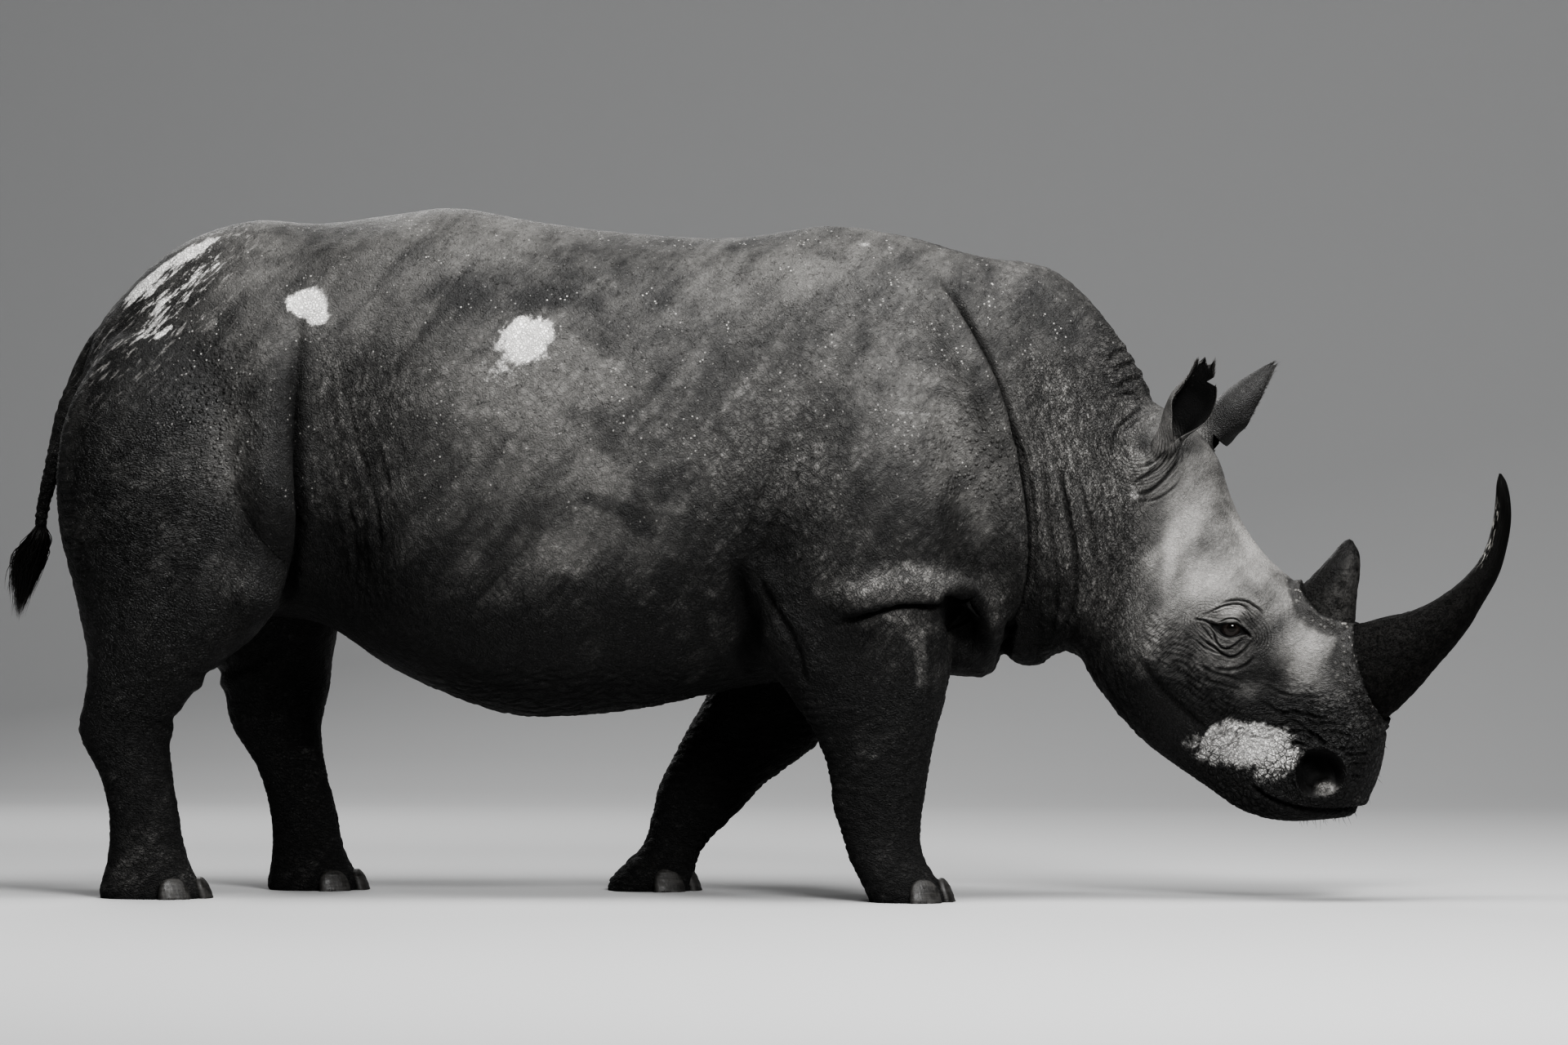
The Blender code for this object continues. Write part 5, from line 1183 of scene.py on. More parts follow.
# White clay: centre (x, z), radii, strength
CLAY = (
    ((-1.201, 1.522), (0.052, 0.038), 1.0), ((-0.625, 1.432), (0.072, 0.062), 1.0), ((-0.69, 1.31), (0.095, 0.12), 0.30),
    ((-0.560, 1.26), (0.05, 0.09), 0.25), ((-0.77, 1.17), (0.05, 0.04), 0.22), ((1.195, 0.410), (0.135, 0.055), 1.1),
    ((1.110, 0.405), (0.080, 0.030), 0.58), ((1.150, 0.365), (0.130, 0.045), 0.66), ((1.295, 0.372), (0.072, 0.046), 0.95), ((1.235, 0.440), (0.07, 0.022), 0.7), ((1.26, 0.33), (0.10, 0.03), 0.42), ((0.97, 1.03), (0.06, 0.03), 0.32),
    ((-1.170, 1.500), (0.030, 0.042), 0.9), ((-1.235, 1.530), (0.030, 0.022), 0.7), ((-0.580, 1.445), (0.035, 0.020), 0.8),
    ((0.94, 1.08), (0.05, 0.07), 0.25), ((-1.05, 1.52), (0.03, 0.02), 0.3), ((-0.90, 1.44), (0.02, 0.06), 0.25),
)
# Long streaks of it: points (x, z), half width, strength
STREAKS = (
    (((-1.730, 1.480), (-1.590, 1.620), (-1.420, 1.725)), 0.050, 0.66),
    (((-1.640, 1.470), (-1.520, 1.575), (-1.400, 1.660)), 0.034, 0.50),
    (((-1.660, 1.400), (-1.570, 1.500), (-1.470, 1.580)), 0.034, 0.42),
    (((-1.600, 1.430), (-1.540, 1.470)), 0.016, 0.62),
    (((-1.030, 1.330), (-0.985, 1.180), (-0.950, 1.020)), 0.007, 0.30),
    (((-0.745, 1.140), (-0.680, 1.152), (-0.610, 1.156), (-0.540, 1.148)), 0.006, 0.22),
    (((0.115, 1.225), (0.285, 1.243), (0.451, 1.230), (0.606, 1.195)), 0.006, 0.26),
    (((0.020, 1.690), (0.230, 1.672), (0.439, 1.612)), 0.010, 0.20),
)


# Broad strokes of dust and of wet hide, and painted highlights along the roll over the elbow and down the foreleg:
# points (x, z), half width, how much more or less dust
SMEARS_AND_PAINTED_LIGHT = (
    (((-0.461, 1.429), (-0.537, 1.315), (-0.632, 1.192)), 0.052, 0.50),
    (((-0.423, 1.382), (-0.394, 1.268)), 0.042, 0.36),
    (((-0.499, 1.126), (-0.442, 1.097), (-0.385, 1.050)), 0.034, 0.55),
    (((-0.489, 1.035), (-0.385, 1.002), (-0.270, 0.917)), 0.020, -0.42),
    (((-0.585, 0.907), (-0.518, 0.879), (-0.451, 0.850)), 0.036, 0.44),
    (((-0.699, 1.524), (-0.556, 1.534), (-0.413, 1.510)), 0.024, -0.26),
    (((-0.775, 1.382), (-0.737, 1.296), (-0.785, 1.221)), 0.034, 0.42),
    (((-0.690, 1.334), (-0.652, 1.268), (-0.680, 1.192)), 0.034, 0.42),
    (((-0.318, 1.012), (-0.261, 1.002), (-0.194, 0.993)), 0.010, 0.30),
    (((-0.556, 1.221), (-0.480, 1.249), (-0.413, 1.221)), 0.024, -0.25),
    (((0.319, 1.353), (0.386, 1.331), (0.453, 1.320), (0.514, 1.276)), 0.022, 0.26),
    (((0.450, 1.268), (0.453, 1.167)), 0.014, 0.50),
    (((0.759, 1.353), (0.742, 1.309), (0.720, 1.265)), 0.020, 0.40),
    (((0.764, 1.209), (0.759, 1.154), (0.748, 1.071)), 0.035, 0.34),
    (((0.881, 1.109), (0.926, 1.104), (0.976, 1.121)), 0.018, 0.45),
    (((0.608, 1.525), (0.709, 1.475), (0.792, 1.448)), 0.050, -0.22),
    (((0.482, 1.047), (0.519, 0.981), (0.512, 0.936)), 0.034, 0.28),
    (((0.200, 1.018), (0.289, 0.981), (0.245, 0.936)), 0.050, -0.16),
    (((0.190, 0.765), (0.304, 0.800), (0.393, 0.818), (0.450, 0.803)), 0.024, 0.55),
    (((0.320, 0.848), (0.425, 0.840)), 0.018, 0.30),
    (((0.371, 0.702), (0.382, 0.626), (0.382, 0.532)), 0.015, 0.70),
    (((0.220, 0.700), (0.304, 0.729), (0.373, 0.726)), 0.012, 0.45),
    (((-1.880, 0.980), (-1.780, 0.960), (-1.640, 0.990), (-1.500, 0.960)), 0.030, 0.22),
)


def markings(rest, no, cavity_shade, wet, close):
    x, y, z = rest[:, 0], np.abs(rest[:, 1]), rest[:, 2]
    flat = np.stack([x, z], 1)
    on = regions(rest)
    left = smooth(rest[:, 1], -0.02, 0.06)  # the far side carries its own marks
    shifted = flat + np.stack([left * (0.11 * np.sin(7 * z) + 0.10), left * 0.07 * np.sin(5 * x + 1)], 1)
    head = on["head"][:, None]
    flat = (flat + np.stack([0.030 * left, -0.015 * left], 1)) * head + shifted * (1 - head)
    # Darker towards the bottom, on the body and on the head: partly wet mud, partly painted shade low on the body and
    # legs.
    dust_and_painted_light = np.interp(z, (0, 0.30, 0.50, 0.62, 0.75, 0.90, 1.10, 1.40, 1.72), (0.06, 0.02, 0.03, 0.06, 0.20, 0.37, 0.47, 0.52, 0.54))
    dust_and_painted_light = dust_and_painted_light * (1 - on["head"]) + on["head"] * (0.22 + 0.16 * smooth(z, 0.45, 0.75))
    for centre, radii, more in DUST_AND_PAINTED_LIGHT:
        dust_and_painted_light += more * np.exp(-(((flat - centre) / radii) ** 2).sum(1))
    for points, width, more in SMEARS_AND_PAINTED_LIGHT:
        near = near_box(flat, points, 2 * width)
        signed, along = near_line(flat[near], points)
        dust_and_painted_light[near] += more * np.exp(-((np.abs(signed) / (1.15 * width)) ** 3)) * ended(along, 0.15, 0.15)
    # Painted shade on the hide that faces down, and a little painted light on the body's upward faces.
    dust_and_painted_light -= 0.14 * smooth(no[:, 2], -0.1, -0.7)
    dust_and_painted_light += 0.03 * smooth(no[:, 2], 0.5, 0.95) * (1 - on["head"])
    clay = np.zeros(len(x))
    side = smooth(y, 0.05, 0.10)
    for centre, radii, strength in CLAY:
        clay = np.maximum(clay, 1.12 * strength * np.exp(-(((flat - centre) / radii) ** 2).sum(1)) * side)
    clay *= 1 - 0.55 * left
    for points, width, strength in STREAKS:
        near = near_box(flat, points, 4 * width)
        signed, along = near_line(flat[near], points)
        clay[near] = np.maximum(clay[near], strength * bell(signed, width) * ended(along, 0.2, 0.2) * side[near])
    wet = np.maximum(wet, 0.85 * bell(x - 0.34, 0.16) * bell(z - 0.815, 0.035) * smooth(y, 0.1, 0.2))
    wet = np.maximum(wet, 0.42 * on["neck"] * smooth(z, 0.60, 0.80))
    wet = np.maximum(wet, 0.55 * smooth(x, -1.20, -1.34) * smooth(z, 1.45, 1.20) * smooth(z, 0.2, 0.6))
    wet = np.maximum(wet, 0.30 * smooth(z, 0.85, 0.60) * smooth(z, 0.0, 0.2))
    wet = np.maximum(wet, 0.35 * on["head"])
    wet = np.maximum(wet, 0.30 * on["elbow"])
    specks = smooth(z, 0.8, 1.2) * (1 - on["head"]) * smooth(x, -1.8, -1.5) * (1 - 0.75 * on["neck"])
    bumps = bell(x - 0.53, 0.14) * bell(z - 1.12, 0.15) * side * (1 - on["head"])
    bumps = np.maximum(bumps, 0.9 * bell(x + 1.42, 0.12) * bell(z - 1.20, 0.20) * side)
    band, points = np.zeros(len(x)), ((-1.780, 1.360), (-1.600, 1.500), (-1.380, 1.680))
    near = near_box(flat, points, 0.25)
    band[near] = bell(near_line(flat[near], points)[0], 0.105)
    calm = (1 - on["head"]) * smooth(z, 0.72, 0.95) * (1 - on["elbow"]) * (1 - on["neck"]) * (1 - 0.8 * on["flank"]) * (1 - 0.6 * on["buttock"])
    return dict(
        calm=calm, dust_and_painted_light=np.clip(dust_and_painted_light, 0, 1), clay=clay, wet=np.clip(wet, 0, 1), cavity_shade=np.clip(cavity_shade, 0, 1), specks=specks, bumps=bumps,
        upright=np.clip(on["neck"] + 0.9 * on["flank"] + 0.35 * on["elbow"], 0, 1),
        level=np.clip(on["legs"] + on["buttock"] + on["nape"] + 0.5 * on["under"], 0, 1),
        plates=np.clip(on["muzzle"] + 0.8 * on["chin"], 0, 1),
        back=on["back"], head=on["head"], cheek=on["cheek"], snout=on["snout"], gristle=close,
        rump=smooth(x, -1.28, -1.45) * smooth(z, 1.12, 1.36) * (0.22 + 0.78 * band),
    )


# ---------------------------------------------------------------- horns, eyes, nails and hair
def head_point(way, over, side=0.0):
    slope = math.radians(HEAD_SLOPE)
    return np.array(
        [
            HEAD_START[0] + way * math.cos(slope) - over * math.sin(slope),
            side,
            HEAD_START[1] + way * math.sin(slope) + over * math.cos(slope),
        ]
    )


def build_horn(name, sections, rings, sides, rough):
    """A horn in the head's middle plane, ridged where it is young and worn smooth towards its tip."""
    keys = np.linspace(0, 1, len(sections))
    rows = [(*hollow, *bowed, half) for hollow, bowed, half in sections]
    a = np.linspace(0, 2 * math.pi, sides, endpoint=False)
    at = np.linspace(0, 1, rings)
    bm = bmesh.new()
    loops, grown = [], []
    for t, (hx, hz, bx, bz, half) in zip(at, through(keys, rows, at)):
        middle, reach = np.array([hx + bx, 0, hz + bz]) / 2, np.array([hx - bx, 0, hz - bz]) / 2
        old = smooth(t, 0.15, 0.75)
        size = 1 - (0.012 * np.abs(np.sin(13 * a + 2.0 * np.sin(9 * t))) + 0.010 * np.abs(np.sin(29 * a + 5 * t))) * (1 - 0.75 * old) * rough
        size = size * (1 + 0.010 * math.sin(34 * t + 0.6) * (1 - old) * rough)
        loops.append(middle + (np.cos(a) * size)[:, None] * reach + (np.sin(a) * size)[:, None] * half * np.array([0, 1.0, 0]))
        grown += [(math.cos(v) * 0.5, math.sin(v) * 0.5, t) for v in a]
    loft(bm, loops)
    obj = from_bmesh(name, bm)
    store(obj.data, "grown", np.array(grown))
    return obj


def roughened(obj, size, depth, keep=0.0, name="wear_and_groove_shade"):
    """Small dents and grains in a piece's surface; keep is where along it they stop."""
    co = coordinates(obj.data)
    grown = np.empty(len(co) * 3, np.float32)
    obj.data.attributes["grown"].data.foreach_get("vector", grown)
    t = grown.reshape(-1, 3)[:, 2]
    found = patterns(obj, {name: ("noise", co / size, {"Detail": 4.0, "Roughness": 0.6})})
    much = depth * (1 - smooth(t, 0.2, 0.7) * (1 - keep))
    set_coordinates(obj.data, co + ((found[name] - 0.5) * 2 * much)[:, None] * normals(obj.data))


def ball(name, radius, bulge=0.0, segments=64, rings=40, forward=None):
    """An eyeball, its cornea standing out a little the way it looks."""
    bm = bmesh.new()
    bmesh.ops.create_uvsphere(bm, u_segments=segments, v_segments=rings, radius=radius)
    turn = Vector((0, 0, 1)).rotation_difference(Vector(forward)).to_matrix().to_4x4()
    for v in bm.verts:
        d = math.acos(max(-1.0, min(1.0, v.co.z / radius)))
        v.co *= 1 + bulge / radius * math.exp(-((d / 0.52) ** 2))
    bmesh.ops.transform(bm, matrix=turn, verts=bm.verts)
    return from_bmesh(name, bm)


def build_eye(name, side):
    across, up, out = quarter_frame(side)
    look = out + 0.10 * across - 0.04 * up
    look /= np.linalg.norm(look)
    obj = ball(name, EYE_RADIUS - 0.0006, 0.0014, forward=look)
    co = coordinates(obj.data)
    d = co / np.linalg.norm(co, axis=1)[:, None]
    store(obj.data, "look", np.stack([d @ across, d @ up, d @ look], 1))
    set_coordinates(obj.data, co + np.array(EYE_AT) * (1, side, 1))
    return obj


FEET = (
    ("forefoot_right", RIGHT_FORE, -1, 0.060),
    ("forefoot_left", LEFT_FORE, 1, 0.060),
    ("hindfoot_right", RIGHT_HIND, -1, 0.054),
    ("hindfoot_left", LEFT_HIND, 1, 0.054),
)
NAILS = (("front", 0.0, 0.052), ("outer", 62.0, 0.044), ("inner", -62.0, 0.044))


def build_nail(name, centre, heading, wide, thick, high):
    """A broad toenail with growth ledges across it and a worn, chipped lower edge."""
    bm = bmesh.new()
    bmesh.ops.create_uvsphere(bm, u_segments=72, v_segments=56, radius=1.0)
    c, s = math.cos(heading), math.sin(heading)
    local = []
    for v in bm.verts:
        x, y, z = v.co
        x, y, z = (float(power(k, 2.4)) for k in (x, y, z))
        ledge = 1 - 0.05 * abs(math.sin(z * 9.0 + 0.6 * math.sin(3 * y) + heading)) - 0.03 * abs(math.sin(z * 23.0 + y))
        ledge -= 0.02 * math.sin(y * 31.0)
        x = x * thick * ledge
        chip = 0.0016 * math.sin(y * 17 + heading * 9) + 0.0012 * math.sin(y * 41 + 2)
        y, z = y * wide, z * high + (chip if z < 0.2 else 0.0)
        x -= z * math.tan(math.radians(16))
        v.co = (centre[0] + x * c - y * s, centre[1] + x * s + y * c, centre[2] + z)
    geometry = bm.verts[:] + bm.edges[:] + bm.faces[:]
    bmesh.ops.bisect_plane(bm, geom=geometry, plane_co=(0, 0, SOLE), plane_no=(0, 0, 1), clear_inner=True)
    bmesh.ops.holes_fill(bm, edges=[e for e in bm.edges if e.is_boundary], sides=0)
    return from_bmesh(name, bm)


def strand(points, radius, sides=3):
    """One hair: (points, faces, way along it), a thin tube that tapers to a point."""
    points = np.asarray(points)
    way = np.gradient(points, axis=0)
    way /= np.linalg.norm(way, axis=1)[:, None] + 1e-9
    a = np.array([0.3, 1.0, 0.2]) if abs(way[0][1]) < 0.8 else np.array([1.0, 0.0, 0.3])
    first = np.cross(way, a)
    first /= np.linalg.norm(first, axis=1)[:, None] + 1e-9
    second = np.cross(way, first)
    n = len(points)
    t = np.linspace(0, 1, n)
    r = radius * (1 - t**1.6) * np.minimum(1, 0.55 + 4 * t)
    verts, ways = [], []
    for i in range(n - 1):
        for k in range(sides):
            b = 2 * math.pi * k / sides
            verts.append(points[i] + r[i] * (math.cos(b) * first[i] + math.sin(b) * second[i]))
            ways.append(t[i])
    verts.append(points[-1])
    ways.append(1.0)
    faces = [tuple(range(sides))[::-1]]
    for i in range(n - 2):
        for k in range(sides):
            j = (k + 1) % sides
            faces.append((i * sides + k, i * sides + j, (i + 1) * sides + j, (i + 1) * sides + k))
    last, top = (n - 2) * sides, (n - 1) * sides
    faces += [(last + k, last + (k + 1) % sides, top) for k in range(sides)]
    return verts, faces, ways


def coat(name, strands, roots):
    """Hairs as one mesh. Its OFBake map gives each one a small patch at the place given for its root."""
    verts, faces, ways, owner = [], [], [], []
    for k, (v, f, w) in enumerate(strands):
        base = len(verts)
        verts += v
        ways += w
        faces += [tuple(base + i for i in face) for face in f]
        owner += [k] * len(f)
    mesh = bpy.data.meshes.new(name)
    mesh.from_pydata([tuple(v) for v in verts], [], faces)
    mesh.update()
    obj = linked(name, mesh)
    store(mesh, "along", np.array(ways))
    store(mesh, "lock", np.array([0.0] * len(verts)))
    counts = [len(s[0]) for s in strands]
    mesh.attributes["lock"].data.foreach_set("value", np.repeat([(k * 0.618034) % 1.0 for k in range(len(strands))], counts).astype(np.float32))
    uv = mesh.uv_layers.new(name="OFBake")
    owners = np.repeat(owner, [len(f) for f in faces])
    loops = np.empty(len(mesh.loops), np.int32)
    mesh.loops.foreach_get("vertex_index", loops)
    place = np.array(roots)[owners]
    # Within its patch a hair lies unrolled: a third of the way round for each of its sides, root to tip.
    round_it = np.concatenate([np.arange(c) % 3 / 2 for c in counts])
    flat = np.stack([0.003 * round_it[loops], 0.003 * np.array(ways)[loops]], 1)
    uv.data.foreach_set("uv", (place + flat).astype(np.float32).ravel())
    mesh.uv_layers.active = uv
    return obj


TUFT = (
    (-1.936, 0.010, 0.945), (-1.940, 0.011, 0.905), (-1.950, 0.012, 0.865), (-1.964, 0.012, 0.805),
    (-1.982, 0.012, 0.755), (-1.997, 0.012, 0.714),
)


def build_tuft(rng):
    """The tail's tuft: coarse hair in a few pointed locks, all round the tail's end."""
    strands, roots = [], []
    count = 1500
    tips = (
        ((-1.996, 0.012, 0.716), 0.30), ((-2.014, 0.014, 0.782), 0.22), ((-1.976, 0.003, 0.752), 0.20),
        ((-1.970, 0.024, 0.770), 0.14), ((-1.956, 0.000, 0.800), 0.14),
    )
    share = np.cumsum([s for _, s in tips])
    for k in range(count):
        u = rng.random()
        tip = np.array(tips[min(int(np.searchsorted(share, u)), len(tips) - 1)][0])
        start = rng.random() ** 0.8
        root_z = 0.952 - 0.075 * start
        root_x = np.interp(root_z, (0.880, 0.930, 1.020), (-1.945, -1.936, -1.922))
        root_y = np.interp(root_z, (0.880, 0.930), (0.012, 0.010))
        a = rng.random() * 2 * math.pi
        r = 0.0135
        root = np.array([root_x + r * math.cos(a), root_y + r * math.sin(a), root_z])
        spread = rng.normal(0, 1, 3) * (0.0065, 0.0060, 0.012)
        end = tip + spread
        end = root + (end - root) * min(1.0, 0.72 + 0.3 * rng.random())
        out = np.array([math.cos(a), math.sin(a), 0]) * (0.012 + 0.016 * rng.random())
        mid = root * 0.5 + end * 0.5 + out + np.array([-0.004, 0, 0.010])
        first = root * 0.80 + end * 0.20 + out * 0.75
        wave = rng.normal(0, 0.0022, 3)
        line = through([0, 0.2, 0.5, 0.78, 1.0], [root, first, mid, mid * 0.45 + end * 0.55 + wave, end], np.linspace(0, 1, 11))
        strands.append(strand(line, 0.0008 + 0.0006 * rng.random()))
        roots.append((a / (2 * math.pi), start))
    # The tail's end unrolled: round it one way, along it the other.
    places = [(0.01 + 0.97 * turn, 0.01 + 0.97 * start) for turn, start in roots]
    return coat("tail_tuft_hair", strands, places)


def build_fringe(side, rng):
    """Short dark hairs along an ear's rim, thickest at the tip, leaning along it and outwards."""
    at, spine, way, out, to_side, radius, half = ear_frames(side, 200)
    strands, places = [], []
    jobs = []
    count = 640
    for k in range(count):
        edge = 1 if k % 2 else -1
        t = 0.42 + 0.575 * rng.random() ** 0.55
        jobs.append((edge, t))
    jobs.sort()
    for n, (edge, t) in enumerate(jobs):
        i = min(int(t * 199), 199)
        h = min(half[i], math.radians(171)) * edge
        radial = -math.cos(h) * out[i] + math.sin(h) * to_side[i]
        along_arc = (math.sin(h) * out[i] + math.cos(h) * to_side[i]) * edge
        root = spine[i] + radial * radius[i] + radial * rng.normal(0, 0.0010)
        a, b, c = (np.array(p) for p in EAR_TEARS[side])
        if inside_triangle(root[[0, 2]], a, b, c):
            continue
        tipness = smooth(t, 0.75, 1.0)
        length = (0.0045 + 0.0055 * rng.random()) * (1 + 1.5 * tipness)
        lean = way[i] * (0.9 + 0.8 * tipness) + along_arc * (0.75 - 0.45 * tipness) + rng.normal(0, 0.16, 3)
        lean /= np.linalg.norm(lean)
        bend = rng.normal(0, 0.10, 3) - 0.10 * radial
        line = [root - 0.001 * along_arc + lean * length * u + bend * length * u * u for u in np.linspace(0, 1, 6)]
        strands.append(strand(line, 0.00055 + 0.00025 * rng.random()))
        # The ear unrolled: round its arc one way, along it the other.
        places.append((0.5 + edge * (0.05 + 0.42 * abs(h) / math.pi) + 0.02 * rng.random(), 0.01 + 0.97 * (t - 0.42) / 0.58))
    return coat("ear_fringe_" + side, strands, places)


def inside_triangle(p, a, b, c):
    def turn(u, v, w):
        return (v[0] - u[0]) * (w[1] - u[1]) - (v[1] - u[1]) * (w[0] - u[0])

    signs = [turn(a, b, p) > 0, turn(b, c, p) > 0, turn(c, a, p) > 0]
    return all(signs) or not any(signs)


def build_whiskers(skin, rng):
    """Sparse stiff whiskers under the chin and lips, and the lashes of both eyes."""
    tree = BVHTree.FromPolygons(*near_polygons(skin, (1.05, -0.3, 0.15), (1.75, 0.3, 0.80)))
    strands, places = [], []
    jobs = []
    for k in range(54):
        x = 1.33 + 0.20 * rng.random()
        y = (rng.random() - 0.5) * 0.20
        jobs.append((x, y))
    for x, y in jobs:
        hit = tree.ray_cast(Vector((x, y, 0.02)), Vector((0, 0, 1)))
        if hit[0] is None:
            continue
        root, normal = np.array(hit[0]), np.array(hit[1])
        length = 0.010 + 0.022 * rng.random() ** 1.5
        lean = normal * 0.8 + np.array([0.25, 0, -0.6]) + rng.normal(0, 0.22, 3)
        lean /= np.linalg.norm(lean)
        bend = rng.normal(0, 0.22, 3)
        line = [root - lean * 0.002 + lean * length * u + bend * length * u * u for u in np.linspace(0, 1, 7)]
        strands.append(strand(line, 0.00055))
        # The chin from below fills the map's left half, and each eye's lid a quarter of it.
        places.append((0.01 + 0.46 * (y + 0.10) / 0.20, 0.01 + 0.97 * (x - 1.33) / 0.20))
    for side in (-1, 1):
        across, up, out = quarter_frame(side)
        centre = np.array(EYE_AT) * (1, side, 1)
        line = curve([((x - EYE_AT[0] + (EYE_AT[1] - 0.18) * math.tan(math.radians(17))) * math.cos(math.radians(17)), z - EYE_AT[2]) for x, z in EYE_OPENING[1:10]], 60)
        for n in range(70):
            u, v = line[int(rng.random() * 59)] + rng.normal(0, 0.0004, 2)
            p = Vector(centre + u * across + (v + 0.0035) * up + 0.08 * out)
            hit = tree.ray_cast(p, Vector(-out))
            if hit[0] is None:
                continue
            root = np.array(hit[0])
            length = 0.009 + 0.006 * rng.random()
            lean = out * 0.9 - up * 0.55 + across * (u / 0.05) * 0.4 + rng.normal(0, 0.10, 3)
            lean /= np.linalg.norm(lean)
            line_ = [root - lean * 0.001 + lean * length * k + up * length * 0.35 * k * k for k in np.linspace(0, 1, 6)]
            strands.append(strand(line_, 0.00035))
            places.append((0.52 + 0.45 * (u + 0.07) / 0.13, 0.25 - 0.2 * side * (v + 0.03) / 0.05 + 0.45 * (side > 0)))
    return coat("whiskers", strands, places)


def near_polygons(obj, low, high):
    co = coordinates(obj.data)
    keep = ((co > low) & (co < high)).all(1)
    index = np.cumsum(keep) - 1
    faces = [[int(index[i]) for i in p.vertices] for p in obj.data.polygons if keep[list(p.vertices)].all()]
    return [Vector(v) for v in co[keep]], faces


# ---------------------------------------------------------------- materials
class Looks:
    """A material's nodes, built by name. A value may be a number or another node's output."""

    def __init__(self, name):
        self.material = bpy.data.materials.new(name)
        self.material.use_nodes = True
        self.tree = self.material.node_tree
        self.tree.nodes.clear()
        self.shader = self.tree.nodes.new("ShaderNodeBsdfPrincipled")
        out = self.tree.nodes.new("ShaderNodeOutputMaterial")
        self.tree.links.new(self.shader.outputs[0], out.inputs["Surface"])

    def put(self, value, socket):
        if isinstance(value, bpy.types.NodeSocket):
            self.tree.links.new(value, socket)
        else:
            socket.default_value = value

    def attribute(self, name, output="Fac"):
        node = self.tree.nodes.new("ShaderNodeAttribute")
        node.attribute_name = name
        return node.outputs[output]

    def math(self, operation, *values, clamp=False):
        node = self.tree.nodes.new("ShaderNodeMath")
        node.operation, node.use_clamp = operation, clamp
        for value, socket in zip(values, node.inputs):
            self.put(value, socket)
        return node.outputs[0]

    def add(self, *values):
        total = values[0]
        for value in values[1:]:
            total = self.math("ADD", total, value)
        return total

    def times(self, *values):
        total = values[0]
        for value in values[1:]:
            total = self.math("MULTIPLY", total, value)
        return total

    def less(self, a, b):
        return self.math("SUBTRACT", a, b)

    def step(self, value, low, high, to_low=0.0, to_high=1.0):
        node = self.tree.nodes.new("ShaderNodeMapRange")
        node.interpolation_type = "SMOOTHSTEP"
        for key, v in (("Value", value), ("From Min", low), ("From Max", high), ("To Min", to_low), ("To Max", to_high)):
            self.put(v, node.inputs[key])
        return node.outputs["Result"]

    def noise(self, where, scale, detail=3.0, rough=0.5, twist=0.0, kind="FBM"):
        node = self.tree.nodes.new("ShaderNodeTexNoise")
        node.noise_type = kind
        for key, v in (("Vector", where), ("Scale", scale), ("Detail", detail), ("Roughness", rough), ("Distortion", twist)):
            self.put(v, node.inputs[key])
        return node.outputs[0]

    def cells(self, where, scale, feature="DISTANCE_TO_EDGE", randomness=1.0):
        node = self.tree.nodes.new("ShaderNodeTexVoronoi")
        node.feature = feature
        self.put(where, node.inputs["Vector"])
        self.put(scale, node.inputs["Scale"])
        self.put(randomness, node.inputs["Randomness"])
        return node.outputs["Distance"]

    def moved(self, where, scale=(1, 1, 1), turn=(0, 0, 0), by=(0, 0, 0)):
        """Turned first (degrees), then scaled and shifted."""
        node = self.tree.nodes.new("ShaderNodeMapping")
        self.put(where, node.inputs["Vector"])
        node.inputs["Rotation"].default_value = [math.radians(t) for t in turn]
        if any(turn):
            again = self.tree.nodes.new("ShaderNodeMapping")
            self.tree.links.new(node.outputs[0], again.inputs["Vector"])
            node = again
        node.inputs["Scale"].default_value = scale
        node.inputs["Location"].default_value = by
        return node.outputs[0]

    def bent(self, where, by, much):
        """The places shifted by a noise, so that a pattern doesn't run straight."""
        noise = self.tree.nodes.new("ShaderNodeTexNoise")
        for key, v in (("Vector", where), ("Scale", by), ("Detail", 1.0)):
            self.put(v, noise.inputs[key])
        shift = self.tree.nodes.new("ShaderNodeVectorMath")
        shift.operation = "MULTIPLY_ADD"
        self.tree.links.new(noise.outputs["Color"], shift.inputs[0])
        shift.inputs[1].default_value = (much, much, much)
        self.tree.links.new(where, shift.inputs[2])
        return shift.outputs[0]

    def mixed(self, factor, a, b, blend="MIX"):
        node = self.tree.nodes.new("ShaderNodeMix")
        node.data_type, node.blend_type = "RGBA", blend
        for key, v in zip((0, 6, 7), (factor, a, b)):
            if key and not isinstance(v, bpy.types.NodeSocket):
                v = (*v, 1.0) if len(v) == 3 else v
            self.put(v, node.inputs[key])
        return node.outputs[2]

    def raised(self, height, strength=1.0, distance=1.0):
        node = self.tree.nodes.new("ShaderNodeBump")
        self.put(height, node.inputs["Height"])
        node.inputs["Strength"].default_value = strength
        node.inputs["Distance"].default_value = distance
        self.tree.links.new(node.outputs[0], self.shader.inputs["Normal"])

    def set(self, **values):
        for key, value in values.items():
            socket = self.shader.inputs[key.replace("_", " ")]
            if key.endswith("Color") and not isinstance(value, bpy.types.NodeSocket):
                value = (*value, 1.0)
            self.put(value, socket)


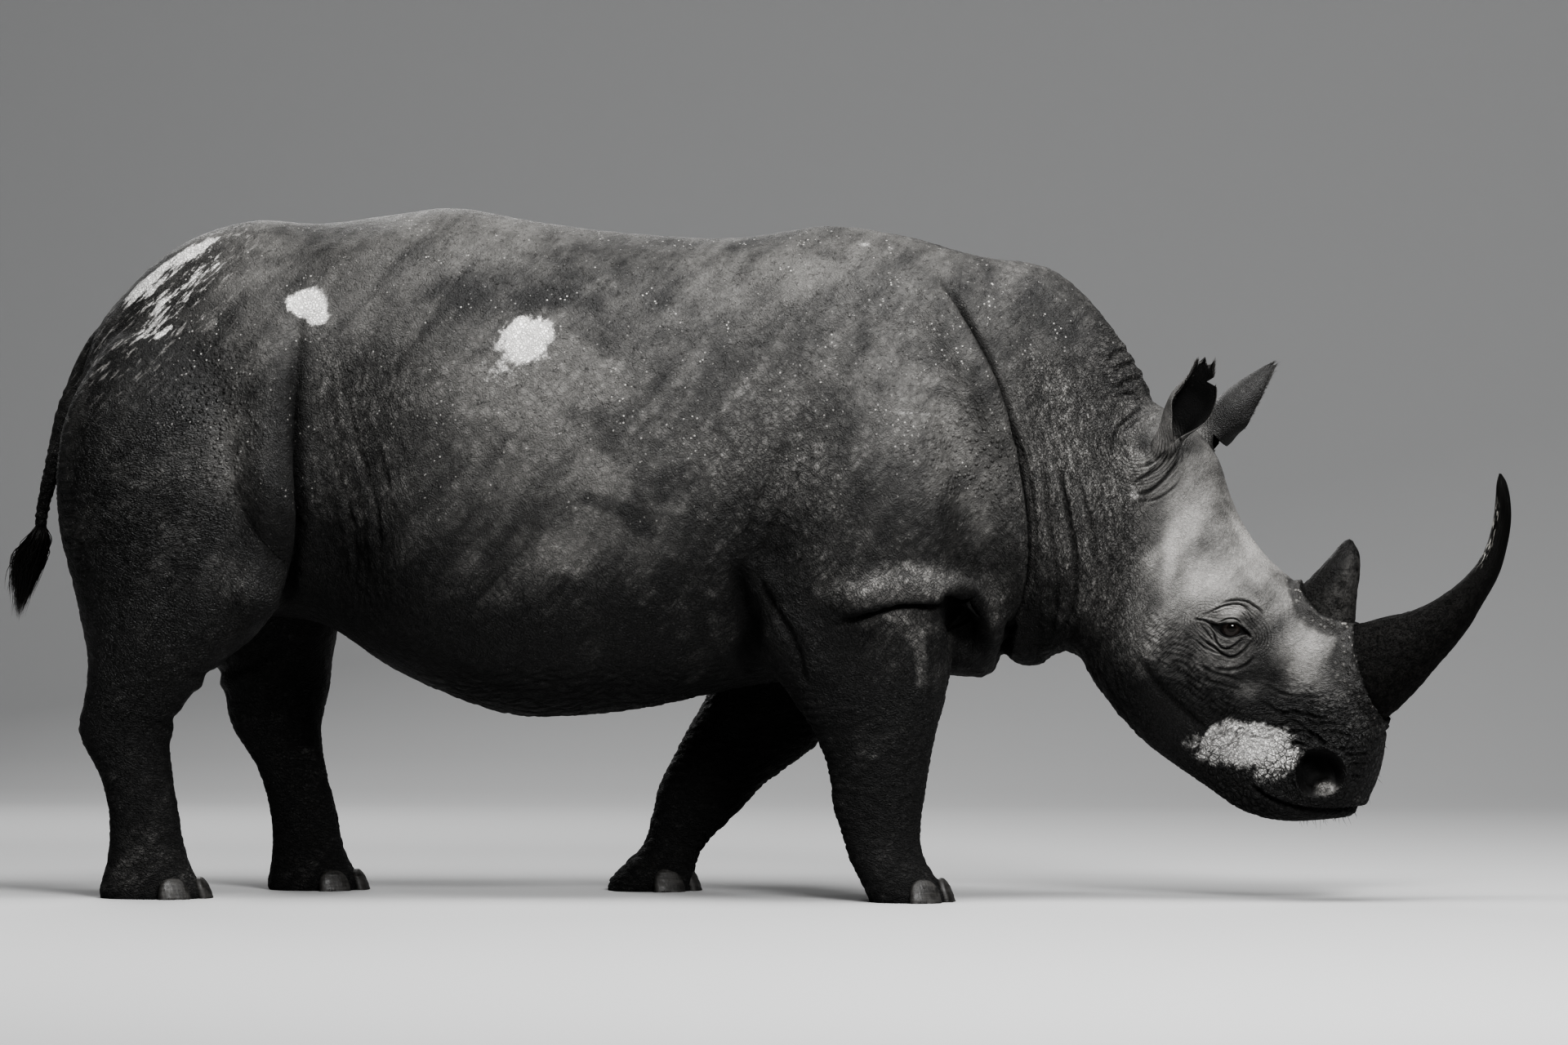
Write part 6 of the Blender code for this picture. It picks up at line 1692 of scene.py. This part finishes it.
def hide_looks():
    """Dark wet-looking hide under pale dried dust, with cracked clay in places, and a net of fine wrinkles; shade is
    painted into its colour in the grooves, wrinkle lines and hollows, and light and shade come painted with the dust
    map.
    """
    n = Looks("hide")
    rest = n.attribute("rest", "Vector")
    dust_and_painted_light, clay, wet, cavity_shade = (n.attribute(a) for a in ("dust_and_painted_light", "clay", "wet", "cavity_shade"))
    upright, level, plates, back, head, specks, bumps, gristle, rump = (
        n.attribute(a) for a in ("upright", "level", "plates", "back", "head", "specks", "bumps", "gristle", "rump")
    )
    bent = n.bent(rest, 16.0, 0.014)

    # Wrinkles: two slanting sets that cross in lozenges, one upright set and one level set, each a ridged noise.
    def ridges(turn, fine, along, depth):
        value = n.noise(n.moved(bent, (along, depth, fine), (0, turn, 0)), 1.0, 1.0, 0.5)
        return n.step(n.math("ABSOLUTE", n.less(value, 0.5)), 0.0, 0.062)

    ears, cheek, snout, bare, calm, ring, ringed = (n.attribute(a) for a in ("ears", "cheek", "snout", "bare", "calm", "ring", "ringed"))
    level = n.times(level, n.less(1.0, ears))
    face = n.times(head, n.less(1.0, n.times(0.75, plates)))
    plain = n.math("MAXIMUM", face, ears)
    cross = n.math("MINIMUM", ridges(-50, 118, 34, 62), ridges(42, 118, 34, 62))
    lines_up = n.math("MINIMUM", ridges(-74, 118, 26, 50), ridges(-109, 118, 26, 50))
    lines_level = n.math("MINIMUM", ridges(-16, 118, 26, 30), ridges(13, 118, 26, 30))
    lines_cheek = ridges(40, 130, 22, 40)
    lines_snout = n.math("MINIMUM", ridges(22, 100, 22, 40), ridges(2, 100, 22, 40))
    net = n.step(n.cells(bent, 112.0), 0.0, 0.22)
    tiny = n.step(n.cells(bent, 235.0), 0.0, 0.26)
    wave = n.add(ring, n.times(0.0055, n.noise(rest, 38.0, 2.0, 0.5)))
    rings = n.step(n.math("SINE", n.times(wave, 2 * math.pi / 0.0074)), 0.98, 0.52)
    rings = n.less(1.0, n.times(n.less(1.0, rings), ringed, n.step(n.noise(n.moved(rest, by=(5.0, 0.0, 0.0)), 24.0, 2.0, 0.5), 0.34, 0.52)))
    plate = n.step(n.cells(n.bent(rest, 30.0, 0.014), 58.0), 0.0, 0.12)
    pits = n.noise(rest, 330.0, 2.0, 0.6)
    lift = n.times(cross, n.add(0.0018, n.times(-0.0011, calm), n.times(-0.0015, plain)))
    lift = n.add(lift, n.times(net, n.add(0.0012, n.times(-0.0007, calm), n.times(-0.0008, plain))))
    lift = n.add(lift, n.times(tiny, 0.0007, n.add(0.25, n.times(0.75, plain))), n.times(rings, 0.0022))
    lift = n.add(lift, n.times(lines_up, n.times(0.0028, upright)))
    lift = n.add(lift, n.times(lines_level, n.times(0.0034, level)))
    lift = n.add(lift, n.times(plate, n.times(0.0032, plates)))
    lift = n.add(lift, n.times(lines_cheek, n.times(0.0030, cheek)), n.times(lines_snout, n.times(0.0036, snout)))
    lift = n.add(lift, n.times(0.0011, pits), n.times(0.0014, n.noise(n.moved(bent, (60.0, 90.0, 190.0), (0, 38, 0)), 1.0, 2.0, 0.5), calm))
    mud = n.noise(rest, 26.0, 6.0, 0.66)
    crumbs = n.step(n.noise(rest, 78.0, 3.0, 0.6), 0.60, 0.70)
    knobs = n.step(n.cells(rest, 64.0, "F1"), 0.40, 0.14)
    lift = n.add(lift, n.times(crumbs, 0.0022, n.add(0.10, n.times(0.9, specks))))
    lift = n.add(lift, n.times(knobs, 0.0052, bumps), n.times(knobs, 0.0036, gristle))

    # Dust, which carries painted light and shade from its map: thick on the upper side and thin low down, thinned in
    # the wrinkles and hollows as painted shade, streaked where it has run.
    broad = n.noise(rest, 3.0, 5.0, 0.6, 0.3)
    patch = n.noise(n.moved(rest, (1.0, 1.0, 0.75)), 8.0, 5.0, 0.60, 0.5)
    streak = n.noise(n.moved(rest, (8.0, 9.0, 36.0), (0, 50, 0)), 1.0, 4.0, 0.6)
    fine = n.noise(rest, 120.0, 3.0, 0.6)
    smear = n.noise(n.moved(rest, (2.6, 3.0, 10.0), (0, 50, 0)), 1.0, 4.0, 0.62, 0.6)
    loose = n.less(1.0, n.math("MAXIMUM", n.math("MAXIMUM", n.times(0.25, head), n.times(0.75, ears)), n.times(0.55, upright)))
    much = n.add(dust_and_painted_light, n.times(0.95, n.less(broad, 0.5), loose), n.times(0.90, n.less(patch, 0.5), loose), n.times(0.50, n.less(streak, 0.5), loose))
    much = n.add(much, n.times(1.00, n.less(smear, 0.5), n.less(1.0, n.math("MAXIMUM", n.math("MAXIMUM", n.times(0.6, head), n.times(0.85, ears)), n.times(0.55, upright)))))
    much = n.add(much, n.times(0.16, n.less(fine, 0.5)))
    shallow = n.math("MAXIMUM", n.times(0.86, plain), n.times(0.80, calm))
    # The dust is thinned along the crossing wrinkle lines and the net, and in the marked hollows: painted shade in
    # those grooves.
    wear_and_groove_shade = n.times(n.add(0.60, n.times(0.40, n.math("MAXIMUM", cross, shallow))), n.add(0.72, n.times(0.28, n.math("MAXIMUM", net, shallow))))
    much = n.times(n.step(much, 0.05, 1.0), wear_and_groove_shade, n.less(1.0, n.times(0.88, cavity_shade)))
    dusty = n.mixed(calm, n.mixed(head, (0.225, 0.218, 0.208), (0.310, 0.301, 0.288)), (0.108, 0.1045, 0.099))
    color = n.mixed(much, (0.0085, 0.0082, 0.0078), dusty)
    # Dark flecks and light crumbs of dried mud.
    fleck = n.step(n.noise(rest, 46.0, 4.0, 0.7), 0.60, 0.68)
    color = n.mixed(n.times(fleck, specks, 0.80), color, (0.018, 0.017, 0.016))
    pale = n.step(n.noise(n.moved(rest, by=(3.0, 1.0, 2.0)), 105.0, 3.0, 0.7), 0.66, 0.72)
    color = n.mixed(n.times(pale, n.add(0.06, n.times(0.50, specks), n.times(0.4, bumps))), color, (0.33, 0.32, 0.305))
    dots = n.times(n.step(n.cells(rest, 62.0, "F1"), 0.20, 0.11), n.step(n.noise(rest, 9.0, 3.0, 0.65), 0.50, 0.64))
    color = n.mixed(n.times(dots, specks, 0.75), color, (0.42, 0.41, 0.39))
    run = n.noise(n.moved(rest, (16.0, 30.0, 85.0), (0, 47, 0)), 1.0, 5.0, 0.68)
    color = n.mixed(n.times(n.step(run, 0.535, 0.66), rump, 0.70), color, (0.30, 0.29, 0.277))
    # Clay: patchy, cracked along the wrinkles.
    still = n.less(1.0, n.times(0.75, rump))
    edge = n.add(clay, n.times(0.9, n.less(mud, 0.5), still), n.times(0.25, n.less(fine, 0.5)), n.times(1.1, n.less(patch, 0.5), still))
    edge = n.add(edge, n.times(2.4, n.less(run, 0.5), rump))
    edge = n.add(edge, n.times(0.9, n.less(smear, 0.5)), n.times(0.7, n.less(streak, 0.5)))
    laid = n.times(n.step(edge, 0.34, 0.62), n.step(clay, 0.04, 0.30), n.add(0.42, n.times(0.58, n.math("MINIMUM", net, cross))))
    laid = n.times(laid, n.step(clay, 0.0, 0.70, 0.30, 1.0), n.less(1.0, n.times(0.65, plates, n.less(1.0, plate))))
    color = n.mixed(laid, color, (0.84, 0.825, 0.80))
    # Horn's rough foot; then painted shade, the colour darkened in the grooves, wrinkle lines, mouth and nostrils.
    color = n.mixed(n.times(n.step(n.add(gristle, n.times(0.9, n.less(mud, 0.5))), 0.18, 0.60), 0.85), color, (0.016, 0.0152, 0.0143))
    color = n.mixed(n.times(gristle, knobs, n.step(n.noise(rest, 40.0, 3.0, 0.6), 0.36, 0.60)), color, (0.20, 0.193, 0.182))
    shade = n.times(n.less(1.0, n.times(0.88, cavity_shade)), n.step(n.math("MAXIMUM", cross, shallow), 0.0, 1.0, 0.66, 1.0))
    shade = n.times(shade, n.less(1.0, n.times(0.55, cheek, n.less(1.0, lines_cheek))), n.less(1.0, n.times(0.60, snout, n.less(1.0, lines_snout))))
    shade = n.times(shade, n.less(1.0, n.times(0.34, upright, n.less(1.0, lines_up))), n.add(0.50, n.times(0.50, rings)))
    shade = n.times(shade, n.less(1.0, n.times(0.55, level, n.less(1.0, lines_level))), n.less(1.0, n.times(0.50, plates, n.less(1.0, plate))))
    dark = n.mixed(1.0, color, n_grey(n, shade), "MULTIPLY")
    lift = n.add(lift, n.times(laid, 0.0016))
    n.raised(n.times(lift, n.less(1.0, n.times(0.85, bare))))
    damp = n.times(wet, n.less(1.0, n.times(0.6, much)), n.less(1.0, laid))
    rough = n.step(damp, 0.0, 0.9, 0.60, 0.27)
    split = n.tree.nodes.new("ShaderNodeSeparateXYZ")
    n.put(rest, split.inputs[0])
    rough = n.add(rough, n.times(0.20, n.less(fine, 0.5)), n.times(0.35, cavity_shade), n.step(split.outputs["Z"], 0.20, 0.50, 0.12, 0.0))
    n.set(Base_Color=dark, Roughness=rough)
    n.shader.inputs["Specular IOR Level"].default_value = 0.37
    return n.material


def n_grey(n, value):
    node = n.tree.nodes.new("ShaderNodeCombineColor")
    for socket in node.inputs[:3]:
        n.put(value, socket)
    return node.outputs[0]


def horn_looks(name, rear):
    """Packed fibres: dusty and granular where young, dark and polished towards the tip."""
    n = Looks(name)
    grown = n.attribute("grown", "Vector")
    rest = n.attribute("rest", "Vector")
    split = n.tree.nodes.new("ShaderNodeSeparateXYZ")
    n.put(grown, split.inputs[0])
    t = split.outputs["Z"]
    fibre = n.noise(n.moved(grown, (34.0, 34.0, 5.0)), 1.0, 4.0, 0.6)
    thin = n.noise(n.moved(grown, (110.0, 110.0, 9.0)), 1.0, 3.0, 0.6)
    clods = n.noise(rest, 60.0, 5.0, 0.65)
    young = n.step(t, 0.25, 0.72, 1.0, 0.0)
    rings = n.noise(n.moved(grown, (1.5, 1.5, 60.0)), 1.0, 3.0, 0.6)
    color = n.mixed(n.times(young, n.step(clods, 0.35, 0.70)), (0.0045, 0.0043, 0.0040), (0.012, 0.0113, 0.0106) if not rear else (0.026, 0.025, 0.0235))
    color = n.mixed(n.times(n.step(fibre, 0.52, 0.75), 0.5), color, (0.014, 0.0132, 0.0122) if not rear else (0.030, 0.0285, 0.0265))
    color = n.mixed(n.times(n.step(thin, 0.62, 0.8), 0.30), color, (0.030, 0.029, 0.027))
    if rear:
        # Its front face is scraped pale, its back and tip are dark.
        face = n.step(split.outputs["X"], 0.10, -0.20)
        color = n.mixed(n.times(face, n.step(t, 0.95, 0.70), n.step(n.noise(rest, 34.0, 5.0, 0.65), 0.36, 0.60)), color, (0.042, 0.0405, 0.0385))
        color = n.mixed(n.times(n.step(split.outputs["X"], -0.05, 0.30), 0.8), color, (0.008, 0.0076, 0.0072))
    # Worn strips low on the inside of the curve, near the tip.
    if not rear:
        inner = n.math("MULTIPLY", n.step(split.outputs["X"], 0.05, 0.34), n.step(t, 0.50, 0.60))
        inner = n.times(inner, n.step(t, 0.86, 0.74), n.step(n.noise(n.moved(grown, (9.0, 9.0, 26.0)), 1.0, 4.0, 0.65), 0.50, 0.62))
        color = n.mixed(n.times(inner, 0.85), color, (0.30, 0.29, 0.27))
    grains = n.step(n.noise(rest, 190.0, 3.0, 0.7), 0.50, 0.66)
    lift = n.add(n.times(0.0040, young, clods), n.times(0.0020, fibre), n.times(0.0006, thin), n.times(0.0010, rings, young), n.times(0.0030, grains, young))
    n.raised(lift)
    n.set(Base_Color=color, Roughness=n.add(n.step(t, 0.35, 0.85, 0.66, 0.33), n.times(0.15, n.less(fibre, 0.5))))
    n.shader.inputs["Specular IOR Level"].default_value = 0.12 if not rear else 0.18
    return n.material


def eye_looks():
    n = Looks("eye")
    look = n.attribute("look", "Vector")
    split = n.tree.nodes.new("ShaderNodeSeparateXYZ")
    n.put(look, split.inputs[0])
    off = n.math("SQRT", n.add(n.math("POWER", split.outputs["X"], 2.0), n.math("POWER", n.times(split.outputs["Y"], 1.08), 2.0)))
    spokes = n.noise(n.moved(look, (14.0, 14.0, 0.0)), 1.0, 4.0, 0.7, 1.2)
    iris = n.mixed(n.step(spokes, 0.35, 0.70), (0.0040, 0.0028, 0.0022), (0.0120, 0.0082, 0.0062))
    white = n.mixed(n.noise(look, 12.0, 4.0, 0.6), (0.012, 0.009, 0.008), (0.035, 0.028, 0.025))
    color = n.mixed(n.step(off, 0.40, 0.47), iris, white)
    color = n.mixed(n.step(off, 0.17, 0.20), (0.0015, 0.0015, 0.0015), color)
    n.set(Base_Color=color, Roughness=0.04)
    n.shader.inputs["IOR"].default_value = 1.376
    return n.material


def nail_looks():
    n = Looks("nail")
    rest = n.attribute("rest", "Vector")
    bands = n.noise(n.moved(rest, (14.0, 14.0, 190.0)), 1.0, 3.0, 0.6)
    dirt = n.noise(rest, 45.0, 5.0, 0.65)
    scratch = n.noise(n.moved(rest, (240.0, 240.0, 30.0)), 1.0, 3.0, 0.6)
    color = n.mixed(n.step(bands, 0.40, 0.66), (0.011, 0.0103, 0.0094), (0.025, 0.0236, 0.0216))
    color = n.mixed(n.times(n.step(dirt, 0.42, 0.70), 0.6), color, (0.042, 0.040, 0.0375))
    n.raised(n.add(n.times(0.0012, bands), n.times(0.0006, scratch), n.times(0.0008, dirt)))
    n.set(Base_Color=color, Roughness=n.step(dirt, 0.3, 0.7, 0.42, 0.75))
    return n.material


def hair_looks():
    n = Looks("tail_hair")
    lock, along = n.attribute("lock"), n.attribute("along")
    color = n.mixed(lock, (0.0060, 0.0054, 0.0048), (0.024, 0.022, 0.020))
    color = n.mixed(n.step(along, 0.55, 1.0, 0.0, 0.45), color, (0.055, 0.050, 0.045))
    n.set(Base_Color=color, Roughness=0.42)
    return n.material


# ---------------------------------------------------------------- the whole
FLESH_NODES = (
    "trunk", "neck", "head", "tail", "ear_right", "ear_left", "foreleg_right", "foreleg_left", "hindleg_right", "hindleg_left",
    "forefoot_right", "forefoot_left", "hindfoot_right", "hindfoot_left",
)
low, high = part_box("eye_right")
SHIFT = (np.array(low) + np.array(high)) / 2 - turned([np.array(EYE_AT) * (1, -1, 1)])[0]
SHIFT[2] = 0.0
said(f"the frame lies {SHIFT.round(5).tolist()} from where the shapes are made")


def placed(obj, turn=True):
    """Turns the head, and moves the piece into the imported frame."""
    co = coordinates(obj.data)
    set_coordinates(obj.data, (turned(co) if turn else co) + SHIFT)
    obj.data.shade_smooth()
    return obj


def finished(obj, material, nodes):
    obj.data.materials.clear()
    obj.data.materials.append(material)
    obj.data.name = obj.name
    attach(obj, "root")
    if nodes:
        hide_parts(*nodes)
    return obj


front = build_horn("front_horn", HORN_FRONT, 240, 180, 1.0)
rear = build_horn("rear_horn", HORN_REAR, 130, 160, 1.0)
roughened(front, 0.022, 0.0036)
roughened(rear, 0.020, 0.0034, 0.4)
for obj in (front, rear):
    store(obj.data, "rest", coordinates(obj.data))
bm = bmesh.new()
bm.from_mesh(front.data)
bm.from_mesh(rear.data)
both = from_bmesh("both_horns", bm, False)
skin = build_skin(both)
bpy.data.objects.remove(both)
rng = np.random.default_rng(7)
whiskers = build_whiskers(skin, rng)
placed(skin)
bm = bmesh.new()
bm.from_mesh(skin.data)
geometry = bm.verts[:] + bm.edges[:] + bm.faces[:]
bmesh.ops.bisect_plane(bm, geom=geometry, plane_co=(0, 0, SOLE), plane_no=(0, 0, 1), clear_inner=True)
bmesh.ops.holes_fill(bm, edges=[e for e in bm.edges if e.is_boundary], sides=0)
bm.to_mesh(skin.data)
bm.free()
skin.data.shade_smooth()
said("placed")

HIDE, HORN, REAR_HORN, EYE, NAIL, HAIR = hide_looks(), horn_looks("horn", False), horn_looks("rear_horn", True), eye_looks(), nail_looks(), hair_looks()
finished(skin, HIDE, FLESH_NODES)
finished(placed(front), HORN, ["horn_front"])
finished(placed(rear), REAR_HORN, ["horn_rear"])
for side, sign in (("right", -1), ("left", 1)):
    finished(placed(build_eye("eyeball_" + side, sign)), EYE, ["eye_" + side])
for foot, stations, sign, tall in FEET:
    _, _, back, ahead, inner, outer = stations[1]
    middle = ((back + ahead) / 2, sign * (inner + outer) / 2)
    reach = ((ahead - back) / 2, (outer - inner) / 2)
    for label, angle, wide in NAILS:
        a = math.radians(angle) * sign
        c, s = power(math.cos(a), 2.35), power(math.sin(a), 2.35)
        at = (middle[0] + (reach[0] - 0.004) * c, middle[1] + (reach[1] - 0.004) * s, 0.0)
        toenail = build_nail(f"toenail_{foot}_{label}", at, a * 0.92, wide, 0.020, tall)
        store(toenail.data, "rest", coordinates(toenail.data))
        finished(placed(toenail, False), NAIL, [f"nail_{foot}_{label}"])
finished(placed(build_tuft(rng), False), HAIR, ["tail_tuft"])
for side in ("right", "left"):
    finished(placed(build_fringe(side, rng)), HAIR, [])
finished(placed(whiskers), HAIR, [])
said("pieces")

# ---------------------------------------------------------------- floor, light and camera
stage_looks = Looks("stage")
stage_looks.set(Base_Color=(0.36, 0.36, 0.36), Roughness=0.85)
# Clear from behind, so that the backdrop never stands between another view's camera and the animal
tree = stage_looks.tree
clear, sides, either = (tree.nodes.new(kind) for kind in ("ShaderNodeBsdfTransparent", "ShaderNodeNewGeometry", "ShaderNodeMixShader"))
tree.links.new(sides.outputs["Backfacing"], either.inputs[0])
tree.links.new(stage_looks.shader.outputs[0], either.inputs[1])
tree.links.new(clear.outputs[0], either.inputs[2])
tree.links.new(either.outputs[0], next(node for node in tree.nodes if node.type == "OUTPUT_MATERIAL").inputs["Surface"])
profile = [(-30.0, 0.0), (6.0, 0.0)] + [(6.0 + 5 * math.sin(a), 5 - 5 * math.cos(a)) for a in np.linspace(0.1, math.pi / 2, 14)] + [(11.0, 22.0)]
bm = bmesh.new()
rows = [[bm.verts.new((x, y, z)) for x in (-26.0, 26.0)] for y, z in profile]
for a, b in zip(rows, rows[1:]):
    bm.faces.new((a[0], a[1], b[1], b[0]))
floor = from_bmesh("floor", bm, False)
floor.data.materials.append(stage_looks.material)
floor.data.shade_smooth()
floor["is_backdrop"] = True


def softbox(name, at, towards, size, watts):
    light = bpy.data.lights.new(name, "AREA")
    light.shape = "RECTANGLE"
    light.size, light.size_y = size
    light.energy = watts
    obj = bpy.data.objects.new(name, light)
    obj.location = at
    obj.rotation_euler = (Vector(towards) - Vector(at)).to_track_quat("-Z", "Y").to_euler()
    bpy.context.scene.collection.objects.link(obj)


softbox("top", (0.8, -1.4, 6.2), (0.0, 0.0, 0.9), (6.0, 2.6), 600)
softbox("front quarter", (3.2, -7.0, 5.2), (0.2, 0.0, 0.9), (2.6, 1.8), 820)
softbox("back quarter", (-2.5, 5.6, 4.2), (0.0, 0.0, 1.0), (4.0, 3.0), 190)
world = bpy.data.worlds.new("studio")
world.use_nodes = True
world.node_tree.nodes["Background"].inputs["Color"].default_value = (0.85, 0.87, 0.90, 1.0)
world.node_tree.nodes["Background"].inputs["Strength"].default_value = 0.15
bpy.context.scene.world = world
bpy.context.scene.view_settings.look = "AgX - High Contrast"

camera_data = bpy.data.cameras.new("camera")
camera_data.lens = 223.2
camera_data.sensor_width = 36.0
camera_data.clip_end = 200.0
camera = bpy.data.objects.new("camera", camera_data)
aim = Vector((0.0, 0.0, 0.96)) + Vector(SHIFT)
view = math.radians(5.0)
camera.location = aim + Vector((math.sin(view), -math.cos(view), 0)) * 25.0
camera.location.z = 1.2036
camera.rotation_euler = (aim - camera.location).to_track_quat("-Z", "Y").to_euler()
bpy.context.scene.collection.objects.link(camera)
bpy.context.scene.camera = camera

bpy.context.view_layer.update()
VISUAL_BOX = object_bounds()
said(f"CAD box {np.round(CAD_BOX, 4).tolist()}, visual box {np.round(VISUAL_BOX, 4).tolist()}")
